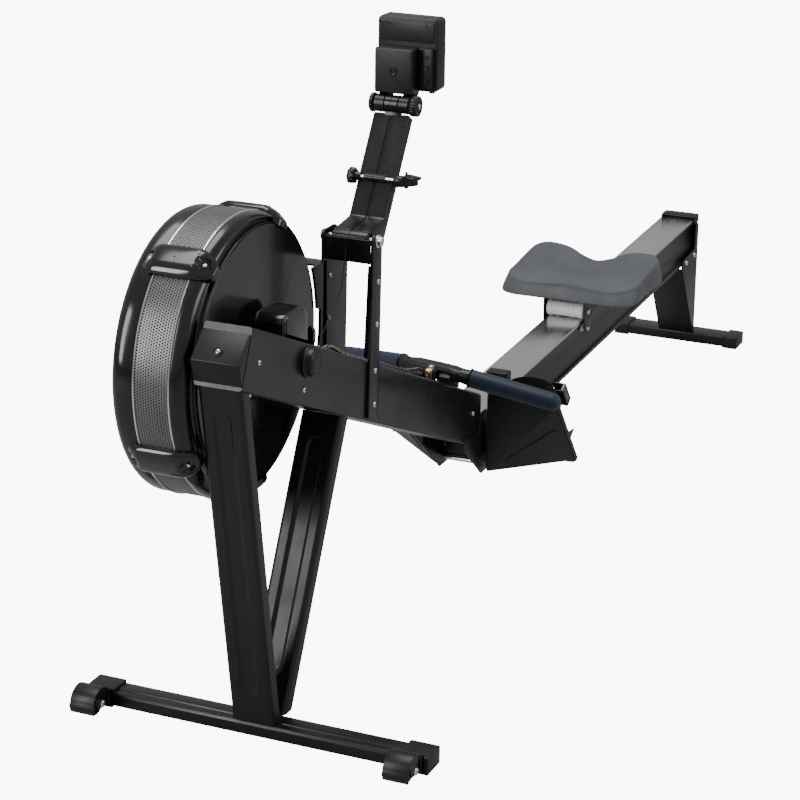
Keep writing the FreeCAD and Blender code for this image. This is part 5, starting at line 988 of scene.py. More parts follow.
def screen_cells():
    """Perforated band: a brick lattice of six-sided cells, each with a six-sided hole, bent to a ring.

    Cell (i, j) covers one pitch of arc and one row; its corners and the middles of its two long sides
    are the outer hexagon, its hole the inner one. Outer skin, inner skin and the holes' walls close.
    """
    rows, around = 13, 312
    y0, y1 = BAND_Y[0] + 0.0012, BAND_Y[1] - 0.0012
    outer = np.array([(0, 0), (0.5, 0), (1, 0), (1, 1), (0.5, 1), (0, 1)], float)
    t = math.pi / 3 * np.arange(6) + math.radians(210)
    hole = np.stack([0.5 + 0.32 * np.cos(t), 0.5 + 0.32 * np.sin(t)], -1)
    cell = np.concatenate([outer, hole])
    i, j = np.meshgrid(np.arange(around), np.arange(rows), indexing="ij")
    shift = i + 0.5 * (j % 2)
    u = (shift[..., None] + cell[:, 0]) / around * 2 * np.pi
    v = y0 + (j[..., None] + cell[:, 1]) / rows * (y1 - y0)
    skins = []
    for radius in (HOUSING_RADIUS - 0.0006, HOUSING_RADIUS - 0.0014):
        flat = radius * np.stack([np.cos(u), np.sin(u)], -1) + HOUSING[[0, 2]]
        skins.append(place(flat, v, "y").reshape(-1, 12, 3))
    count = len(skins[0])
    points = np.concatenate([skins[0].reshape(-1, 3), skins[1].reshape(-1, 3)])
    k = np.arange(6)
    n = (k + 1) % 6
    top = np.stack([k, n, 6 + n, 6 + k], -1)
    base = (np.arange(count) * 12)[:, None, None]
    far = count * 12
    outside = (top[None] + base).reshape(-1, 4)
    inside = (top[None, :, ::-1] + base + far).reshape(-1, 4)
    wall = np.stack([6 + k, 6 + n, 6 + n + far, 6 + k + far], -1)
    walls = (wall[None] + base).reshape(-1, 4)
    return points, np.concatenate([outside, inside, walls]).tolist()


def trim(y):
    """Bright bead round the band's edge."""
    t = np.linspace(0, 2 * np.pi, 9)[:-1]
    return ring(np.stack([HOUSING_RADIUS - 0.0002 + 0.0016 * np.cos(t), y + 0.0016 * np.sin(t)], -1),
        HOUSING, "y", 192)


def clip(angle):
    """A clip over the rim, as a polar surface.

    Ring q and angle p give a point of a rounded rectangle, half length 62 mm along Y by half width
    28 mm round the rim. Its height is 3 mm + 10 mm * (1 - q^3.6)^0.5, less two pockets and a step near
    the ends, on a base radius that sinks where the covers' shoulders do.
    """
    rings, around = 30, 112
    q = np.sin(np.linspace(0, np.pi / 2, rings))[:, None]
    p = np.linspace(0, 2 * np.pi, around, endpoint=False)[None, :]
    power = 0.55
    a = q * np.sign(np.cos(p)) * np.abs(np.cos(p)) ** power * 0.063
    b = q * np.sign(np.sin(p)) * np.abs(np.sin(p)) ** power * 0.0285
    b = b * (1 - 0.16 * smooth((np.abs(a) - 0.04) / 0.023))
    end = smooth((np.abs(a) - 0.034) / 0.03)
    sink = 0.0115 * end
    crown = (1 - q**3.6) ** 0.5 * 0.01 + 0.003
    pocket = np.clip(1 - ((np.abs(a) - 0.047) / 0.0095) ** 2 - (b / 0.0125) ** 2, 0, 1)
    pocket = 0.0072 * smooth(pocket / 0.3)
    step = 0.0011 * smooth((np.abs(a) - 0.0345) / 0.0012)
    height = crown - pocket - step
    radius = HOUSING_RADIUS + 0.0004 - sink + height
    under = HOUSING_RADIUS + 0.0002 - sink[-1:] - 0.007 * end[-1:]
    radius = np.concatenate([radius, under, np.full_like(under, HOUSING_RADIUS - 0.004)])
    a = np.concatenate([a, a[-1:], a[-1:] * 0.5])
    b = np.concatenate([b, b[-1:], b[-1:] * 0.5])
    middle = sum(CLIP_Y) / 2
    turn = math.radians(angle)
    flat = np.stack([radius * math.cos(turn) - b * math.sin(turn),
        radius * math.sin(turn) + b * math.cos(turn)], -1)
    bend = (np.sqrt(np.maximum(radius**2 - b**2, 0)) - radius)
    flat += bend[..., None] * np.array([math.cos(turn), math.sin(turn)])
    points = place(flat + HOUSING[[0, 2]], middle + a, "y")
    screws = []
    for side in (-1, 1):
        r = HOUSING_RADIUS - 0.0115 * 0.35 + 0.0046
        at = np.array([HOUSING[0] + r * math.cos(turn), middle + side * 0.047,
            HOUSING[2] + r * math.sin(turn)])
        screws.append(button_head(at, 0.0036, (math.cos(turn), 0, math.sin(turn))))
    return patch(points), screws


def housing_pieces():
    """Covers, band, trims, clips, shroud, axle cap."""
    near = eccentric(cover_profile(HOUSING_Y[0], BAND_Y[0], 1), 0.036, 0.003, HOUSING_Y[0], 1, True)
    piece("near_cover", [near], COVER_BLACK, "base", ("near_flywheel_cover",), 60)
    far = [eccentric(cover_profile(HOUSING_Y[1], BAND_Y[1], -1), 0.084, 0.003, HOUSING_Y[1], -1)]
    y = HOUSING_Y[1]
    for turn in range(6):
        rib = box((AXLE[0] + 0.012, AXLE[0] + 0.086), (y - 0.004, y), (AXLE[2] - 0.003, AXLE[2] + 0.003),
            0.0008)
        far.append(turned(rib, math.radians(60 * turn), AXLE))
    t = np.linspace(0, 2 * np.pi, 9)[:-1]
    for radius in np.arange(0.026, 0.083, 0.008):
        far.append(ring(np.stack([radius + 0.0011 * np.cos(t), y - 0.003 + 0.0011 * np.sin(t)], -1),
            AXLE, "y", 72))
    far.append(lathe([(0.0001, y - 0.007), (0.0195, y - 0.007), (0.0195, y - 0.001), (0.018, y),
        (0.01, y + 0.0004), (0.0001, y + 0.0004)], AXLE, "y", 48))
    keeper = 0.092 - 0.0344
    far.append(ring([(keeper - 0.005, y - 0.004), (keeper, y - 0.004), (keeper, y + 0.0048),
        (keeper + 0.004, y + 0.0048), (keeper + 0.004, y + 0.0068), (keeper + 0.0034, y + 0.0074),
        (keeper - 0.0044, y + 0.0074), (keeper - 0.005, y + 0.0068)], AXLE, "y", 96))
    piece("far_cover", far, COVER_BLACK, "base", ("far_flywheel_cover",), 60)
    piece("screen", [screen_cells()], BAND_STEEL, "base", ("perforated_screen",), 30)
    piece("screen_trims", [trim(BAND_Y[0] + 0.0006), trim(BAND_Y[1] - 0.0006)], TRIM_BRIGHT, "base", ())
    bodies, screws = [], []
    for angle in CLIP_ANGLES:
        body, heads = clip(angle)
        bodies.append(body)
        screws += heads
    piece("clips", bodies, CLIP_BLACK, "base", ("rim_clips",), 40)
    x0, x1 = AXLE[0] - 0.043, AXLE[0] + 0.043
    outline = rounded([(x0, beam_top(x0) + 0.0004), (x1, beam_top(x1) + 0.0004), (x1, 0.684),
        (x0, 0.684)], [0.0008, 0.0008, 0.024, 0.024], 14)
    body = slab(outline, -0.02, 0.034, 0.004, steps=5)
    normal = inward_normals(outline)
    inset = outline + normal * 0.006
    inset[:, 1] = np.maximum(inset[:, 1], np.minimum(outline[:, 1], inset[:, 1] + 0.004))
    face = slab(inset, -0.0212, -0.018, 0.0008)
    rims = []
    arch = outline[28:] if len(outline) >= 56 else outline
    for y in (-0.016, 0.03):
        path = place(arch + inward_normals(outline)[28:] * 0.0006, y, "y")
        legs = np.array([[x1, y, beam_top(x1) + 0.001]]), np.array([[x0, y, beam_top(x0) + 0.001]])
        path = np.concatenate([legs[0], path, legs[1]])
        rims.append(sweep(path, disc(0.002, 10), (0, 1, 0)))
    piece("sprocket_cover", [body, face] + rims, CLIP_BLACK, "base", ("chain_shroud",), 40)
    y = -BEAM_HALF
    profile = [(0.0001, y - 0.015), (0.008, y - 0.0152), (0.016, y - 0.015), (0.0172, y - 0.0146),
        (0.0182, y - 0.0138), (0.019, y - 0.0146), (0.0206, y - 0.0142), (0.0222, y - 0.0128),
        (0.0229, y - 0.0108), (0.0231, y - 0.004), (0.0236, y - 0.0034), (0.0256, y - 0.0032),
        (0.0262, y - 0.0024), (0.0262, y - 0.0001), (0.0001, y - 0.0001)]
    piece("axle_end_cap", [lathe(profile, AXLE * [1, 0, 1], "y", 96)], CAP_BLACK, "base", ("axle_cap",),
        50)
    return screws


# ---------------------------------------------------------------- uprights, arm and monitor
def upright_pieces():
    """Both uprights with their folds, and the bolts through them."""
    out = BEAM_HALF + 0.005
    low = beam_bottom(-0.737) + 0.004
    near = rounded([(-0.737, low), (-0.697, beam_bottom(-0.697) + 0.004), (-0.686, 0.745),
        (-0.722, 0.745)], [0.003, 0.003, 0.01, 0.01], 5)
    fold = rounded([(-0.737, beam_top(-0.737) + 0.003), (-0.734, beam_top(-0.737) + 0.003),
        (-0.719, 0.693), (-0.722, 0.693)], 0.0004, 2)
    parts = [slab(near, -out, -BEAM_HALF - 0.0002, 0.0008),
        slab(fold, -out + 0.001, -BEAM_HALF + 0.005, 0.0006)]
    piece("near_strut", parts, FRAME_BLACK, "base", ("near_upright",), 35)
    x0, x1 = -0.727, -0.632
    far = rounded([(x0 - 0.008, beam_bottom(x0 - 0.008) + 0.004),
        (x1 - 0.01, beam_bottom(x1 - 0.01) + 0.004), (x1, 0.685), (x1 - 0.045, 0.745), (x0, 0.745)],
        [0.003, 0.003, 0.012, 0.012, 0.006], 5)
    front = PIVOT[0] - 0.017
    crease = box((front, front + 0.003), (-BEAM_HALF + 0.0003, out),
        (PIVOT[2] - 0.036, PIVOT[2] + 0.004), 0.0009, 0.0012, "x")
    stay_x = (HOUSING[0] + HOUSING_RADIUS * 0.985 + 0.002, x0 + 0.012)
    stay_z = HOUSING[2] + 0.088
    rise = np.linspace(-0.109, 0.088, 60)
    reach = np.where((rise > -0.0895) & (rise < 0.0135), 0.242, 0.2295)
    edge = np.stack([HOUSING[0] + np.sqrt(reach**2 - rise**2), HOUSING[2] + rise], -1)
    web = slab(np.concatenate([edge, [(stay_x[1], stay_z), (stay_x[1], HOUSING[2] - 0.109)]])[::-1],
        BEAM_HALF + 0.0002, out, 0.0004)
    shelf = box((-0.7465, stay_x[1]), (out - 0.001, out + 0.034), (stay_z - 0.004, stay_z), 0.0009,
        0.002, "z")
    piece("far_strut", [slab(far, BEAM_HALF + 0.0002, out, 0.0008), crease, web, shelf], FRAME_BLACK,
        "base", ("far_upright",), 35)
    y = out + 0.0005
    bolt = [(0.0001, -y - 0.0095), (0.005, -y - 0.0095), (0.0062, -y - 0.0088), (0.0075, -y - 0.0085),
        (0.0085, -y - 0.0075), (0.0085, -y - 0.0028), (0.0108, -y - 0.0024), (0.0112, -y - 0.0014),
        (0.0108, -y), (0.0049, -y), (0.0049, y), (0.0098, y), (0.0102, y + 0.002), (0.0098, y + 0.0055),
        (0.008, y + 0.007), (0.0001, y + 0.0072)]
    piece("pivot_bolt", [lathe(bolt, PIVOT, "y", 40)], BOLT_STEEL, "base", ("arm_pivot_bolt",),
        40)


def arm_pieces():
    """The arm: a tube at its root, a ramp, a long leaning channel with a groove, and a neck."""
    run = math.hypot(HEAD[0] - KINK[0], HEAD[2] - KINK[2])
    along = np.array([(HEAD[0] - KINK[0]) / run, (HEAD[2] - KINK[2]) / run])
    back = np.array([along[1], -along[0]])
    reach = run - 0.0162
    top = np.array([KINK[0], KINK[2]]) + along * reach
    outline = [(PIVOT[0] - 0.003, PIVOT[2] + 0.0128), (KINK[0] + 0.001, KINK[2]), tuple(top),
        tuple(top + back * ARM_DEPTH), (KINK[0] + 0.002, KINK[2] - 0.034), (PIVOT[0], PIVOT[2] - 0.0128)]
    outline = rounded(outline, [0.006, 0.008, 0.003, 0.004, 0.012, 0.004], 6)
    groove = 0.0011
    sections = []
    for low, high in ((-ARM_HALF, -groove), (groove, ARM_HALF)):
        sections.append(slab(outline, low, high, 0.0024, steps=4))
    core = outline + inward_normals(outline) * 0.0018
    sections.append(slab(core, -0.004, 0.004, 0.0004))
    for side in (-1, 1):
        y = side * (ARM_HALF - 0.0004)
        a = np.array([KINK[0], KINK[2]]) + along * 0.012 + back * 0.0075
        b = np.array([KINK[0], KINK[2]]) + along * (reach - 0.006) + back * 0.0075
        path = place(np.stack([a + (b - a) * k for k in np.linspace(0, 1, 6)]), y, "y")
        sections.append(sweep(path, disc(0.0012, 8), (0, 1, 0)))
    root = lathe([(0.0051, -ARM_HALF), (0.0112, -ARM_HALF), (0.0128, -ARM_HALF + 0.0014),
        (0.013, -ARM_HALF + 0.003), (0.013, -0.0016), (0.0122, -0.0008), (0.0122, 0.0008),
        (0.013, 0.0016), (0.013, ARM_HALF - 0.003), (0.0128, ARM_HALF - 0.0014), (0.0112, ARM_HALF),
        (0.0051, ARM_HALF)], PIVOT, "y", 48)
    neck = slab([tuple(top - along * 0.004), (HEAD[0] - 0.006, HEAD[2] - 0.002),
        (HEAD[0] + 0.008, HEAD[2] - 0.004), tuple(top + back * ARM_DEPTH - along * 0.004)], -0.0118,
        0.0118, 0.0006)
    head = lathe([(0.0042, -0.0119), (0.0142, -0.0119), (0.015, -0.0111), (0.015, -0.0012),
        (0.0144, -0.0006), (0.0144, 0.0006), (0.015, 0.0012), (0.015, 0.0111), (0.0142, 0.0119),
        (0.0042, 0.0119)], HEAD, "y", 48)
    front = KINK[0] + (HOLDER_Z - KINK[2]) * along[0] / along[1]
    holder = front - 0.0046
    saddle = ring([(0.0032, -0.019), (0.0046, -0.019), (0.005, -0.0186), (0.005, 0.0186),
        (0.0046, 0.019), (0.0032, 0.019)], (holder, 0, HOLDER_Z), "y", 32)
    foot = box((holder + 0.002, holder + 0.012), (-0.018, 0.018), (HOLDER_Z - 0.0045, HOLDER_Z + 0.0045),
        0.001)
    piece("arm_beam", sections + [root, neck, head, saddle, foot], ARM_BLACK, "arm", ("monitor_arm",),
        35)
    return holder


def ribbed_knob(centre, low, high, radius, lobes, depth, around):
    """A hand knob: radius falls by depth times half of 1 + cos(lobes * angle), with rounded rims."""
    t = np.linspace(0, 2 * np.pi, around, endpoint=False)
    e = 0.0016
    profile = [(0.0001, low), (0.45, low), (0.47, low + 0.0012), (0.55, low + 0.0014),
        (0.6, low + 0.0002), (0.86, low), (0.95, low + e * 0.3), (1.0, low + e), (1.0, high - e),
        (0.95, high - e * 0.3), (0.86, high), (0.0001, high)]
    rows = []
    for share, y in profile:
        r = radius * share - depth * 0.5 * (1 + np.cos(lobes * t)) * max(share - 0.6, 0) / 0.4
        flat = r[:, None] * np.stack([np.cos(t), np.sin(t)], -1)
        rows.append(place(flat, y, "y"))
    return moved(patch(np.array(rows)), None, centre)


def holder_pieces(holder):
    """The device holder: rod with its knob, spring clamp body and moving jaw."""
    at = np.array([holder, 0, HOLDER_Z])
    rod = lathe([(0.0001, -0.046), (0.003, -0.0455), (0.003, 0.0345), (0.0001, 0.0345)], at, "y", 24)
    piece("holder_rod", [rod], BOLT_STEEL, "holder_screw", ())
    knob = ribbed_knob(at, 0.0345, 0.047, 0.0142, 7, 0.0026, 84)
    collar = lathe([(0.0034, 0.025), (0.0062, 0.0255), (0.0072, 0.03), (0.008, 0.0344),
        (0.0034, 0.0344)], at, "y", 32)
    piece("holder_knob", [knob, collar], ARM_BLACK, "holder_screw", ("device_holder_screw",),
        45)
    x, y = holder + 0.006, -0.05
    body = rounded([(x - 0.016, -0.036), (x + 0.004, -0.036), (x + 0.005, y + 0.001),
        (x + 0.014, y - 0.016), (x + 0.01, y - 0.02), (x - 0.008, y - 0.004)],
        [0.004, 0.003, 0.004, 0.002, 0.002, 0.005], 5)
    parts = [slab(body, HOLDER_Z - 0.01, HOLDER_Z + 0.006, 0.0018, "z")]
    ear = ring([(0.0034, -0.052), (0.0085, -0.0515), (0.0092, -0.05), (0.0092, -0.0375),
        (0.0085, -0.0362), (0.0034, -0.036)], at, "y", 36)
    pin = lathe([(0.0001, -0.013), (0.0034, -0.0128), (0.0034, -0.011), (0.002, -0.0105),
        (0.0019, 0.0128), (0.003, 0.0129), (0.003, 0.0142), (0.0001, 0.0144)], (x, y - 0.004, HOLDER_Z),
        "z", 24)
    grip = [box((x + 0.0065 + k * 0.0022, x + 0.0075 + k * 0.0022),
        (y - 0.0135 - k * 0.0034, y - 0.0105 - k * 0.0034), (HOLDER_Z - 0.0095, HOLDER_Z + 0.0055),
        0.0004, axis="z") for k in range(3)]
    piece("clamp_fixed", parts + [ear, pin] + grip, ARM_BLACK, "clamp", ("device_clamp_body",),
        40)
    jaw = rounded([(x - 0.0065, y - 0.002), (x + 0.003, y - 0.008), (x - 0.002, y - 0.022),
        (x - 0.006, y - 0.034), (x - 0.014, y - 0.0335), (x - 0.024, y - 0.027), (x - 0.022, y - 0.012)],
        [0.003, 0.003, 0.006, 0.003, 0.004, 0.003, 0.005], 6)
    blade = slab(jaw, HOLDER_Z + 0.0066, HOLDER_Z + 0.0118, 0.0018, "z", 4)
    dent = slab(jaw * 0.55 + jaw.mean(0) * 0.45, HOLDER_Z + 0.011, HOLDER_Z + 0.0126, 0.0008, "z")
    piece("clamp_moving", [blade, dent], ARM_BLACK, "jaw", ("device_clamp_jaw",), 40)


def socket_frame(x, y, z, width, height, wall=0.0013, deep=0.0014):
    """A raised rounded frame round a socket, as four-sided ring on the case's back."""
    outer = rounded([(y - width / 2, z - height / 2), (y + width / 2, z - height / 2),
        (y + width / 2, z + height / 2), (y - width / 2, z + height / 2)], 0.0018, 5)
    inner = outer + inward_normals(outer) * wall
    mid = (outer + inner) / 2
    rows = [place(p, h, "x") for p, h in ((outer, x + 0.001), (outer, x - deep * 0.7), (mid, x - deep),
        (inner, x - deep * 0.7), (inner, x + 0.001))]
    rows = np.array(rows)
    return patch(np.concatenate([rows, rows[:1]]), True, (False, False))


def monitor_pieces():
    """The monitor's case, battery box, display, buttons, lugs, sockets and tilt knobs."""
    x0, x1 = MONITOR_X
    y0, y1 = MONITOR_Y
    z0, z1 = MONITOR_Z
    sy = (y0 + 0.024, y1 - 0.008)
    sz = (z0 + 0.028, z1 - 0.012)
    outline = rounded([(y0, z0), (y1, z0), (y1, z1), (y0, z1)], 0.008, 8)
    window = rounded([(sy[0], sz[0]), (sy[1], sz[0]), (sy[1], sz[1]), (sy[0], sz[1])], 0.0015, 8)
    normal = inward_normals(outline)
    rows = []
    t = np.linspace(0, np.pi / 2, 5)
    for a in t:
        rows.append(place(outline + normal * 0.0022 * (1 - np.sin(a)), x0 + 0.0022 * (1 - np.cos(a)),
            "x"))
    seam = x0 + 0.0135
    for x, inset in ((seam - 0.0007, 0.0), (seam - 0.0003, 0.0007), (seam + 0.0003, 0.0007),
            (seam + 0.0007, 0.0)):
        rows.append(place(outline + normal * inset, x, "x"))
    for a in t[::-1]:
        rows.append(place(outline + normal * 0.0026 * (1 - np.sin(a)), x1 - 0.0026 * (1 - np.cos(a)),
            "x"))
    rows.append(place(window, x1 - 0.0001, "x"))
    rows.append(place(window, x1 - 0.0032, "x"))
    case = patch(np.array(rows))
    parts = [case]
    y = (y0 + 0.006, -PACK_HALF - 0.001)
    parts.append(box((x0 - 0.009, x0 + 0.001), y, (z0 + 0.008, z0 + 0.074), 0.0012, 0.002, "x"))
    middle = sum(y) / 2
    for k, (width, height) in enumerate(((0.011, 0.009), (0.013, 0.011), (0.012, 0.006))):
        parts.append(socket_frame(x0 - 0.009, middle - 0.001, z0 + 0.02 + 0.02 * k, width, height))
        parts.append(box((x0 - 0.0094, x0 - 0.008),
            (middle - 0.001 - width * 0.22, middle - 0.001 + width * 0.22),
            (z0 + 0.02 + 0.02 * k - height * 0.18, z0 + 0.02 + 0.02 * k + height * 0.18), 0.0003,
            axis="x"))
    plate = box((x0 - 0.0016, x0 + 0.001), (y0 + 0.006, y1 - 0.005), (z1 - 0.04, z1 - 0.006), 0.0006,
        0.003, "x")
    parts.append(plate)
    for side_y in (y0 + 0.02, y1 - 0.02):
        parts.append(lathe([(0.0001, -0.0001), (0.0022, -0.0002), (0.0026, 0.0008), (0.0024, 0.0014),
            (0.0012, 0.0014), (0.0001, 0.0006)][::-1], (x0 - 0.0022, side_y, z1 - 0.012), "x", 16))
    for side in (-1, 1):
        ys = sorted((side * 0.0126, side * 0.0308))
        low, high = ys
        parts.append(ring([(0.0042, low), (0.014, low), (0.0149, low + 0.0009), (0.0149, high - 0.0009),
            (0.014, high), (0.0042, high)], HEAD, "y", 40))
        lug = rounded([(HEAD[0] + 0.002, HEAD[2] + 0.012), (HEAD[0] + 0.008, HEAD[2] - 0.008),
            (x0 + 0.014, z0 + 0.002), (x0 + 0.0005, z0 + 0.003)], 0.001, 3)
        parts.append(slab(lug, low, high, 0.0006))
    parts.append(box((x0 + 0.0006, x0 + 0.013), (-0.0305, 0.0305), (z0 - 0.0018, z0 + 0.001), 0.0008,
        axis="z"))
    parts.append(box((x0 + 0.004, x0 + 0.012), (y0 + 0.008, y0 + 0.016), (z0 - 0.003, z0 + 0.002),
        0.0008, axis="z"))
    bezel = ring_rect(x1, sy, sz)
    parts.append(bezel)
    piece("monitor_case", parts, MONITOR_BLACK, "monitor", ("monitor_casing",), 35)
    glass = box((x1 - 0.003, x1 - 0.001), (sy[0] + 0.0004, sy[1] - 0.0004),
        (sz[0] + 0.0004, sz[1] - 0.0004), 0.0003, 0.0012, "x")
    piece("display", [glass], DISPLAY, "monitor", ("display_lens",))
    px0, px1 = PACK_X
    pack = rounded([(-PACK_HALF, PACK_Z[0]), (PACK_HALF, PACK_Z[0]), (PACK_HALF, PACK_Z[1]),
        (-PACK_HALF, PACK_Z[1])], 0.0032, 5)
    lid = slab(pack, px0, px1 - 0.0002, 0.0024, "x", 4)
    ribs = [box((px0 + 0.006, px0 + 0.0068), (-PACK_HALF - 0.0003, PACK_HALF + 0.0003),
        (PACK_Z[0] - 0.0002, PACK_Z[1] + 0.0003), 0.0003, axis="x")]
    boss_at = (px0, 0.0, sum(PACK_Z) / 2)
    boss = lathe([(0.0001, -0.0012), (0.0016, -0.0012), (0.002, -0.0006), (0.004, -0.0006),
        (0.0044, -0.002), (0.0058, -0.0024), (0.007, -0.0018), (0.0076, -0.0006), (0.0078, 0.0004),
        (0.0001, 0.0006)], boss_at, "x", 40)
    piece("battery_box", [lid, boss] + ribs, MONITOR_BLACK, "monitor", ("battery_pack",),
        35)
    for k in range(3):
        at = (x1, y0 + 0.013, z1 - 0.03 - 0.026 * k)
        key = lathe([(0.0001, -0.0048), (0.0064, -0.0048), (0.0064, -0.0034), (0.0049, -0.0033),
            (0.0049, 0.0012), (0.0043, 0.0019), (0.002, 0.002), (0.0001, 0.0018)], at, "x", 32)
        piece(f"key_{k + 1}", [key], KEY_GREY, f"button_{k + 1}", (f"monitor_button_{k + 1}",),
            40)
    knobs = [ribbed_knob(HEAD, -0.0462, -0.0326, 0.0175, 24, 0.0013, 144),
        ribbed_knob(HEAD, 0.0326, 0.0402, 0.0165, 18, 0.0011, 108)]
    shaft = lathe([(0.0001, -0.04), (0.0039, -0.04), (0.0039, 0.04), (0.0001, 0.04)], HEAD, "y", 24)
    piece("tilt_knobs", knobs + [shaft], ARM_BLACK, "tilt_screw", ("tilt_bolt",), 45)
    piece("tilt_screw_head", [button_head(HEAD + [0, -0.046, 0], 0.0046, (0, -1, 0))], BOLT_STEEL,
        "tilt_screw", (), 40)


def ring_rect(x, ys, zs):
    """A thin raised frame round the display."""
    outer = rounded([(ys[0] - 0.002, zs[0] - 0.002), (ys[1] + 0.002, zs[0] - 0.002),
        (ys[1] + 0.002, zs[1] + 0.002), (ys[0] - 0.002, zs[1] + 0.002)], 0.002, 6)
    inner = outer + inward_normals(outer) * 0.0022
    rows = np.array([place(p, h, "x") for p, h in ((outer, x - 0.001), (outer, x + 0.0003),
        (inner, x + 0.0006), (inner, x - 0.002))])
    return patch(np.concatenate([rows, rows[:1]]), True, (False, False))


# ---------------------------------------------------------------- handle, chain and wire
def spline(name, points):
    """A smooth curve that runs near its control points."""
    data = bpy.data.curves.new(name, "CURVE")
    data.dimensions = "3D"
    line = data.splines.new("NURBS")
    line.points.add(len(points) - 1)
    line.points.foreach_set("co", np.concatenate([np.asarray(points, float), np.ones((len(points), 1))],
        1).ravel())
    line.order_u = 3
    line.use_endpoint_u = True
    line.resolution_u = 12
    return data


def wire():
    """The pickup wire, from the fold's front down to its grommet on the beam."""
    route = [(-0.7265, 0.002, 0.721), (-0.7305, 0.001, 0.705), (-0.741, 0.0, 0.682),
        (-0.752, -0.002, 0.658), (-0.768, -0.001, 0.636), (-0.791, 0.002, 0.62), (-0.812, 0.003, 0.6),
        (-0.828, 0.004, beam_top(-0.828) + 0.005)]
    data = spline("sensor_lead", route)
    data.bevel_depth = 0.0009
    data.bevel_resolution = 3
    data.use_fill_caps = True
    data.materials.append(WIRE_BLACK)
    made = bpy.data.objects.new("sensor_lead", data)
    bpy.context.scene.collection.objects.link(made)
    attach(made, "base")
    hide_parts("sensor_wire")
    end = np.array(route[-1])
    grommet = lathe([(0.0001, -0.0048), (0.0046, -0.0048), (0.005, -0.0036), (0.0044, -0.0026),
        (0.003, -0.002), (0.0026, 0.0016), (0.0016, 0.003), (0.0001, 0.0031)], end, "z", 24)
    piece("wire_grommet", [grommet], BRASS, "base", (), 40)
    holder = lathe([(0.0001, -0.0006), (0.0034, -0.0006), (0.0036, 0.0006), (0.0022, 0.002),
        (0.0001, 0.0022)][::-1], np.array(route[0]) + [0.0016, 0, 0.0], "x", 20)
    piece("wire_clip", [holder], WIRE_BLACK, "base", (), 40)


def chain():
    """Roller chain along its route: pairs of side plates, alternately inner and outer, with rollers.

    Each link spans one pitch along the curve; its plates are rounded strips on both sides, and its
    rollers are short drums across it.
    """
    route = [(-0.826, 0.0, -0.004), (-0.8, 0.002, 0.006), (-0.765, 0.008, 0.008), (-0.722, 0.012, 0.003),
        (-0.676, 0.008, 0.0015), (-0.628, 0.002, 0.004), (-0.58, -0.003, 0.002),
        (-0.532, -0.005, 0.0015), (-0.484, -0.003, 0.0025), (-0.44, 0.0, 0.009), (-0.402, 0.001, 0.016)]
    points = [(x, y, beam_top(x) + 0.0051 + rise) for x, y,
        rise in route] + [(HANDLE[0] - 0.036, 0.0, HANDLE[2] + 0.002)]
    guide = bpy.data.objects.new("chain_guide_line", spline("chain_guide_line", points))
    bpy.context.scene.collection.objects.link(guide)
    line = bpy.data.meshes.new_from_object(guide)
    path = np.empty(len(line.vertices) * 3)
    line.vertices.foreach_get("co", path)
    path = path.reshape(-1, 3)
    bpy.data.objects.remove(guide)
    length = np.concatenate([[0], np.cumsum(np.linalg.norm(np.diff(path, axis=0), axis=1))])
    links = int(length[-1] / 0.0095)
    s = np.linspace(0.0008, length[-1] - 0.0002, links + 1)
    pins = np.stack([np.interp(s, length, path[:, k]) for k in range(3)], -1)
    parts = []
    for k in range(links):
        a, b = pins[k], pins[k + 1]
        along = (b - a) / np.linalg.norm(b - a)
        side = np.cross(along, (0, 0, 1.0))
        side /= np.linalg.norm(side)
        up = np.cross(side, along)
        pitch = np.linalg.norm(b - a)
        offset = 0.0022 + 0.0009 * (k % 2)
        t = np.linspace(-np.pi / 2, np.pi / 2, 5)
        end = np.stack([0.0027 * np.cos(t), 0.0027 * np.sin(t)], -1)
        plate = np.concatenate([end + [pitch, 0], [(pitch / 2, 0.0019)], (-end), [(pitch / 2, -0.0019)]])
        turn = np.stack([along, side, up], -1)
        for sign in (-1, 1):
            flat = slab(plate, sign * offset - 0.0004, sign * offset + 0.0004, 0.0001, "y", 1)
            parts.append(moved(flat, turn, a))
        drum = lathe([(0.0001, -0.0036), (0.0011, -0.0036), (0.0011, -0.0016), (0.0021, -0.0016),
            (0.0021, 0.0016), (0.0011, 0.0016), (0.0011, 0.0036), (0.0001, 0.0036)], (0, 0, 0), "y", 10)
        parts.append(moved(drum, turn, a))
    made = piece("roller_chain", parts, CHAIN_NICKEL, None, ("pull_chain",), 35)
    return made, points


def handle_axes():
    """The handle's lateral unit vector towards -Y and the direction its ends bend to."""
    lateral = np.array([math.sin(HANDLE_YAW), -math.cos(HANDLE_YAW), 0])
    rear = np.array([math.cos(HANDLE_YAW) * math.cos(HANDLE_ROLL),
        math.sin(HANDLE_YAW) * math.cos(HANDLE_ROLL), -math.sin(HANDLE_ROLL)])
    return lateral, rear


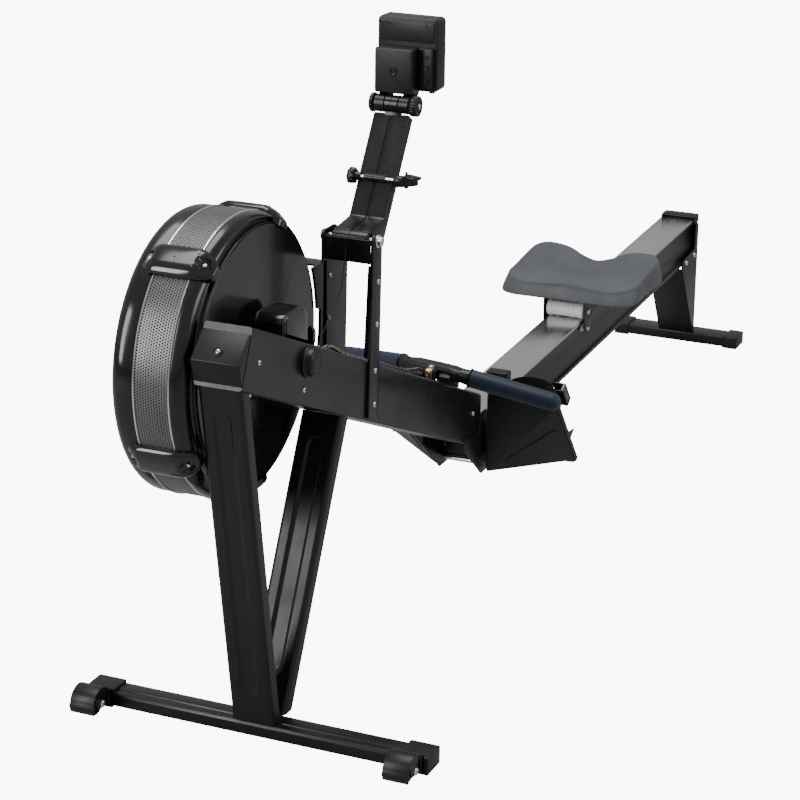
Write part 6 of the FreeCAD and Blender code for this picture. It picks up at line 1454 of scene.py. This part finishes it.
def handle_pieces():
    """Centre bar, grips with fine ribs, end flanges and swivel."""
    lateral, rear = handle_axes()
    up = np.cross(rear, lateral)
    parts, grips = [], []
    half = HANDLE_CENTRE / 2
    s = np.linspace(-1, 1, 41)
    path = HANDLE + lateral * (s * (half + 0.002))[:, None]
    width = 0.0145 - 0.0018 * smooth((np.abs(s) - 0.75) / 0.25)
    height = 0.0145 + 0.0006 * (1 - np.abs(s)) - 0.0028 * smooth((np.abs(s) - 0.55) / 0.45)
    angle = np.linspace(0, 2 * np.pi, 36, endpoint=False)
    square = np.stack([np.sign(np.cos(angle)) * np.abs(np.cos(angle)) ** 0.62,
        np.sign(np.sin(angle)) * np.abs(np.sin(angle)) ** 0.62], -1)
    sections = square[None] * np.stack([width, height], -1)[:, None]
    parts.append(sweep(path, sections, (0, 0, 1)))
    for side in (1, -1):
        bend = HANDLE_BEND
        out = lateral * (side * math.cos(bend)) + rear * math.sin(bend)
        inner = HANDLE + lateral * (side * half)
        collar = np.stack([inner + out * a for a in (-0.004, 0.0, 0.006, 0.0125, 0.0145)])
        parts.append(sweep(collar, disc([0.0132, 0.0136, 0.0142, 0.015, 0.0148], 40), up))
        flange = np.stack([inner + out * a for a in (0.012, 0.0124, 0.014, 0.0144)])
        parts.append(sweep(flange, disc([0.0168, 0.0178, 0.0178, 0.0168], 48), up))
        length = GRIP_LENGTH - 0.015
        a = np.linspace(0, 1, 150)
        body = GRIP_RADIUS * (1 - 0.035 * smooth((a - 0.55) / 0.45)) * np.ones_like(a)
        tip = GRIP_RADIUS * 0.965
        start = length - tip
        d = a * length
        inside = np.clip((d - start) / tip, 0, 1)
        radius = np.where(d > start, tip * np.sqrt(np.maximum(1 - inside**2, 0)), body)
        radius = np.maximum(radius, 0.0004)
        radius = radius + np.where((d > 0.004) & (d < start - 0.004),
            0.00016 * np.sin(d / 0.0021 * 2 * np.pi), 0)
        radius[0] = GRIP_RADIUS - 0.0018
        radius[1] = GRIP_RADIUS - 0.0004
        line = inner + out * (0.015 + d)[:, None]
        grips.append(sweep(line, disc(radius, 64), up))
    parts.append(lathe([(0.0001, 0.01), (0.0072, 0.01), (0.008, 0.009), (0.008, -0.0242),
        (0.0072, -0.0249), (0.0001, -0.025)], HANDLE, "x", 32))
    parts.append(lathe([(0.0001, -0.0084), (0.0112, -0.0084), (0.0124, -0.0074), (0.0124, 0.0074),
        (0.0112, 0.0084), (0.0001, 0.0084)], HANDLE + [-0.02, 0, 0], "z", 40))
    piece("handle_bar", parts, HANDLE_BLACK, "handle", ("handle_centre",), 40)
    piece("grips", grips, GRIP_NAVY, "handle", ("handle_grips",), 40)
    x = HANDLE[0] - 0.02
    inside, outside = 0.0086, 0.0112
    arms = [(x - 0.0135, HANDLE[2] - outside), (x + 0.0065, HANDLE[2] - outside),
        (x + 0.0065, HANDLE[2] - inside), (x - 0.0105, HANDLE[2] - inside),
        (x - 0.0105, HANDLE[2] + inside), (x + 0.0065, HANDLE[2] + inside),
        (x + 0.0065, HANDLE[2] + outside), (x - 0.0135, HANDLE[2] + outside)]
    yoke = slab(rounded(arms, [0.004, 0.0008, 0.0008, 0.002, 0.002, 0.0008, 0.0008, 0.004], 5), -0.006,
        0.006, 0.001)
    pin = lathe([(0.0001, -outside), (0.003, -outside), (0.003, outside + 0.0002),
        (0.0052, outside + 0.0004), (0.0054, outside + 0.0022), (0.0036, outside + 0.0038),
        (0.0001, outside + 0.004)], (x, 0, HANDLE[2]), "z", 28)
    eye = ring([(0.0022, -0.0012), (0.003, -0.0018), (0.0048, -0.0012), (0.0048, 0.0012),
        (0.003, 0.0018), (0.0022, 0.0012)], (HANDLE[0] - 0.035, 0, HANDLE[2] + 0.0012), "y", 24)
    piece("swivel", [yoke, pin, eye], BRASS, "handle", ("chain_swivel",), 40)


def rest_pieces():
    """The saddle that the handle is parked in: two cheeks that follow the beam's slope, with a front lip."""
    lateral, _ = handle_axes()
    parts = []
    for side in (-1, 1):
        y = sorted((side * 0.016, side * 0.0375))
        cx = HANDLE[0] + lateral[0] / lateral[1] * (sum(y) / 2)
        r = 0.015
        t = np.linspace(math.radians(175), math.radians(284), 12)
        bowl = [(cx + r * math.cos(a), HANDLE[2] + r * math.sin(a)) for a in t]
        x0, x1 = HANDLE[0] - 0.0255, HANDLE[0] + 0.0215
        outline = [(x0, beam_top(x0) + 0.0004), (x1, beam_top(x1) + 0.0004)]
        end = (x1, bowl[-1][1] + (x1 - bowl[-1][0]) * math.tan(math.radians(14)))
        outline += [end] + bowl[::-1] + [(x0, HANDLE[2] - 0.003)]
        parts.append(slab(outline, y[0], y[1], 0.0009))
    piece("rest", parts, CAP_BLACK, "base", ("handle_rest",), 35)


# ---------------------------------------------------------------- seat
def cubic(p0, p1, p2, p3, t):
    """The cubic from p1 to p2, its slopes half of p2 - p0 and of p3 - p1, at t from 0 to 1."""
    return 0.5 * (2 * p1 + (p2 - p0) * t + (2 * p0 - 5 * p1 + 4 * p2 - p3) * t**2
        + (3 * p1 - p0 - 3 * p2 + p3) * t**3)


def periodic(values, count):
    """A closed smooth curve through values, by cubic pieces with neighbour-to-neighbour slopes."""
    values = np.asarray(values, float)
    n = len(values)
    u = np.linspace(0, n, count, endpoint=False)
    k = u.astype(int)
    t = (u - k)[:, None] if values.ndim > 1 else u - k
    return cubic(values[(k - 1) % n], values[k % n], values[(k + 1) % n], values[(k + 2) % n], t)


def seat():
    """The moulded seat: a closed polar surface.

    Its plan is a closed smooth curve, its rim's height another. Inside the rim the top sinks to the
    middle with the power 1.7 of the distance, and the skirt falls to a flat underside.
    """
    plan = [(-0.74, 0.0, 0.032), (-0.82, 0.42, 0.03), (-0.8, 0.74, 0.031), (-0.52, 0.945, 0.034),
        (-0.08, 0.96, 0.039), (0.36, 0.965, 0.045), (0.78, 0.935, 0.052), (0.94, 0.77, 0.056),
        (0.935, 0.46, 0.052), (0.86, 0.19, 0.038), (0.84, 0.0, 0.032)]
    foot = [(-0.93, 0.0), (-0.95, 0.42), (-0.93, 0.8), (-0.7, 0.985), (-0.1, 0.995), (0.36, 0.995),
        (0.84, 0.985), (0.985, 0.86), (0.99, 0.48), (0.96, 0.2), (0.95, 0.0)]
    foot = foot + [(x, -y) for x, y in foot[-2:0:-1]]
    plan = plan + [(x, -y, z) for x, y, z in plan[-2:0:-1]]
    curve = periodic(plan, 256)
    rim_xy = curve[:, :2] * [SEAT_DEPTH / 2, SEAT_WIDTH / 2] * 0.993
    rim_z = curve[:, 2]
    base = SEAT_Z + 0.0002
    q = np.linspace(0.0, 0.955, 30)[1:]
    rows, heights = [], []
    middle = np.array([-0.004, 0.0])
    for share in q:
        rows.append(middle + (rim_xy - middle) * share)
        heights.append(0.0235 + (rim_z - 0.0235) * share**1.7)
    foot_xy = periodic(foot, 256) * [SEAT_DEPTH / 2, SEAT_WIDTH / 2] * 0.993
    normal = inward_normals(rim_xy)
    t = np.linspace(0.25, np.pi / 2, 8)
    for a in t:
        rows.append(rim_xy + normal * 0.006 * (1 - np.sin(a)))
        heights.append(rim_z - 0.005 * (1 - np.cos(a)) - 0.0002)
    for share, inset in ((0.75, -0.0004), (0.5, -0.0008), (0.25, -0.0006), (0.12, 0.0002),
            (0.05, 0.0012), (0.015, 0.0026), (0.0, 0.0046)):
        rows.append(rim_xy * share + foot_xy * (1 - share) + normal * inset)
        heights.append((rim_z - 0.0052) * share)
    under = foot_xy + normal * 0.0046
    for share in (0.92, 0.8):
        rows.append(under * share)
        heights.append(np.zeros(len(rim_z)))
    flat = np.array(rows) + [SEAT_X, 0]
    points = place(flat, np.array(heights) + base, "z")
    made = piece("seat_cushion", [patch(points)], SEAT_GREY, "seat", ("seat_pad",), 60)
    return made


def seat_pieces():
    """Seat, its carriage plates, rollers and pins."""
    seat()
    half = RAIL_HALF + 0.005
    plate = 0.002
    reach = ROLLER_SPREAD / 2 + 0.018
    x0, x1 = SEAT_X - reach, SEAT_X + reach
    top = box((x0, x1), (-half - plate, half + plate), (SEAT_Z - plate - 0.0001, SEAT_Z - 0.0001),
        0.0008, 0.004, "z")
    axles = [SEAT_X - ROLLER_SPREAD / 2, SEAT_X + ROLLER_SPREAD / 2]
    lower_z = [rail_top(x) - TRACK_THICKNESS - RAIL_FLANGE - 0.0085 - 0.0004 for x in axles]
    low = min(lower_z) - 0.008
    side = [(x0, SEAT_Z - 0.001), (x0, low + 0.024), (x0 + 0.012, low), (x0 + 0.028, low),
        (SEAT_X - 0.03, low + 0.026), (SEAT_X + 0.03, low + 0.026), (x1 - 0.028, low), (x1 - 0.012, low),
        (x1, low + 0.024), (x1, SEAT_Z - 0.001)]
    outline = rounded(side, [0.001, 0.004, 0.005, 0.006, 0.012, 0.012, 0.006, 0.005, 0.004, 0.001], 4)
    cheek = slab(outline, half, half + plate, 0.0006)
    tie = box((SEAT_X - 0.02, SEAT_X + 0.02), (half + plate - 0.0002, half + plate + 0.003),
        (SEAT_Z - 0.01, SEAT_Z - 0.002), 0.0008)
    piece("seat_cradle", [top, cheek, other_side(cheek), tie, other_side(tie)], FRAME_BLACK, "seat",
        ("seat_carriage",), 35)
    names = ("front", "rear")
    pins = []
    for k, x in enumerate(axles):
        z = rail_top(x) + ROLLER_RADIUS / math.cos(RAIL_SLOPE) + 0.00005
        r = ROLLER_RADIUS
        prof = [(0.0041, -0.04), (0.0135, -0.04), (0.0155, -0.0394), (r - 0.0004, -0.0385), (r, -0.0372),
            (r, -0.029), (r - 0.0012, -0.0282), (r - 0.0014, 0.0), (r - 0.0012, 0.0282), (r, 0.029),
            (r, 0.0372), (r - 0.0004, 0.0385), (0.0155, 0.0394), (0.0135, 0.04), (0.0041, 0.04)]
        extra = [(r - 0.0014, -0.018), (r - 0.0004, -0.0172), (r - 0.0004, -0.015), (r - 0.0014, -0.0142)]
        prof = prof[:7] + extra + [(r - 0.0014, 0.0)] + [(a, -b) for a, b in extra[::-1]] + prof[8:]
        piece(f"{names[k]}_roller", [ring(prof, (x, 0, z), "y", 48)], ROLLER_WHITE,
            f"top_roller_{names[k]}", (f"{names[k]}_top_roller",), 35)
        inner = RAIL_HALF - TRACK_THICKNESS - RAIL_RECESS + 0.0006
        small = [(0.0031, inner), (0.007, inner), (0.0082, inner + 0.0006), (0.0085, inner + 0.0014),
            (0.0085, inner + 0.0034), (0.008, inner + 0.0042), (0.007, inner + 0.0045),
            (0.0031, inner + 0.0045)]
        guide = ring(small, (x, 0, lower_z[k]), "y", 32)
        piece(f"{names[k]}_guides", [guide, other_side(guide)], ROLLER_WHITE,
            f"guide_rollers_{names[k]}", (f"{names[k]}_lower_rollers",), 35)
        end = half + plate + 0.004
        shaft = [(0.0001, -end), (0.0045, -end), (0.006, -end + 0.0006), (0.0066, -end + 0.0016),
            (0.0066, -half - plate), (0.0039, -half - plate), (0.0039, half + plate),
            (0.0066, half + plate), (0.0066, end - 0.0016), (0.006, end - 0.0006), (0.0045, end),
            (0.0001, end)]
        pins.append(lathe(shaft, (x, 0, z), "y", 32))
        stub = lathe([(0.0001, inner), (0.0029, inner), (0.0029, half + plate), (0.0054, half + plate),
            (0.0054, end - 0.001), (0.0046, end), (0.0001, end)], (x, 0, lower_z[k]), "y", 24)
        pins += [stub, other_side(stub)]
    piece("roller_pins", pins, BOLT_STEEL, "seat", ("roller_axles",), 40)


# ---------------------------------------------------------------- footrests
def sole_frame():
    """Unit vectors up the sole and out of it, as (x, z)."""
    rise = SOLE_TOE - SOLE_HEEL
    up = rise[[0, 2]] / np.hypot(rise[0], rise[2])
    return up, np.array([up[1], -up[0]])


def on_sole(along, out):
    """The (x, z) of a point by its distance up the sole from the heel and out of it."""
    up, normal = sole_frame()
    return SOLE_HEEL[[0, 2]] + np.multiply.outer(along, up) + np.multiply.outer(out, normal)


def facet_shell():
    """The wedge under the foot: an upright front, a slanted outer skirt and a sole, with thick edges.

    Each facet is a flat plate: its corners drawn in a little, carried 3 mm inwards along its normal.
    """
    low = np.array([SOLE_TOE[0], -FOOT_INNER_Y, SKIRT_BOTTOM_Z])
    heel_in = np.array([SOLE_HEEL[0], -FOOT_INNER_Y, SOLE_HEEL[2]])
    heel_out = np.array([SOLE_HEEL[0], -FOOT_OUTER_Y, SOLE_HEEL[2]])
    toe_in = np.array([SOLE_TOE[0], -FOOT_INNER_Y, SOLE_TOE[2]])
    toe_out = np.array([SOLE_TOE[0], -FOOT_OUTER_Y, SOLE_TOE[2]])
    middle = (low + heel_in + heel_out + toe_in + toe_out) / 5
    parts = []
    for corners, radius in (((low, toe_out, toe_in), 0.004), ((low, heel_out, toe_out), 0.004),
            ((heel_in, toe_in, toe_out, heel_out), 0.003), ((low, heel_in, heel_out), 0.003)):
        ring_points = np.array(corners)
        origin = ring_points[0]
        e1 = ring_points[1] - origin
        e1 /= np.linalg.norm(e1)
        normal = np.cross(e1, ring_points[2] - origin)
        normal /= np.linalg.norm(normal)
        if np.dot(middle - origin, normal) < 0:
            normal = -normal
        e2 = np.cross(normal, e1)
        flat = np.stack([(ring_points - origin) @ e1, (ring_points - origin) @ e2], -1)
        part = slab(rounded(flat, radius, 4), 0.0001, 0.0032, 0.0012, "z")
        turn = np.stack([e1, e2, normal], -1)
        parts.append(moved(part, turn, origin))
    return parts


def skirt_rib():
    """The raised bar and its recess on the skirt's slanted facet."""
    low = np.array([SOLE_TOE[0], -FOOT_INNER_Y, SKIRT_BOTTOM_Z])
    heel_out = np.array([SOLE_HEEL[0], -FOOT_OUTER_Y, SOLE_HEEL[2]])
    toe_out = np.array([SOLE_TOE[0], -FOOT_OUTER_Y, SOLE_TOE[2]])
    out = np.cross(heel_out - low, toe_out - low)
    out /= np.linalg.norm(out)
    if out[1] > 0:
        out = -out
    a = low + 0.26 * (heel_out - low) * 0.42 + 0.16 * (toe_out - low)
    b = low + 0.3 * (heel_out - low) + 0.58 * (toe_out - low)
    along = (b - a) / np.linalg.norm(b - a)
    side = np.cross(out, along)
    length = np.linalg.norm(b - a)
    turn = np.stack([along, side, out], -1)
    bar = moved(box((0, length), (-0.003, 0.003), (-0.001, 0.0016), 0.0006, 0.001, "z"), turn, a)
    rim = []
    for k in (-1, 1):
        rim.append(moved(box((-0.0015, length + 0.0015), (k * 0.0048 - 0.0006, k * 0.0048 + 0.0006),
            (-0.001, 0.0008), 0.0003, 0.0004, "z"), turn, a))
    return [bar] + rim


def board():
    """The inclined board: a rounded plate with ribs up its face and a rounded lip round its edge."""
    up, normal = sole_frame()
    length = math.hypot(*(SOLE_TOE - SOLE_HEEL)[[0, 2]])
    top = length + 0.038
    outline = rounded([(-0.014, -FOOT_OUTER_Y), (top, -FOOT_OUTER_Y), (top, -FOOT_INNER_Y),
        (-0.014, -FOOT_INNER_Y)], [0.018, 0.02, 0.02, 0.018], 10)
    turn = np.array([[up[0], 0, normal[0]], [0, 1, 0], [up[1], 0, normal[1]]])
    parts = [moved(slab(outline, 0.0001, 0.006, 0.0014, "z"), turn, SOLE_HEEL)]
    for k in range(9):
        y = -FOOT_INNER_Y - 0.03 - 0.01 * k
        parts.append(moved(box((0.006, top - 0.012), (y - 0.0011, y + 0.0011), (0.0055, 0.0068), 0.0005,
            0.0008, "z"), turn, SOLE_HEEL))
    edge = rounded([(-0.012, -FOOT_OUTER_Y + 0.002), (top - 0.002, -FOOT_OUTER_Y + 0.002),
        (top - 0.002, -FOOT_INNER_Y - 0.002), (-0.012, -FOOT_INNER_Y - 0.002)], 0.017, 10)
    lip = place(edge, 0.0062, "z") @ turn.T + SOLE_HEEL
    closed = np.concatenate([lip, lip[:2]])
    parts.append(sweep(closed, disc(0.0014, 8), tuple(turn[:, 2])))
    return parts


def heel():
    """Heel cup: a plate on the board with cross ribs, and a curved upright wall that wraps the heel.

    The wall follows a U in the board's plane; its height falls from 58 mm behind the heel to
    nothing along the sides.
    """
    up, normal = sole_frame()
    turn = np.array([[up[0], 0, normal[0]], [0, 1, 0], [up[1], 0, normal[1]]])
    base = 0.0068
    y0, y1 = -FOOT_OUTER_Y + 0.0215, -FOOT_INNER_Y - 0.0215
    centre_y = (y0 + y1) / 2
    plate = slab(rounded([(-0.004, y0), (0.118, y0), (0.118, y1), (-0.004, y1)],
        [0.02, 0.01, 0.01, 0.02], 6), base, base + 0.0036, 0.001, "z")
    parts = [moved(plate, turn, SOLE_HEEL)]
    for k in range(5):
        s = 0.03 + 0.016 * k
        parts.append(moved(box((s - 0.003, s + 0.003), (centre_y - 0.014, centre_y + 0.014),
            (base + 0.003, base + 0.0046), 0.0006, 0.003, "z"), turn, SOLE_HEEL))
    half = (y1 - y0) / 2
    bend = 0.026
    straight = np.linspace(0.062, bend, 14)
    t = np.linspace(0, np.pi / 2, 12)[1:]
    side_a = np.stack([straight, np.full_like(straight, half)], -1)
    corner = np.stack([bend - (bend + 0.004) * np.sin(t), (half - bend) + bend * np.cos(t)], -1)
    u_half = np.concatenate([side_a, corner, [[-0.004, 0.0]]])
    line = np.concatenate([u_half, (u_half * [1, -1])[::-1][1:]])
    reach = np.clip(1 - (line[:, 0] + 0.004) / 0.066, 0, 1)
    tall = 0.002 + 0.054 * smooth(reach * 1.25)
    lean = 0.006 * smooth(reach)
    tangent = np.gradient(line, axis=0)
    tangent /= np.linalg.norm(tangent, axis=1, keepdims=True)
    side_n = np.stack([-tangent[:, 1], tangent[:, 0]], -1)
    thick = 0.003
    rows = []
    steps = [(0.0, 0.0), (0.0, 0.96), (0.25, 0.995), (0.5, 1.0), (0.75, 0.995), (1.0, 0.96), (1.0, 0.0)]
    for across, share in steps:
        flat = line + side_n * (across - 0.5) * thick
        flat[:, 0] -= lean * share
        rows.append(np.stack([flat[:, 0], flat[:, 1] + centre_y, base + 0.001 + tall * share], -1))
    grid = np.array(rows).transpose(1, 0, 2)
    wall = patch(grid, True, (True, True))
    parts.append(moved(wall, turn, SOLE_HEEL))
    return parts


def strap():
    """Webbing strap: a flat rounded section carried over the toes."""
    low, width = 0.136, 0.038
    outer, inner = -FOOT_OUTER_Y + 0.0155, -FOOT_INNER_Y - 0.0155
    control = [(outer, 0.0062), (outer - 0.0015, 0.018), (outer - 0.001, 0.032), (outer + 0.01, 0.046),
        (outer + 0.028, 0.0575), (outer + 0.05, 0.061), (inner - 0.05, 0.061), (inner - 0.028, 0.0575),
        (inner - 0.01, 0.046), (inner + 0.001, 0.032), (inner + 0.0015, 0.018), (inner, 0.0062)]
    control = np.array(control)
    count = 90
    k = np.linspace(0, len(control) - 1, count)
    i = np.minimum(k.astype(int), len(control) - 2)
    t = (k - i)[:, None]
    pad = np.concatenate([control[:1] * 2 - control[1:2], control, control[-1:] * 2 - control[-2:-1]])
    line = cubic(pad[i], pad[i + 1], pad[i + 2], pad[i + 3], t)
    tangent = np.gradient(line, axis=0)
    tangent /= np.linalg.norm(tangent, axis=1, keepdims=True)
    out = np.stack([-tangent[:, 1], tangent[:, 0]], -1)
    half = width / 2
    edge = np.linspace(-1, 1, 15)
    ribs = 0.00012 * np.cos(edge * 20)
    top = np.stack([edge * half, 0.001 * (1 - np.abs(edge) ** 10) + ribs], -1)
    section = np.concatenate([top, (top * [1, -1])[::-1][1:-1]])
    rows = []
    for p, n in zip(line, out):
        s = low + half + section[:, 0]
        yz = p[None] + n[None] * section[:, 1:2]
        xz = on_sole(s, yz[:, 1])
        rows.append(np.stack([xz[:, 0], yz[:, 0], xz[:, 1]], -1))
    return patch(np.array(rows))


def buckle():
    """Cam buckle: a rounded frame with a lever and a bar, on the strap's outer leg."""
    y = -FOOT_OUTER_Y + 0.012
    parts = []

    def block(a, b, low, high, edge=0.0012):
        corners = np.array([on_sole(a[0], b[0]), on_sole(a[1], b[0]), on_sole(a[1], b[1]),
            on_sole(a[0], b[1])])
        return slab(rounded(corners, edge * 1.6, 4), low, high, edge)

    parts.append(block((0.13, 0.18), (0.0365, 0.04), y - 0.0088, y + 0.005))
    parts.append(block((0.13, 0.18), (0.052, 0.0556), y - 0.0088, y + 0.017))
    parts.append(block((0.13, 0.1335), (0.0365, 0.0556), y - 0.0088, y - 0.002))
    parts.append(block((0.1765, 0.18), (0.0365, 0.0556), y - 0.0088, y - 0.002))
    parts.append(block((0.1345, 0.1755), (0.042, 0.054), y - 0.0078, y - 0.004, 0.0014))
    return parts


def footrest_pieces():
    """Both footrests: the -Y side's parts and their mirror images."""
    shell = facet_shell() + skirt_rib()
    lug = lathe([(0.0053, -FOOT_INNER_Y - 0.008), (0.012, -FOOT_INNER_Y - 0.008),
        (0.013, -FOOT_INNER_Y - 0.007), (0.013, -FOOT_INNER_Y - 0.0002),
        (0.0053, -FOOT_INNER_Y - 0.0002)], (SOLE_TOE[0] + 0.014, 0, SKIRT_BOTTOM_Z + 0.012), "y", 40)
    shell = shell + [lug]
    piece("rest_shells", shell + [other_side(p) for p in shell], FOOT_GREY, "base", ("footrest_shells",),
        35)
    plates = board()
    piece("rest_boards", plates + [other_side(p) for p in plates], FOOT_GREY, "base", ("foot_boards",),
        35)
    cup = heel()
    piece("heel_cup_near", cup, HEEL_GREY, "heel_left", ("heel_cup_left",), 40)
    piece("heel_cup_far", [other_side(p) for p in cup], HEEL_GREY, "heel_right", ("heel_cup_right",),
        40)
    band = strap()
    piece("toe_straps", [band, other_side(band)], WEBBING, "base", ("foot_straps",), 40)
    clasp = buckle()
    piece("buckles", clasp + [other_side(p) for p in clasp], BUCKLE_BLACK, "base", ("strap_buckles",),
        35)
    x, z = SOLE_TOE[0] + 0.014, SKIRT_BOTTOM_Z + 0.012
    end = FOOT_INNER_Y + 0.012
    rod = lathe([(0.0001, -end), (0.0049, -end), (0.0049, end), (0.0001, end)], (x, 0, z), "y", 24)
    nuts = [button_head((x, side * (FOOT_INNER_Y + 0.0115), z), 0.0085, (0, side, 0)) for side in (-1, 1)]
    piece("tie_rod", [rod] + nuts, BOLT_STEEL, "base", ("footrest_cross_rod",), 40)


# ---------------------------------------------------------------- fasteners
def fastener_pieces(extra):
    """Every visible screw and bolt head of the frame, and the ones handed in."""
    heads = list(extra)

    def beam_point(along, up):
        c, s = math.cos(BEAM_SLOPE), math.sin(BEAM_SLOPE)
        return BEAM_NOSE[0] + along * c + up * s, BEAM_NOSE[2] - along * s + up * c

    for along, up, sides in ((0.0396, -0.0484, (-1,)), (0.2177, -0.072, (-1,)), (0.99, -0.04, (-1, 1))):
        x, z = beam_point(along, up)
        heads += [button_head((x, side * (BEAM_HALF + 0.0006), z), 0.0046,
            (0, side, 0)) for side in sides]
    for x, z in ((-0.705, 0.664), (-0.709, 0.592), (-0.714, 0.513), (-0.717, 0.455)):
        heads += [button_head((x, side * (BEAM_HALF + 0.0056), z), 0.005, (0, side, 0)) for side in (-1,
            1)]
        if z > beam_top(x):
            heads += [button_head((x, side * (BEAM_HALF - 0.001), z), 0.004,
                (0, -side, 0)) for side in (-1, 1)]
    for x, y in bolt_places():
        heads.append(button_head((x, y, FOOT_Z[1] + 0.0042), 0.0058, (0, 0, 1)))
    slope = (-math.sin(BEAM_SLOPE), 0, -math.cos(BEAM_SLOPE))
    for x in (-1.15, -0.8):
        for side in (-1, 1):
            heads.append(button_head((x + 0.004 if x < -1 else x, side * 0.03, beam_bottom(x) - 0.0034),
                0.0056, slope))
    low = rail_top(1.042) - RAIL_HEIGHT + 0.006
    back = rail_top(1.158) - RAIL_HEIGHT + 0.006
    for x, z in ((1.066, low), (1.126, back)):
        heads += [button_head((x, side * (RAIL_HALF + 0.004), z), 0.0062, (0, side, 0)) for side in (-1,
            1)]
    piece("screw_heads", heads, BOLT_STEEL, "base", ("frame_screws",), 40)


# ---------------------------------------------------------------- build
camera()
floor()
lights()
wire()
cap_screw = frame_pieces()
leg_pieces()
floor_pieces()
rear_leg()
rail_pieces()
clip_screws = housing_pieces()
upright_pieces()
holder_at = arm_pieces()
holder_pieces(holder_at)
monitor_pieces()
chain_piece, chain_route = chain()
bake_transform(chain_piece)
handle_pieces()
rest_pieces()
seat_pieces()
footrest_pieces()
fastener_pieces([cap_screw] + clip_screws)

for name, material in (("fan_rotor", ROTOR_GREY), ("damper_lever", DAMPER_GREY),
        ("flywheel_axle", BOLT_STEEL), ("clutch_sprocket", ROTOR_GREY)):
    for at in nodes[name].material_slots:
        at.material = material
